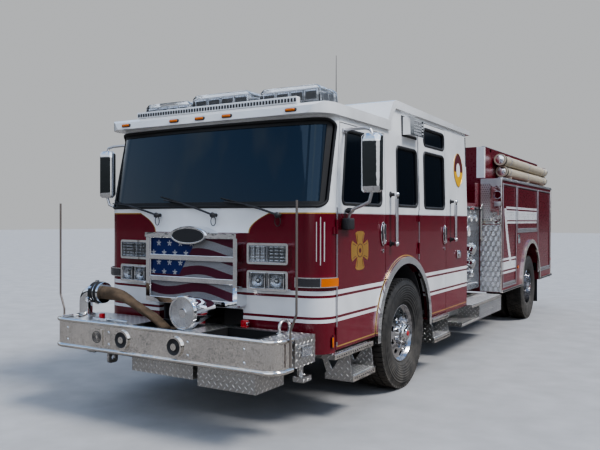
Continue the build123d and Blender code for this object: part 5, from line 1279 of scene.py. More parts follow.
@dataclass
class NoseLamps:
    """Warning lamps, head lamps and turn lamps in their bezels."""

    across: float = 0.735
    wide: float = 0.38
    upper_z: float = 1.418
    upper_high: float = 0.176
    lower_z: float = 1.198
    lower_high: float = 0.164
    deep: float = 0.07
    yaw: float = math.radians(6)

    def face(self, z: float) -> Matrix:
        """The driver's side lamp's place, its front face at local y zero."""
        bow = SKIN.sag * (self.across / (SKIN.half - SKIN.corner)) ** 2
        return (Matrix.Translation(at(self.across, SKIN.nose + bow, z)) @ Matrix.Rotation(self.yaw, 4, "Z")
                @ Matrix.Translation((0, -self.deep, 0)))

    def warning(self) -> Shape:
        """Two reflector blocks behind a clear cover, in a bright bezel."""
        lamp = Shape("warning_lamps_left")
        place = self.face(self.upper_z)
        half, tall = self.wide / 2 - 0.022, self.upper_high / 2 - 0.022
        for x0, x1, finish in ((-half, -0.004, REFLECTOR), (0.004, half, SMOKED)):
            self.block(lamp, place, (x0, 0.01, -tall), (x1, 0.018, tall), finish, 0.004)
            for row in range(5):
                z = lerp(-tall + 0.012, tall - 0.012, row / 4)
                self.block(lamp, place, (x0 + 0.008, 0.0, z - 0.006), (x1 - 0.008, 0.01, z + 0.006), REFLECTOR,
                           0.003)
            for column in range(4):
                x = lerp(x0 + 0.012, x1 - 0.012, column / 3)
                self.block(lamp, place, (x - 0.003, -0.002, -tall + 0.006), (x + 0.003, 0.012, tall - 0.006),
                           DARK)
        self.block(lamp, place, (-half, -0.006, -tall), (half, -0.001, tall), CLEAR, 0.002)
        return lamp

    def head(self) -> Shape:
        """Two square head lamps with bowls and glasses, in a bright bezel."""
        lamp = Shape("head_lamps_left")
        place = self.face(self.lower_z)
        forward = place.to_3x3() @ Vector((0, -1, 0))
        for x in (-0.086, 0.086):
            for x0, x1, z0, z1 in ((-0.072, 0.072, -0.066, -0.058), (-0.072, 0.072, 0.058, 0.066),
                                   (-0.072, -0.064, -0.066, 0.066), (0.064, 0.072, -0.066, 0.066)):
                self.block(lamp, place, (x + x0, -0.01, z0), (x + x1, -0.002, z1), CHROME, 0.002)
            self.block(lamp, place, (x - 0.066, 0.012, -0.06), (x + 0.066, 0.018, 0.06), DARK)
            base = place @ Vector((x, 0.014, 0))
            lamp.lathe(base, forward,
                       ((0.0, 0.0), (0.001, 0.02), (0.01, 0.044), (0.018, 0.052), (0.018, 0.055), (0.0, 0.055)),
                       REFLECTOR, 28)
            lamp.ball(place @ Vector((x, 0.004, 0)), (0.02, 0.024, 0.02), GAUGE_WHITE, 12)
            self.block(lamp, place, (x - 0.062, -0.006, -0.056), (x + 0.062, -0.002, 0.056), CLEAR, 0.002)
        return lamp

    def block(self, lamp: Shape, place: Matrix, low: Point, high: Point, finish: Finish,
              bevel: float = 0.0) -> None:
        """A box given in the lamp's own coordinates."""
        centre = place @ ((Vector(low) + Vector(high)) / 2)
        half = (Vector(high) - Vector(low)) / 2
        lamp.box(centre - half, centre + half, finish, bevel, Matrix.Rotation(self.yaw, 3, "Z"))

    def turn_lamps(self) -> None:
        """Smoked lenses round the corners with an amber end, in a dark surround."""
        for finish, first, last, name in ((SMOKED, 0.985, 1.15, "turn_lenses"),
                                          (AMBER, 1.156, 1.2195, "turn_ends")):
            lens = Shape(name)
            steps = 12
            rows = []
            for level in (1.158, 1.224):
                for out in (0.02, 0.034):
                    rows.append([SKIN.front(lerp(first, last, n / steps), level, out)
                                 for n in range(steps + 1)])
            low_in, low_out, high_in, high_out = rows
            lens.loft([[a, b, d, c] for a, b, c, d in zip(low_in, low_out, high_in, high_out)], finish)
            lens.both().done(ROOT, "chrome")

    def build(self) -> None:
        """Both lamps on both sides, and the turn lamps."""
        for lamp in (self.warning(), self.head()):
            lamp.pair(ROOT, "chrome")
        self.turn_lamps()


@dataclass
class Windscreen:
    """Black seal and edge band round the screen, and three wipers."""

    half: float = 1.19
    low: float = 1.806
    high: float = 2.525
    radius: float = 0.06
    band: float = 0.042

    def outline(self, inset: float, out: float) -> list[Vector]:
        """Points round the screen on the cab's skin.

        Args:
            inset: How far the loop lies inside the screen's edge.
            out: How far it stands off the skin.

        Returns:
            The loop's points.
        """
        half, low, high = self.half - inset, self.low + inset, self.high - inset
        radius = max(0.015, self.radius - inset)
        loop: list[tuple[float, float]] = []
        corners = (((half - radius), (low + radius), -90), ((half - radius), (high - radius), 0),
                   ((-half + radius), (high - radius), 90), ((-half + radius), (low + radius), 180))
        for cx, cz, start in corners:
            for step in range(7):
                angle = math.radians(start + step * 15)
                loop.append((cx + radius * math.cos(angle), cz + radius * math.sin(angle)))
        dense: list[tuple[float, float]] = []
        for (x0, z0), (x1, z1) in zip(loop, loop[1:] + loop[:1]):
            parts = max(1, int(max(abs(x1 - x0), abs(z1 - z0)) / 0.05))
            dense += [(lerp(x0, x1, n / parts), lerp(z0, z1, n / parts)) for n in range(parts)]
        return [SKIN.front(x, z, out) for x, z in dense]

    def seal(self) -> None:
        """Rubber seal on the edge and a black band on the glass inside it."""
        seal = Shape("screen_seal").tube(self.outline(0.0, 0.001), 0.013, RUBBER, 8, True)
        seal.done(ROOT, "cab_lining")
        band = Shape("screen_band")
        rings = []
        for edge in self.outline(0.008, -0.014):
            rim, lift = self.pull(edge, self.band), self.lift(edge)
            rings.append(band.ring((edge, edge + lift, rim + lift, rim)))
        for lower, upper in zip(rings, rings[1:] + rings[:1]):
            band.skin(lower, upper)
        band.tag(RUBBER).done(ROOT, "cab_lining")

    def pull(self, point: Vector, inset: float) -> Vector:
        """A point of the band's edge drawn towards the middle of the screen, on the glass."""
        x = math.copysign(min(abs(point.x), self.half - inset), point.x)
        return SKIN.front(x, min(max(point.z, self.low + inset), self.high - inset), -0.014)

    def lift(self, point: Vector) -> Vector:
        """Outward offset that gives the band its thickness."""
        return SKIN.front(point.x, point.z, 0.003) - SKIN.front(point.x, point.z, 0.0)

    def wipers(self) -> None:
        """Three arms with blades, pivot caps and washer hoses."""
        pivots = ((-0.459, 1.735), (0.19, 1.735), (0.818, 1.735))
        tips = ((-1.13, 1.85), (-0.409, 1.872), (0.287, 1.85))
        wipers = Shape("wipers")
        for (px, pz), (tx, tz) in zip(pivots, tips):
            pivot = SKIN.front(px, pz, 0.0)
            cap = SKIN.front(px, pz, 0.055)
            wipers.rod(pivot, cap, 0.016, DARK, 16)
            wipers.ball(cap, (0.05, 0.04, 0.05), DARK, 14)
            line = [SKIN.front(lerp(px, tx, n / 12), lerp(pz, tz, n / 12) + 0.02 * math.sin(math.pi * n / 12),
                               0.045 if n < 7 else 0.024) for n in range(13)]
            wipers.tube(line[:8], 0.009, DARK, 8)
            wipers.tube(line[6:], 0.0055, DARK, 6)
            blade = [SKIN.front(lerp(px, tx, share) - 0.05, lerp(pz, tz, share) + 0.03, 0.008)
                     for share in (0.4, 0.55, 0.7, 0.85, 1.0)]
            wipers.tube(blade, 0.007, RUBBER, 6)
            loop = [SKIN.front(px - 0.005 + 0.026 * math.sin(a), pz - 0.052 - 0.04 * math.cos(a) * -1, 0.035)
                    for a in (math.radians(20 + 32 * n) for n in range(11))]
            wipers.tube(loop, 0.0035, RUBBER, 6)
        wipers.done(ROOT, "cab_lining")

    def build(self) -> None:
        """Seal, band and wipers."""
        self.seal()
        self.wipers()


@dataclass
class RoofLights:
    """Markers on the brow, the long light bar, three beacons and the whip aerial."""

    brow_z: float = 2.655
    brow_front: float = -1.69
    bar_half: float = 0.9
    bar_y: tuple[float, float] = (-1.6, -1.54)
    bar_top: float = 2.725
    pods: tuple[tuple[float, float, float], ...] = (
        (-0.93, -0.348, 2.82), (-0.34, 0.34, 2.854), (0.425, 1.055, 2.838))
    pod_y: tuple[float, float] = (-1.468, -1.132)

    def markers(self) -> None:
        """Five amber markers in the brow's face."""
        markers = Shape("brow_markers")
        for x in (-0.95, -0.349, -0.05, 0.25, 0.9):
            markers.box(at(x - 0.055, self.brow_front - 0.016, 2.578),
                        at(x + 0.055, self.brow_front + 0.02, 2.61), DARK, 0.012)
            markers.box(at(x - 0.045, self.brow_front - 0.024, 2.583), at(x + 0.045, self.brow_front, 2.605),
                        AMBER, 0.009)
        markers.done(ROOT, "lamp_lens")

    def bar(self) -> Shape:
        """White housing with a row of dark cells, and its brackets."""
        y0, y1 = self.bar_y
        bar = Shape("roof_lamps")
        bar.box(at(-self.bar_half, y0, self.brow_z + 0.012), at(self.bar_half, y1, self.bar_top), WHITE_PAINT,
                0.006)
        for x in (-0.85, -0.3, 0.3, 0.85):
            bar.box(at(x - 0.03, y0 + 0.01, self.brow_z), at(x + 0.03, y1 - 0.01, self.brow_z + 0.02), SATIN)
        bar.repeat(Layout.GRID, Stamp.BLOCK, (0.018, 0.006, 0.03), DARK,
                   start=at(-self.bar_half + 0.025, y0 - 0.001, 2.693), step=(0.0314, 0, 0), count=57)
        return bar

    def beacon(self, roof: Shape, x0: float, x1: float, top: float) -> None:
        """One beacon: black foot, silver modules and a clear tapered cover."""
        y0, y1 = self.pod_y
        base = self.brow_z + 0.001
        roof.box(at(x0, y0, base), at(x1, y1, base + 0.03), WHITE_PAINT, 0.008)
        foot = [(x0 + 0.006, base + 0.03), (x1 - 0.006, base + 0.03), (x1 - 0.02, top - 0.03),
                (x1 - 0.055, top), (x0 + 0.055, top), (x0 + 0.02, top - 0.03)]
        roof.slab([at(x, y0 + 0.006, z) for x, z in foot], (0, y1 - y0 - 0.012, 0), CLEAR)
        count = 4
        for n in range(count):
            left = lerp(x0 + 0.035, x1 - 0.035, n / count) + 0.006
            right = lerp(x0 + 0.035, x1 - 0.035, (n + 1) / count) - 0.006
            for y in (y0 + 0.02, y1 - 0.06):
                roof.box(at(left, y, base + 0.04), at(right, y + 0.04, top - 0.035), REFLECTOR, 0.006)
                roof.box(at(left + 0.01, y - 0.004, base + 0.06), at(right - 0.01, y + 0.044, top - 0.055),
                         DARK)
        roof.box(at(x0 + 0.03, y0 + 0.07, top - 0.034), at(x1 - 0.03, y1 - 0.07, top - 0.022), WHITE_PAINT,
                 0.004)

    def build(self) -> None:
        """Markers, bar, beacons and aerial, in place of the plain roof lights."""
        self.markers()
        roof = self.bar()
        for x0, x1, top in self.pods:
            self.beacon(roof, x0, x1, top)
        roof.rod(at(0.9, -0.9, self.brow_z), at(0.9, -0.9, self.brow_z + 0.03), 0.022, DARK)
        roof.rod(at(0.9, -0.9, self.brow_z + 0.03), at(0.9, -0.9, 3.205), 0.0045, DARK, 10, 0.002)
        roof.done(ROOT, "lamp_lens", ("roof_lights",))


@dataclass
class Bumper:
    """Bolts, painted shade in the horns' bowls, the speaker's rings on the bumper, and lenses beside it."""

    face: float = -2.34
    low: float = 0.584
    high: float = 0.809

    def bolts(self) -> None:
        """Pairs of round bolt heads across the face."""
        spots = [at(x, self.face - 0.001, z) for x in (-1.0, -0.495, 0.365, 0.902) for z in (0.64, 0.742)]
        bolts = Shape("bumper_bolts").repeat(Layout.SPOTS, Stamp.DOME, (0.026, 0.026, 0.014), CHROME,
                                             spots=spots, facing=[FORWARD] * len(spots))
        bolts.done(ROOT, "polished_steel")

    def horn_shade_and_speaker_rings(self) -> None:
        """Dark bowls in both horns, painted shade in their chrome, and the speaker's rings."""
        horn_shade_and_speaker_rings = Shape("bumper_horn_shade_and_speaker_rings")
        # Painted shade: a dark moulding in each horn's chrome bowl.
        for x in (-0.343, 0.23):
            horn_shade_and_speaker_rings.lathe(at(x, self.face - 0.0055, 0.694), FORWARD,
                         ((0.0, 0.027), (0.0, 0.0655), (0.0105, 0.0655), (0.0035, 0.05), (0.0012, 0.0285)),
                         DARK, 44)
        for radius in (0.02, 0.034, 0.048):
            loop = [at(-0.633 + radius * math.cos(a), self.face - 0.009, 0.694 + radius * math.sin(a))
                    for a in turns(36)]
            horn_shade_and_speaker_rings.tube(loop, 0.0032, DARK, 6, True)
        horn_shade_and_speaker_rings.done(ROOT, "polished_steel")

    def side_lights(self) -> None:
        """Clear lenses of the side lights on the deck's ends and of the ground lights below them."""
        lights = Shape("deck_side_lights")
        lights.box(at(1.205, -2.018, 0.662), at(1.2175, -1.882, 0.728), CLEAR, 0.005)
        lights.box(at(1.2035, -2.014, 0.666), at(1.2085, -1.886, 0.724), REFLECTOR)
        lights.box(at(1.098, -1.952, 0.444), at(1.177, -1.848, 0.4505), CLEAR, 0.003)
        lights.both().done(ROOT, "chrome")

    def build(self) -> None:
        """All the bumper's fittings."""
        self.bolts()
        self.horn_shade_and_speaker_rings()
        self.side_lights()


HOSE_ROUTE = (
    (-0.79, -2.11, 1.04), (-0.64, -2.11, 1.04), (-0.505, -2.092, 0.994), (-0.37, -2.06, 0.905),
    (-0.245, -2.03, 0.838), (-0.15, -2.012, 0.755))


@dataclass
class FrontDeck:
    """Coupling rings, the limp hose, the siren's face and the small things on the deck."""

    hose_radius: float = 0.058
    elbow: tuple[float, float, float] = (-1.03, -2.11, 1.04)
    siren: tuple[float, float, float] = (0.265, -2.285, 0.956)
    siren_radius: float = 0.135

    def spline(self) -> list[Vector]:
        """Points read from the hose route's smooth curve."""
        curve = bpy.data.curves.new("hose_line", "CURVE")
        curve.dimensions = "3D"
        line = curve.splines.new("NURBS")
        line.points.add(len(HOSE_ROUTE) - 1)
        for point, place in zip(line.points, HOSE_ROUTE):
            point.co = (*at(*place), 1.0)
        line.order_u = 3
        line.use_endpoint_u = True
        line.resolution_u = 12
        holder = placed("hose_line", curve)
        mesh = evaluated_mesh(holder)
        points = [vert.co.copy() for vert in mesh.vertices]
        bpy.data.objects.remove(holder)
        bpy.data.curves.remove(curve)
        bpy.data.meshes.remove(mesh)
        return points

    def hose(self) -> None:
        """The limp hose: round at the coupling, then flattened and creased as it falls into the tray."""
        points = self.spline()
        bm = bmesh.new()
        uv = bm.loops.layers.uv.new("UVMap")
        sides, rings, lengths = 40, [], []
        last = len(points) - 1
        for index, point in enumerate(points):
            along = (points[min(last, index + 1)] - points[max(0, index - 1)]).normalized()
            lengths.append(lengths[-1] + (point - points[index - 1]).length if index else 0.0)
            share = index / last
            across = along.cross(Vector(UP)).normalized()
            up = across.cross(along)
            flat = min(1.0, max(0.0, (share - 0.08) / 0.35))
            wide, tall = self.hose_radius * (1.0 + 0.05 * flat), self.hose_radius * (1.0 - 0.42 * flat)
            ring = []
            for angle in turns(sides):
                fold = 1.0 + flat * 0.06 * math.sin(3 * angle + 9 * share) + 0.03 * flat * math.sin(40 * share)
                crease = 1.0 - 0.22 * flat * math.exp(-((angle - math.pi / 2) / 0.35) ** 2)
                ring.append(bm.verts.new(point + across * wide * math.cos(angle) * min(fold, 1.03)
                                         + up * tall * math.sin(angle) * fold * crease))
            rings.append(ring)
        for index in range(last):
            for step in range(sides):
                spots = ((step, index), (step + 1, index), (step + 1, index + 1), (step, index + 1))
                face = bm.faces.new([rings[ahead][around % sides] for around, ahead in spots])
                for loop, (around, ahead) in zip(face.loops, spots):
                    loop[uv].uv = (around / sides, lengths[ahead] / (2 * math.pi * self.hose_radius))
        bm.faces.new(rings[0])
        bm.faces.new(rings[-1])
        bmesh.ops.recalc_face_normals(bm, faces=bm.faces[:])
        mesh = bpy.data.meshes.new("limp_hose")
        bm.to_mesh(mesh)
        bm.free()
        mesh.materials.append(JACKET.material())
        mesh.shade_smooth()
        hose = placed("limp_hose", mesh)
        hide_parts("deck_hose")
        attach(hose, ROOT)
        log.info("limp_hose: %.3f m", lengths[-1])

    def folds(self) -> None:
        """Flat hose folded to and fro in the tray, in place of its plain block."""
        low, high = (Vector(corner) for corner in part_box("hose_load"))
        layers = 9
        pitch = (high.z - low.z - 0.02) / layers
        stack = Shape("tray_hose")
        for layer in range(layers):
            z = low.z + 0.012 + layer * pitch
            wander = 0.006 * math.sin(2.1 * layer)
            for lane in range(3):
                y0 = lerp(low.y, high.y, lane / 3) + 0.006
                y1 = lerp(low.y, high.y, (lane + 1) / 3) - 0.006
                stack.box((low.x + 0.012 + wander, y0, z), (high.x - 0.012 + wander, y1, z + pitch * 0.86),
                          JACKET, pitch * 0.4)
        piece = stack.done(ROOT, "hose_jacket", ("hose_load",))
        layer_uv = piece.data.uv_layers.new(name="UVMap")
        for loop in piece.data.loops:
            spot = piece.data.vertices[loop.vertex_index].co
            layer_uv.data[loop.index].uv = (spot.x * 2.0, (spot.y + spot.z) * 2.0)

    def coupling(self) -> None:
        """Black and bright rings with lugs where the hose leaves the elbow."""
        x, y, z = self.elbow
        rings = Shape("hose_coupling")
        for start, length, radius, finish in (
                (0.1, 0.018, 0.074, CHROME), (0.122, 0.044, 0.096, RUBBER), (0.168, 0.01, 0.09, CHROME),
                (0.182, 0.034, 0.097, RUBBER), (0.218, 0.016, 0.092, CHROME)):
            rings.lathe(at(x + start, y, z), ACROSS,
                        ((0.0, 0.056), (0.0, radius - 0.004), (0.004, radius), (length - 0.004, radius),
                         (length, radius - 0.004), (length, 0.056)), finish, 40)
        rings.repeat(Layout.RIM, Stamp.BLOCK, (0.03, 0.022, 0.02), CHROME, start=at(x + 0.144, y, z),
                     radius=0.098, count=6)
        rings.done(ROOT, "chrome")

    def siren_face(self) -> None:
        """Bright ring and fine rings of the siren's grille, with a bare hub."""
        x, y, z = self.siren
        face = Shape("siren_face")
        face.lathe(at(x, y + 0.004, z), FORWARD,
                   ((0.0, 0.118), (0.0, 0.133), (0.008, 0.136), (0.016, 0.13), (0.016, 0.116), (0.006, 0.112)),
                   CHROME, 64)
        face.lathe(at(x, y + 0.004, z), FORWARD, ((0.0, 0.0), (0.003, 0.0), (0.003, 0.116), (0.0, 0.116)), CAST,
                   48)
        for n in range(9):
            radius = 0.042 + n * 0.0088
            loop = [at(x + radius * math.cos(a), y - 0.002, z + radius * math.sin(a)) for a in turns(48)]
            face.tube(loop, 0.0019, SATIN, 6, True)
        for a in turns(16):
            face.rod(at(x + 0.034 * math.cos(a), y - 0.001, z + 0.034 * math.sin(a)),
                     at(x + 0.114 * math.cos(a), y - 0.001, z + 0.114 * math.sin(a)), 0.0014, SATIN, 6)
        face.lathe(at(x, y + 0.004, z), FORWARD,
                   ((0.0, 0.0), (0.01, 0.0), (0.012, 0.02), (0.01, 0.036), (0.0, 0.036)), CHROME, 32)
        face.done(ROOT, "chrome")

    def small_things(self) -> None:
        """Feet of the handle, the small red box, a latch, and black sheets over the walls and floors of both
        wells, which keep them dark inside.
        """
        deck_z = 0.801
        small = Shape("deck_fittings")
        for y in (-1.975, -1.825):
            small.rod(at(0.975, y, deck_z), at(0.975, y, deck_z + 0.012), 0.026, CHROME)
        small.box(at(0.5, -1.832, deck_z), at(0.56, -1.792, deck_z + 0.06), RED_PAINT, 0.008)
        small.box(at(0.545, -1.83, deck_z + 0.02), at(0.57, -1.795, deck_z + 0.046), CHROME, 0.004)
        small.box(at(-0.86, -2.19, deck_z), at(-0.7, -2.11, deck_z + 0.022), CHROME, 0.006)
        small.box(at(-0.8, -2.17, deck_z + 0.022), at(-0.76, -2.13, deck_z + 0.06), RED_PAINT, 0.006)
        small.rod(at(-0.7, -2.15, deck_z + 0.014), at(-0.44, -2.18, deck_z + 0.014), 0.01, CHROME, 12)
        small.done(ROOT, "chrome")
        edges = Shape("tray_edges")
        for x0, x1, y0, y1 in ((0.418, 0.952, -2.267, -1.893), (-0.322, 0.12, -2.227, -1.843)):
            loop = [at(x0, y0, deck_z), at(x1, y0, deck_z), at(x1, y1, deck_z), at(x0, y1, deck_z)]
            for a, b in zip(loop, loop[1:] + loop[:1]):
                edges.rod(a, b, 0.0075, RUBBER, 8)
        # Thin black sheets on the walls and floor of each well, so that the wells show dark.
        for x0, x1, y0, y1, low in ((0.42, 0.95, -2.265, -1.895, 0.404),
                                    (-0.321, 0.119, -2.226, -1.844, 0.434)):
            for wall in ((x0, x0 + 0.002, y0, y1), (x1 - 0.002, x1, y0, y1), (x0, x1, y0, y0 + 0.002),
                         (x0, x1, y1 - 0.002, y1)):
                edges.box(at(wall[0], wall[2], low), at(wall[1], wall[3], deck_z - 0.004), RUBBER)
            edges.box(at(x0, y0, low - 0.002), at(x1, y1, low + 0.001), RUBBER)
        edges.done(ROOT, "cab_lining")

    def build(self) -> None:
        """Hose first, then what it joins and what stands beside it."""
        self.hose()
        self.folds()
        self.coupling()
        self.siren_face()
        self.small_things()


@dataclass
class CabSides:
    """Seals, handles, hinges, crosses, lights and rails on the cab's sides and doors."""

    windows: tuple[tuple[str, float, float, float, float, float], ...] = (
        ("door_front", -1.396, -1.29, -0.59, 1.832, 2.458),
        (ROOT, -0.215, -0.2, 0.335, 1.838, 2.425),
        ("door_rear", 0.545, 0.555, 1.205, 1.828, 2.433),
        ("door_rear", 0.568, 0.568, 1.225, 2.51, 2.693))
    corner: float = 0.06

    def window_loop(self, front: float, front_top: float, rear: float, sill: float, top: float,
                    out: float) -> list[Vector]:
        """Points round a window with round corners, on the driver's side."""
        corners = ((front, sill), (rear, sill), (rear, top), (front_top, top))
        loop = []
        for index, here in enumerate(corners):
            before = Vector(corners[index - 1]) - Vector(here)
            after = Vector(corners[(index + 1) % 4]) - Vector(here)
            start = Vector(here) + before.normalized() * self.corner
            end = Vector(here) + after.normalized() * self.corner
            for step in range(7):
                share = step / 6
                spot = start * (1 - share) ** 2 + Vector(here) * 2 * share * (1 - share) + end * share ** 2
                loop.append(SKIN.side(spot.x, spot.y, 1, out))
        return loop

    def seals(self) -> None:
        """Black seals round the side windows and chrome hinge strips on the doors."""
        for owner in ("door_front", "door_rear", ROOT):
            seals = Shape(f"{owner}_seals_left")
            for body, *sizes in self.windows:
                if body == owner:
                    seals.tube(self.window_loop(*sizes, 0.001), 0.011, RUBBER, 8, True)
                    seals.tube(self.window_loop(*sizes, -0.004), 0.016, DARK, 8, True)
            if owner == "door_front":
                self.strip(seals, -1.484, 0.66, 1.8)
            if owner == "door_rear":
                self.strip(seals, 0.386, 1.28, 2.7)
            if owner == ROOT:
                seals.both().done(ROOT, "cab_lining")
                continue
            seals.pair(f"{owner}_left", "cab_lining")

    def strip(self, shape: Shape, y: float, low: float, high: float) -> None:
        """A thin bright strip down a door's hinge edge, in short lengths that follow the lean."""
        count = 8
        for n in range(count):
            z0, z1 = lerp(low, high, n / count), lerp(low, high, (n + 1) / count)
            x = SKIN.half_at((z0 + z1) / 2)
            shape.box(at(x - 0.004, y - 0.011, z0), at(x + 0.003, y + 0.011, z1), SATIN)

    def handles(self) -> None:
        """Recessed pull handles with a lock below, one on each door."""
        for door, y, z in (("door_front", -0.562, 1.57), ("door_rear", 1.2, 1.53)):
            handle = Shape(f"{door}_handle_left")
            loop = [at(1.2262, y + 0.05 * math.cos(a), z + 0.108 * math.sin(a)) for a in turns(36)]
            handle.slab(loop, (0.0012, 0, 0), DARK)
            handle.tube([point + Vector((0.001, 0, 0)) for point in loop], 0.0045, CHROME, 8, True)
            handle.box(at(1.2264, y - 0.0262, z - 0.0972), at(1.2478, y + 0.0262, z + 0.0872), CHROME, 0.003)
            handle.box(at(1.246, y - 0.01, z - 0.055), at(1.2495, y + 0.01, z + 0.045), DARK, 0.001)
            handle.rod(at(1.2205, y, z - 0.16), at(1.229, y, z - 0.16), 0.018, CHROME, 20)
            handle.rod(at(1.228, y, z - 0.16), at(1.231, y, z - 0.16), 0.009, DARK, 12)
            handle.pair(f"{door}_left", "chrome")

    def cross(self) -> None:
        """A plain gold cross with flared arms on each front door."""
        cross = Shape("door_cross_left")
        y, z, wide, tall = -1.052, 1.43, 0.18, 0.178
        loop = []
        for turn in turns(4):
            for angle, reach in ((-31, 0.98), (-20, 1.0), (0, 0.96), (20, 1.0), (31, 0.98), (36, 0.62),
                                 (45, 0.4), (54, 0.62)):
                a = turn + math.radians(angle)
                loop.append((reach * math.cos(a), reach * math.sin(a)))
        cross.slab([at(1.2203, y + wide * u, z + tall * v) for u, v in loop], (0.0016, 0, 0), GOLD_LEAF)
        for radius, finish in ((0.34, MAROON_LINE), (0.3, GOLD_LEAF), (0.12, MAROON_LINE)):
            ring = [at(1.2216 + (0.34 - radius) * 0.004, y + wide * radius * math.cos(a),
                       z + tall * radius * math.sin(a)) for a in turns(40)]
            cross.slab(ring, (0.0008, 0, 0), finish)
        for turn in turns(4):
            for angle in (-24, 24):
                a, b = turn + math.radians(angle), turn + math.radians(angle * 1.25)
                cross.rod(at(1.222, y + wide * 0.5 * math.cos(b), z + tall * 0.5 * math.sin(b)),
                          at(1.222, y + wide * 0.88 * math.cos(a), z + tall * 0.88 * math.sin(a)), 0.0022,
                          MAROON_LINE, 6)
        cross.pair("door_front_left", "polished_steel")

    def patch(self) -> None:
        """A plain shield patch in two colours with a gold edge."""
        patch = Shape("side_patches")
        y, z = 1.752, 2.315
        loop = []
        for a in turns(48):
            pinch = 1.0 + 0.1 * abs(math.sin(a)) ** 6
            loop.append((0.168 * math.cos(a), 0.186 * math.sin(a) * pinch))
        skin = [SKIN.side(y + u, z + v, 1, 0.0004) for u, v in loop]
        patch.slab(skin, (0.0016, 0, 0), PATCH)
        low = [(u, v) for u, v in loop if v < -0.02]
        patch.slab([SKIN.side(y + u * 0.98, z + v * 0.98, 1, 0.0022) for u, v in low], (0.0008, 0, 0), YELLOW)
        patch.tube([point + Vector((0.002, 0, 0)) for point in skin], 0.0052, GOLD_LEAF, 6, True)
        ring = [SKIN.side(y + 0.07 * math.cos(a), z + 0.085 * math.sin(a), 1, 0.0026) for a in turns(32)]
        patch.slab(ring, (0.001, 0, 0), GAUGE_WHITE)
        patch.both().done(ROOT, "body_paint")

    def scene_light(self) -> None:
        """Gasket of the louvred light high on the side, a black strip, a socket cover and markers."""
        box = Shape("side_scene_lights")
        y0, y1, z0, z1 = -0.04, 0.34, 2.555, 2.735
        x = SKIN.half_at(2.65)
        box.box(at(x - 0.01, y0 - 0.014, z0 - 0.014), at(x + 0.008, y1 + 0.014, z1 + 0.014), DARK, 0.004)
        for n in range(6):
            z = lerp(2.38, 2.75, n / 6)
            out = SKIN.half_at(z + 0.03)
            box.box(at(out - 0.004, 2.055, z), at(out + 0.003, 2.08, z + 0.062), DARK)
        box.box(at(1.2195, 1.66, 1.235), at(1.238, 1.78, 1.33), CHROME, 0.014)
        box.lathe(at(1.236, 1.705, 1.282), ACROSS, ((0.0, 0.034), (0.012, 0.034), (0.02, 0.026), (0.022, 0.0)),
                  CHROME, 24)
        box.box(at(1.236, 1.735, 1.262), at(1.25, 1.765, 1.302), DARK, 0.004)
        box.box(at(1.2195, -1.568, 0.654), at(1.2235, -1.54, 0.747), DARK, 0.002)
        box.box(at(1.2215, -1.564, 0.66), at(1.228, -1.544, 0.741), AMBER, 0.003)
        box.both().done(ROOT, "chrome")

    def rail_ends(self) -> None:
        """Stanchions and knurled grips on the cab's grab rails."""
        rails = Shape("grab_rail_ends")
        for y, low, high in ((-0.372, 1.449, 1.962), (1.434, 1.448, 1.938)):
            for z in (low + 0.02, high - 0.02):
                rails.ball(at(1.282, y, z), (0.052, 0.052, 0.052), CHROME, 16)
                x = SKIN.half_at(z)
                rails.lathe(at(x - 0.002, y, z), ACROSS,
                            ((0.0, 0.03), (0.006, 0.03), (0.012, 0.018), (0.05, 0.014)), DARK, 20)
            rails.rod(at(1.282, y, low + 0.06), at(1.282, y, high - 0.06), 0.0175, SATIN, 20)
        rails.both().done(ROOT, "polished_steel")

    def mirrors(self) -> None:
        """Rounded bright mirror heads with dark arms, in place of the plain ones."""
        head = Shape("tall_mirror_left")
        y = -1.415
        sections = []
        for share in (0.0, 0.04, 0.12, 0.3, 0.6, 0.85, 0.95, 1.0):
            z = lerp(1.918, 2.398, share)
            grow = min(1.0, (1 - abs(2 * share - 1)) * 6 + 0.55) ** 0.5
            sections.append((z, 0.094 * grow, 0.036 * grow))
        rings = []
        for z, wide, deep in sections:
            ring = []
            for a in turns(28):
                u = math.copysign(abs(math.cos(a)) ** 0.6, math.cos(a)) * wide
                v = math.copysign(abs(math.sin(a)) ** 0.8, math.sin(a)) * deep
                ring.append(at(1.5 + u, y + v, z))
            rings.append(ring)
        head.loft(rings, CHROME)
        head.box(at(1.42, y + 0.03, 1.95), at(1.58, y + 0.04, 2.37), SMOKED, 0.012)
        upper_arm = ((1.205, -1.33, 2.445), (1.26, -1.345, 2.452), (1.34, -1.372, 2.452), (1.43, -1.4, 2.445),
                     (1.485, -1.414, 2.428), (1.5, -1.415, 2.395))
        lower_arm = ((1.245, -1.335, 1.69), (1.258, -1.338, 1.74), (1.3, -1.352, 1.785), (1.4, -1.388, 1.815),
                     (1.475, -1.41, 1.845), (1.5, -1.415, 1.925))
        head.tube([at(*point) for point in upper_arm], 0.013, SATIN, 12)
        head.tube([at(*point) for point in lower_arm], 0.014, SATIN, 12)
        head.box(at(1.2203, -1.405, 1.615), at(1.278, -1.268, 1.712), DARK, 0.012)
        head.ball(at(1.262, -1.336, 1.775), (0.085, 0.06, 0.05), DARK, 16)
        head.box(at(1.2015, -1.362, 2.424), at(1.218, -1.298, 2.466), SATIN, 0.006)
        head.pair("door_front_left", "chrome", ("mirror_left",))

    def build(self) -> None:
        """All the fittings of the cab's sides."""
        self.seals()
        self.handles()
        self.cross()
        self.patch()
        self.scene_light()
        self.rail_ends()
        self.mirrors()


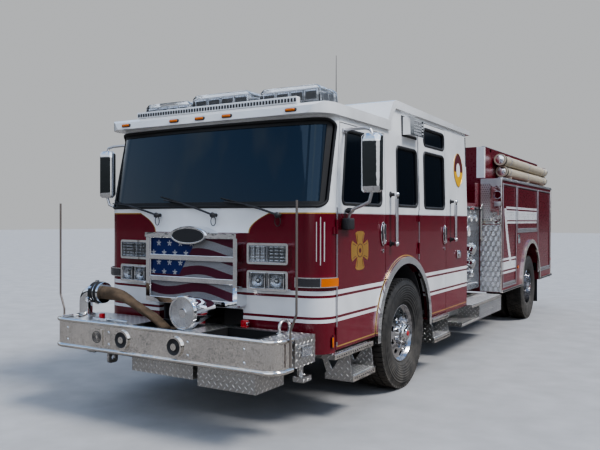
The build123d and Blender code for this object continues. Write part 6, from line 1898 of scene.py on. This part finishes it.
@dataclass
class CabInside:
    """Padded seats and bench, dashboard and steering wheel, in place of their plain blocks."""

    seat_x: tuple[float, float] = (0.56, 1.08)
    seat_y: tuple[float, float] = (-1.23, -0.73)
    seat_z: tuple[float, float] = (1.0603, 1.18)
    back_deep: float = 0.1
    rake: float = 0.11
    back_top: float = 1.9
    floor: float = FLOOR_TOP
    bench_half: float = 1.08
    bench_y: tuple[float, float] = (1.56, 2.0297)
    bench_z: tuple[float, float] = (1.1203, 1.24)
    bench_back: float = 0.11
    places: int = 3
    dash_half: float = 1.08
    dash: tuple[tuple[float, float], ...] = ((-1.69, 1.33), (-1.38, 1.33), (-1.3, 1.48), (-1.34, 1.69),
                                             (-1.42, 1.725), (-1.69, 1.745))
    wheel: tuple[float, float, float] = (0.8, -1.13, 1.66)
    wheel_radius: float = 0.225
    wheel_tilt: float = math.radians(55)

    def front_seat(self, name: str, side: int) -> None:
        """One front seat: cushion, raked back and head roll, with piping, on a boxed base."""
        x0, x1 = self.seat_x
        y0, y1 = self.seat_y
        z0, z1 = self.seat_z
        seat = Shape(f"front_seat_{name}")
        seat.pillow(at(x0, y0, z0), at(x1, y1, z1), VINYL, 2, (-0.45, 0.0, 0.45))
        foot = y1 - self.back_deep
        seat.pillow(at(x0 + 0.01, foot, z1 + 0.001), at(x1 - 0.01, y1 - 0.004, self.back_top - 0.15), VINYL, 1,
                    (-0.45, 0.0, 0.45), self.rake * 0.8)
        seat.pillow(at(x0 + 0.09, foot + self.rake * 0.86, self.back_top - 0.155),
                    at(x1 - 0.09, y1 + self.rake * 0.86, self.back_top - 0.004), VINYL, 1, (), 0.012)
        loop = [(x0 + 0.012, y0 + 0.012), (x1 - 0.012, y0 + 0.012), (x1 - 0.012, y1 - 0.012),
                (x0 + 0.012, y1 - 0.012)]
        piping = [at(lerp(ax, bx, n / 6), lerp(ay, by, n / 6), (z0 + z1) / 2 + 0.02)
                  for (ax, ay), (bx, by) in zip(loop, loop[1:] + loop[:1]) for n in range(6)]
        seat.tube(piping, 0.005, DARK, 8, True)
        self.put(seat if side > 0 else seat.mirrored(seat.name))
        base = Shape(f"front_seat_base_{name}")
        base.box(at(x0 + 0.06, y0 + 0.08, self.floor + 0.001), at(x1 - 0.06, y1 - 0.03, z0 - 0.001), DARK, 0.02)
        for y in (y0 + 0.075, y1 - 0.03):
            base.box(at(x0 + 0.1, y - 0.004, z0 - 0.16), at(x1 - 0.1, y + 0.006, z0 - 0.06), SATIN, 0.003)
        self.put(base if side > 0 else base.mirrored(base.name))

    def put(self, shape: Shape) -> None:
        """Finishes a piece that stands for part of the plain inside."""
        piece = shape.done(ROOT, "seat_vinyl", ("cab_interior",))

    def bench(self) -> None:
        """Three rear places side by side, each a cushion and a back, on a boxed base with legs."""
        y0, y1 = self.bench_y
        z0, z1 = self.bench_z
        bench = Shape("rear_bench")
        wide = 2 * self.bench_half / self.places
        for n in range(self.places):
            x0 = -self.bench_half + n * wide + 0.004
            x1 = x0 + wide - 0.008
            bench.pillow(at(x0, y0, z0), at(x1, y1 - self.bench_back, z1), VINYL, 2, (-0.4, 0.0, 0.4))
            bench.pillow(at(x0, y1 - self.bench_back, z0 + 0.01), at(x1, y1 - 0.002, self.back_top - 0.17),
                         VINYL, 1, (-0.4, 0.0, 0.4))
            bench.pillow(at(x0 + 0.17, y1 - self.bench_back, self.back_top - 0.165),
                         at(x1 - 0.17, y1 - 0.002, self.back_top - 0.004), VINYL, 1)
        self.put(bench)
        base = Shape("rear_bench_base")
        base.box(at(-0.4, 1.62, self.floor + 0.301), at(0.4, y1, z0 - 0.001), DARK, 0.012)
        for x0, x1 in ((0.52, 1.06), (-1.06, -0.52)):
            base.box(at(x0, 1.62, self.floor + 0.001), at(x1, 1.98, z0 - 0.001), DARK, 0.012)
        self.put(base)

    def dashboard(self) -> None:
        """The bowed dashboard with a row of dials, a bare panel and its switches."""
        board = Shape("dashboard")
        rings = []
        for n in range(25):
            x = lerp(-self.dash_half, self.dash_half, n / 24)
            nose = SKIN.front(x, 1.5, -0.064).y - AXLE_Y
            cowl = 0.012 * math.exp(-((abs(x) - 0.8) / 0.26) ** 4)
            rings.append([at(x, max(y, nose), z + (cowl if z > 1.6 else 0.0)) for y, z in self.dash])
        board.loft(rings, DARK)
        for x in (0.66, 0.8, 0.94):
            board.lathe(at(x, -1.322, 1.615), (0, 0.98, 0.18),
                        ((0.0, 0.0), (0.0, 0.052), (0.006, 0.052), (0.006, 0.046), (0.003, 0.045),
                         (0.003, 0.0)), SATIN, 28)
            board.rod(at(x, -1.3185, 1.6155), at(x, -1.3175, 1.6157), 0.044, GAUGE_WHITE, 28)
        board.box(at(-0.16, -1.326, 1.535), at(0.16, -1.302, 1.665), SMOKED, 0.006)
        board.repeat(Layout.GRID, Stamp.BLOCK, (0.022, 0.02, 0.034), BLACK, start=at(0.24, -1.306, 1.575),
                     step=(0.032, 0, 0), count=9, row_step=(0, -0.005, 0.055), rows=2)
        self.put(board)

    def steering(self) -> None:
        """The steering wheel with three spokes and a hub, on its column."""
        x, y, z = self.wheel
        axis = Vector((0, math.sin(self.wheel_tilt), math.cos(self.wheel_tilt)))
        up = Vector((0, -math.cos(self.wheel_tilt), math.sin(self.wheel_tilt)))
        across = Vector(ACROSS)
        centre = at(x, y, z)
        wheel = Shape("steering_wheel")
        wheel.tube([centre + self.wheel_radius * (across * math.cos(a) + up * math.sin(a)) for a in turns(48)],
                   0.0148, RUBBER, 12, True)
        for a in (math.radians(20), math.radians(160), math.radians(270)):
            reach = across * math.cos(a) + up * math.sin(a)
            wheel.rod(centre + reach * 0.04, centre + reach * (self.wheel_radius - 0.004), 0.013, SATIN, 12,
                      0.01)
        wheel.lathe(centre - axis * 0.026, axis,
                    ((0.0, 0.04), (0.004, 0.056), (0.034, 0.06), (0.046, 0.05), (0.05, 0.02), (0.05, 0.0)),
                    DARK, 36)
        wheel.rod(centre - axis * 0.298, centre - axis * 0.02, 0.0235, DARK, 20)
        self.put(wheel)

    def build(self) -> None:
        """Both front seats, the bench, the dashboard and the steering wheel."""
        for name, side in SIDES:
            self.front_seat(name, side)
        self.bench()
        self.dashboard()
        self.steering()


@dataclass
class Wheels:
    """Treaded tyres, nuts, hub covers and trims on the front and rear wheels."""

    front_radius: float = 0.555
    front_width: float = 0.4
    front_out: float = 1.235
    rear_radius: float = 0.545
    rear_width: float = 0.285
    rear_out: float = 1.235
    spacing: float = 0.33
    bead: float = 0.292
    groove: float = 0.014

    def tyre(self, name: str, centre: Vector, radius: float, width: float, finish: Finish, lugs: int) -> Shape:
        """A tyre with side wall rings, a shoulder and blocks of tread.

        Args:
            name: The piece's name.
            centre: The tyre's middle.
            radius: Its outer radius.
            width: Its full width.
            finish: Its rubber.
            lugs: Blocks in one row round the tread.

        Returns:
            The shape.
        """
        half = width / 2
        base = radius - self.groove
        wall = ((0.74, self.bead), (0.8, self.bead + 0.016), (0.84, self.bead + 0.02),
                (0.87, self.bead + 0.034), (0.96, self.bead + 0.085), (0.99, (self.bead + radius) / 2),
                (0.975, radius - 0.085), (0.95, radius - 0.068), (0.955, radius - 0.062), (0.9, radius - 0.04),
                (0.86, radius - 0.024), (0.8, base - 0.003))
        profile = [(-share * half, r) for share, r in wall] + [(share * half, r) for share, r in reversed(wall)]
        shape = Shape(name).lathe(centre, ACROSS, [*profile, profile[0]], finish, 96)
        shape.bm.faces.ensure_lookup_table()
        lids = [face for face in shape.bm.faces if len(face.verts) > 4]
        bmesh.ops.delete(shape.bm, geom=lids, context="FACES_ONLY")
        bmesh.ops.remove_doubles(shape.bm, verts=shape.bm.verts[:], dist=1e-5)
        rows = ((-0.66, 0.2), (-0.235, 0.15), (0.235, 0.15), (0.66, 0.2))
        pitch = 2 * math.pi * radius / lugs
        for index, (share, wide) in enumerate(rows):
            long = pitch * (0.8 if index in (0, 3) else 0.74)
            blocks = REPEATS.make(Layout.RIM, Stamp.BLOCK, (wide * width, long, self.groove + 0.008), finish,
                                  start=centre + Vector((share * half, 0, 0)),
                                  radius=base - 0.0025 + self.groove / 2 - 0.0045, count=lugs)
            if index % 2:
                spin = Matrix.Rotation(math.pi / lugs, 4, "X")
                blocks.transform(Matrix.Translation(centre) @ spin @ Matrix.Translation(-centre))
            shape.add(blocks, finish)
        return shape

    def front(self) -> None:
        """Both front tyres, with nuts and hub covers on their wheels."""
        for side_name, side in SIDES:
            centre = at(side * (self.front_out - self.front_width / 2), 0, FRONT_AXLE_Z)
            tyre = self.tyre(f"treaded_front_tyre_{side_name}", centre, self.front_radius, self.front_width,
                             FRONT_RUBBER, 64)
            tyre.done(f"front_wheel_{side_name}", "tyre_rubber", (f"front_tyre_{side_name}",), 30.0)
            face = centre.x + side * 0.13
            self.nuts(f"front_wheel_trim_{side_name}", f"front_wheel_{side_name}", at(face, 0, FRONT_AXLE_Z),
                      side, 0.048)

    def nuts(self, name: str, body: str, face: Vector, side: int, hub_reach: float) -> None:
        """Caps on the ring of nuts and a turned hub cover with a small red centre."""
        trim = Shape(name)
        trim.repeat(Layout.RING, Stamp.DOME, (0.03, 0.03, 0.024), CHROME,
                    start=face + Vector((side * 0.038, 0, 0)), radius=0.1425, count=10,
                    turn=(0, math.pi / 2, 0))
        out = Vector((side, 0, 0))
        base = face + out * (hub_reach - 0.012)
        trim.lathe(base, out,
                   ((0.0, 0.094), (0.006, 0.098), (0.016, 0.096), (0.022, 0.086), (0.034, 0.082), (0.04, 0.07),
                    (0.044, 0.05), (0.05, 0.046), (0.052, 0.0)), CHROME, 48)
        trim.lathe(base + out * 0.05, out, ((0.0, 0.026), (0.006, 0.024), (0.008, 0.0)), RED_PAINT, 24)
        trim.lathe(face + out * 0.002, out,
                   ((0.0, 0.17), (0.006, 0.176), (0.01, 0.182), (0.004, 0.188), (0.0, 0.188)), ALLOY, 64)
        trim.done(body, "chrome")

    def rear(self) -> None:
        """Twin rear tyres and the trims of the outer wheels."""
        for side_name, side in SIDES:
            outer = at(side * (self.rear_out - self.rear_width / 2), REAR_AXLE, REAR_AXLE_Z)
            shape = self.tyre(f"treaded_rear_tyres_{side_name}", outer, self.rear_radius, self.rear_width,
                              REAR_RUBBER, 56)
            inner = self.tyre("inner", outer - Vector((side * self.spacing, 0, 0)), self.rear_radius,
                              self.rear_width, REAR_RUBBER, 56)
            shape.add(inner.mesh(), REAR_RUBBER)
            shape.done(f"rear_wheels_{side_name}", "tyre_rubber", (f"rear_tyres_{side_name}",), 30.0)
            middle_x = side * (self.rear_out - self.rear_width / 2 - self.spacing / 2)
            self.nuts(f"rear_wheel_trim_{side_name}", f"rear_wheels_{side_name}",
                      at(middle_x + side * 0.014, REAR_AXLE, REAR_AXLE_Z), side, 0.155)

    def build(self) -> None:
        """Front wheels, then rear wheels."""
        self.front()
        self.rear()


@dataclass
class PumpBay:
    """Gauges, levers, capped connections and facing sheets of the pump bay."""

    panel_x: float = 0.9443
    wall_y: float = 3.66

    def gauges(self) -> None:
        """Round gauges with bare white faces and tick marks, and two large ones."""
        gauges = Shape("pump_gauges")
        x = self.panel_x + 0.018
        small = [(2.42 + n * 0.24, 1.72, 0.046) for n in range(5)]
        for y, z, radius in (*small, (2.78, 1.54, 0.075), (3.02, 1.54, 0.075)):
            gauges.lathe(at(self.panel_x, y, z), ACROSS,
                         ((0.0, radius + 0.01), (0.022, radius + 0.01), (0.028, radius + 0.002),
                          (0.028, radius - 0.006), (0.02, radius - 0.008)), CHROME, 32)
            gauges.rod(at(x, y, z), at(x + 0.004, y, z), radius - 0.004, GAUGE_WHITE, 28)
            for n in range(9):
                a = math.radians(-120 + 30 * n)
                gauges.rod(at(x + 0.0055, y + radius * 0.62 * math.sin(a), z + radius * 0.62 * math.cos(a)),
                           at(x + 0.0055, y + radius * 0.8 * math.sin(a), z + radius * 0.8 * math.cos(a)),
                           0.0018, DARK, 6)
            gauges.rod(at(x + 0.006, y, z), at(x + 0.006, y - radius * 0.45, z + radius * 0.42), 0.0024, DARK,
                       6)
        gauges.both().done(ROOT, "chrome")

    def levers(self) -> None:
        """Coloured grips and bare plates of the pull levers, and drain knobs below."""
        levers = Shape("pump_levers")
        for n in range(6):
            y = 2.36 + n * 0.2
            z = 1.86
            levers.rod(at(self.panel_x + 0.085, y - 0.046, z), at(self.panel_x + 0.085, y + 0.046, z), 0.0142,
                       RED_PAINT if n % 3 == 0 else DARK, 12)
            levers.box(at(self.panel_x, y - 0.032, z - 0.06), at(self.panel_x + 0.003, y + 0.032, z - 0.024),
                       CHROME)
        levers.repeat(Layout.GRID, Stamp.DRUM, (0.034, 0.034, 0.04), CHROME,
                      start=at(self.panel_x + 0.02, 2.34, 0.78), step=(0, 0.135, 0), count=9,
                      turn=(0, math.pi / 2, 0))
        levers.both().done(ROOT, "chrome")

    def cap(self, shape: Shape, y: float, z: float, radius: float, reach: float) -> None:
        """A bright cap on a connection, with a ring, lugs and a short chain."""
        x = self.panel_x
        shape.lathe(at(x, y, z), ACROSS,
                    ((0.0, radius * 0.78), (0.006, radius * 0.86), (reach * 0.55, radius * 0.8),
                     (reach * 0.6, radius), (reach * 0.9, radius), (reach, radius * 0.85),
                     (reach + 0.008, radius * 0.4), (reach + 0.008, 0.0)), CHROME, 40)
        shape.repeat(Layout.RIM, Stamp.BLOCK, (0.022, radius * 0.42, radius * 0.28), CHROME,
                     start=at(x + reach * 0.75, y, z), radius=radius, count=4)
        chain = [at(x + reach * 0.8 - 0.03 * n, y + radius + 0.012 * math.sin(n),
                    z - radius * 0.5 - 0.1 * math.sin(math.pi * n / 8)) for n in range(8)]
        shape.tube(chain, 0.0035, CHROME, 6)

    def connections(self) -> None:
        """Large intake and smaller outlets."""
        caps = Shape("pump_connections")
        for y, z, radius, reach in ((2.64, 1.18, 0.104, 0.16), (2.42, 1.0, 0.056, 0.125),
                                    (2.42, 1.33, 0.056, 0.125), (2.9, 0.96, 0.056, 0.125),
                                    (2.9, 1.33, 0.056, 0.125)):
            self.cap(caps, y, z, radius, reach)
        for y, z in ((2.39, 1.335), (2.356, 1.148)):
            x = 1.1
            caps.rod(at(self.panel_x + 0.08, y + 0.05, z), at(x, y, z), 0.04, CHROME, 20)
            caps.lathe(at(x, y, z), (1, 0, -0.25),
                       ((0.0, 0.052), (0.03, 0.06), (0.08, 0.06), (0.095, 0.072), (0.125, 0.072), (0.14, 0.058),
                        (0.146, 0.0)), CHROME, 32)
        caps.both().done(ROOT, "chrome")

    def facings(self) -> None:
        """Swirled, punched and plain sheets on the body's front wall, with a bare plate."""
        y = self.wall_y
        sheets = Shape("front_wall_sheets")
        sheets.box(at(0.95, y - 0.004, 0.635), at(1.257, y - 0.0005, 1.632), SWIRL)
        sheets.box(at(0.95, y - 0.006, 1.64), at(1.257, y - 0.0005, 2.322), POLISHED)
        sheets.box(at(0.955, y - 0.01, 1.7), at(1.095, y - 0.005, 2.245), MESH_PLATE)
        sheets.lathe(at(1.2, y - 0.006, 2.075), FORWARD,
                     ((0.0, 0.062), (0.004, 0.062), (0.005, 0.052), (0.003, 0.05), (0.003, 0.0)), CHROME, 32)
        sheets.box(at(1.15, y - 0.009, 1.905), at(1.25, y - 0.005, 1.975), SATIN, 0.003)
        sheets.repeat(Layout.GRID, Stamp.DOME, (0.012, 0.012, 0.006), CHROME, start=at(1.246, y - 0.004, 0.68),
                      step=(0, 0, 0.105), count=10, turn=(math.pi / 2, 0, 0))
        sheets.both().done(ROOT, "swirled_steel")

    def board(self) -> None:
        """Grip buttons on the running board and ribs down its locker front."""
        board = Shape("running_board_grip")
        board.repeat(Layout.GRID, Stamp.DOME, (0.016, 0.016, 0.008), SATIN, start=at(0.99, 2.17, 0.612),
                     step=(0, 0.045, 0), count=32, row_step=(0.05, 0, 0), rows=6)
        board.repeat(Layout.GRID, Stamp.BLOCK, (0.008, 1.09, 0.01), SATIN, start=at(1.2765, 3.04, 0.4),
                     step=(0, 0, 0.0215), count=9)
        board.box(at(1.2725, 2.135, 0.574), at(1.281, 3.598, 0.613), POLISHED, 0.003)
        board.both().done(ROOT, "tread_plate")

    def build(self) -> None:
        """All the pump bay's fittings."""
        self.gauges()
        self.levers()
        self.connections()
        self.facings()
        self.board()


@dataclass
class RearBody:
    """Lift bars, aluminium frames, lenses and tube ends on the rear body."""

    half: float = 1.26
    lockers: tuple[tuple[float, float, float, float], ...] = (
        (3.76, 4.56, 0.712, 2.23), (4.68, 6.15, 1.52, 2.23), (6.27, 7.34, 0.79, 2.23))
    front: float = 3.66
    rear: float = 7.46
    low: float = 0.627
    top: float = 2.325

    def lift_bars(self) -> None:
        """A lift bar at the foot of each roll up shutter."""
        bars = Shape("shutter_lift_bars")
        for y0, y1, z0, _ in self.lockers:
            bars.box(at(1.2455, y0 + 0.008, z0 + 0.004), at(1.262, y1 - 0.008, z0 + 0.046), SATIN, 0.006)
        bars.both().done(ROOT, "body_paint")

    def frames(self) -> None:
        """Aluminium channels round the lockers, corner posts and the drip rail."""
        frames = Shape("locker_frames")
        for y0, y1, z0, z1 in self.lockers:
            for y in (y0 - 0.026, y1 + 0.002):
                frames.box(at(1.2595, y, z0 - 0.024), at(1.268, y + 0.024, z1 + 0.024), SATIN, 0.003)
            frames.box(at(1.2595, y0, z1), at(1.268, y1, z1 + 0.022), SATIN, 0.003)
            frames.box(at(1.2595, y0, z0 - 0.022), at(1.268, y1, z0), SATIN, 0.003)
        frames.box(at(1.2595, self.front, self.top - 0.03), at(1.277, self.rear, self.top - 0.004), SATIN,
                   0.005)
        frames.box(at(1.2, self.front, self.top + 0.0005), at(1.27, self.rear, self.top + 0.012), TREAD, 0.003)
        frames.box(at(1.248, self.front - 0.008, self.low), at(1.266, self.front + 0.03, self.top), POLISHED,
                   0.004)
        frames.box(at(1.248, self.rear - 0.03, self.low), at(1.266, self.rear + 0.008, self.top), POLISHED,
                   0.004)
        frames.box(at(1.286, self.front + 0.01, self.low + 0.01), at(1.291, 4.93, self.low + 0.03), DARK)
        frames.box(at(1.286, 6.41, self.low + 0.01), at(1.291, self.rear - 0.01, self.low + 0.03), DARK)
        frames.both().done(ROOT, "polished_steel")

    def markers(self) -> None:
        """Amber and red side markers, mud flaps and filler doors by the rear arch."""
        marks = Shape("body_markers")
        marks.box(at(1.2605, 4.685, 0.925), at(1.272, 4.73, 0.972), AMBER, 0.004)
        marks.box(at(1.2605, 7.365, 0.925), at(1.272, 7.41, 0.972), RED_LENS, 0.004)
        marks.box(at(1.2605, 4.7, 1.33), at(1.268, 4.84, 1.47), CHROME, 0.006)
        marks.box(at(1.2605, 4.715, 1.345), at(1.2695, 4.825, 1.455), REFLECTOR, 0.004)
        marks.box(at(0.62, 6.395, 0.22), at(1.225, 6.403, 0.68), RUBBER, 0.003)
        marks.both().done(ROOT, "chrome")

    def tubes(self) -> None:
        """Bright caps with black bands on the suction tubes, clamps and small work lights."""
        ends = Shape("suction_tube_ends")
        for x, z, y0, y1 in ((1.096, 2.47, 4.34, 7.44), (1.11, 2.64, 4.18, 7.4)):
            ends.lathe(at(x, y0 - 0.042, z), BACK,
                       ((0.0, 0.0), (0.0, 0.06), (0.006, 0.076), (0.03, 0.082), (0.05, 0.082), (0.05, 0.0)),
                       CHROME, 36)
            ends.lathe(at(x, y0 + 0.002, z), BACK, band(0.052, 0.07, 0.092), RUBBER, 36)
            ends.lathe(at(x, y1 - 0.01, z), BACK, ((0.0, 0.07), (0.0, 0.092), (0.05, 0.092), (0.051, 0.0)),
                       CHROME, 36)
            ends.repeat(Layout.GRID, Stamp.DRUM, (0.1605, 0.1605, 0.02), TUBE_TAN, start=at(x, y0 + 0.12, z),
                        step=(0, 0.0585, 0), count=int((y1 - y0 - 0.2) / 0.0585), turn=(math.pi / 2, 0, 0))
            for y in (4.6, 5.9, 7.2):
                ends.lathe(at(x, y - 0.018, z), BACK, band(0.036, 0.07, 0.0835), SATIN, 32)
        for y in (4.02, 7.3):
            ends.rod(at(0.98, y, 2.72), at(0.98, y, 2.8), 0.01, CHROME, 12)
            ends.box(at(0.93, y - 0.05, 2.735), at(1.0, y + 0.05, 2.803), CHROME, 0.012)
        ends.both().done(ROOT, "suction_tube")

    def rear_face(self) -> None:
        """Lenses of the tail and warning lamps, and the channels round the rear shutter."""
        y = self.rear
        face = Shape("rear_face_fittings")
        for z, finish in ((1.02, RED_LENS), (1.16, AMBER), (1.3, CLEAR)):
            if finish is CLEAR:
                face.box(at(0.9985, y + 0.0155, z - 0.0485), at(1.1615, y + 0.0265, z + 0.0485), REFLECTOR,
                         0.002)
            face.box(at(0.998, y + 0.016, z - 0.049), at(1.162, y + 0.03, z + 0.049), finish, 0.003)
        face.box(at(1.0135, y + 0.0195, 2.1335), at(1.1865, y + 0.034, 2.2465), RED_LENS, 0.003)
        face.both()
        for x in (-0.555, 0.535):
            face.box(at(x, y + 0.0005, 0.93), at(x + 0.02, y + 0.024, 1.75), SATIN, 0.003)
        for z in (0.93, 1.73):
            face.box(at(-0.555, y + 0.0005, z), at(0.555, y + 0.024, z + 0.02), SATIN, 0.003)
        face.done(ROOT, "tread_plate")

    def bed(self) -> None:
        """Floor slats and a divider in the open hose bed."""
        bed = Shape("hose_bed_slats")
        bed.repeat(Layout.GRID, Stamp.BLOCK, (0.06, 3.66, 0.016), SATIN, start=at(-0.57, 5.58, 1.8485),
                   step=(0.095, 0, 0), count=13)
        for x in (-0.98, 0.98):
            bed.box(at(x - 0.022, self.front, 2.8005), at(x + 0.022, self.rear, 2.812), SATIN, 0.003)
        bed.done(ROOT, "polished_steel")

    def build(self) -> None:
        """All the body's fittings."""
        self.lift_bars()
        self.frames()
        self.markers()
        self.tubes()
        self.rear_face()
        self.bed()


@dataclass
class Steps:
    """Grip buttons and punched noses on the cab's steps."""

    def build(self) -> None:
        """Buttons on the treads and bright nosings."""
        grip = Shape("step_grips")
        for y0, y1, z, x in ((-1.56, -0.85, 0.606, 1.0), (-1.27, -0.85, 0.38, 1.03), (0.745, 1.255, 0.606, 1.0),
                             (0.75, 1.265, 0.395, 1.03)):
            count = int((y1 - y0) / 0.042)
            grip.repeat(Layout.GRID, Stamp.DOME, (0.018, 0.018, 0.009), SATIN, start=at(x, y0 + 0.02, z),
                        step=(0, 0.042, 0), count=count, row_step=(0.042, 0, 0), rows=6)
            edge = 1.25 if x == 1.0 else 1.27
            drop = 0.044 if x == 1.0 else 0.054
            grip.box(at(edge - 0.004, y0 - 0.01, z - drop), at(edge + 0.006, y1 + 0.012, z + 0.003), POLISHED,
                     0.004)
            grip.repeat(Layout.GRID, Stamp.DRUM, (0.012, 0.012, 0.004), DARK,
                        start=at(edge + 0.0065, y0 + 0.02, z - drop / 2), step=(0, 0.042, 0), count=count,
                        turn=(0, math.pi / 2, 0))
        grip.both().done(ROOT, "tread_plate")


@dataclass
class DeckGun:
    """Hand wheel, nozzle tip and bands on the deck gun."""

    y: float = 2.86
    z: float = 2.62

    def build(self) -> None:
        """Fittings of the gun's base and barrel."""
        base = Shape("gun_base_trim")
        base.lathe(at(0, self.y, 2.292), UP,
                   ((0.0, 0.06), (0.0, 0.105), (0.012, 0.11), (0.024, 0.07), (0.1, 0.06), (0.1, 0.056)), DARK,
                   36)
        wheel = [at(0.115, self.y + 0.075 * math.cos(a), 2.46 + 0.075 * math.sin(a)) for a in turns(28)]
        base.tube(wheel, 0.008, DARK, 8, True)
        base.rod(at(0.05, self.y, 2.46), at(0.122, self.y, 2.46), 0.012, CHROME, 12)
        for a in turns(3):
            base.rod(at(0.115, self.y, 2.46),
                     at(0.115, self.y + 0.075 * math.cos(a), 2.46 + 0.075 * math.sin(a)), 0.005, DARK, 8)
        base.done("deck_gun_base", "chrome")
        barrel = Shape("gun_barrel_trim")
        barrel.lathe(at(0, self.y - 0.4, self.z), FORWARD,
                     ((0.0, 0.046), (0.0, 0.06), (0.05, 0.064), (0.06, 0.06), (0.13, 0.06), (0.14, 0.064),
                      (0.165, 0.06), (0.165, 0.03), (0.06, 0.026)), DARK, 36)
        barrel.lathe(at(0, self.y - 0.1, self.z), FORWARD, band(0.03, 0.044, 0.052), DARK, 32)
        barrel.done("deck_gun_barrel", "chrome")


def main() -> None:
    """Builds the scene in order."""
    logging.basicConfig(level=logging.INFO, format="%(message)s")
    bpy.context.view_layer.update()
    Stage().build()
    FrontDeck().build()
    FrameFinishes().build()
    for assembly in (Grille(), NoseLamps(), Windscreen(), RoofLights(), Bumper(), CabSides(), CabInside(),
                     Wheels(), PumpBay(), RearBody(), Steps(), DeckGun()):
        assembly.build()
        log.info("%s done", type(assembly).__name__)


if __name__ == "__main__":
    main()
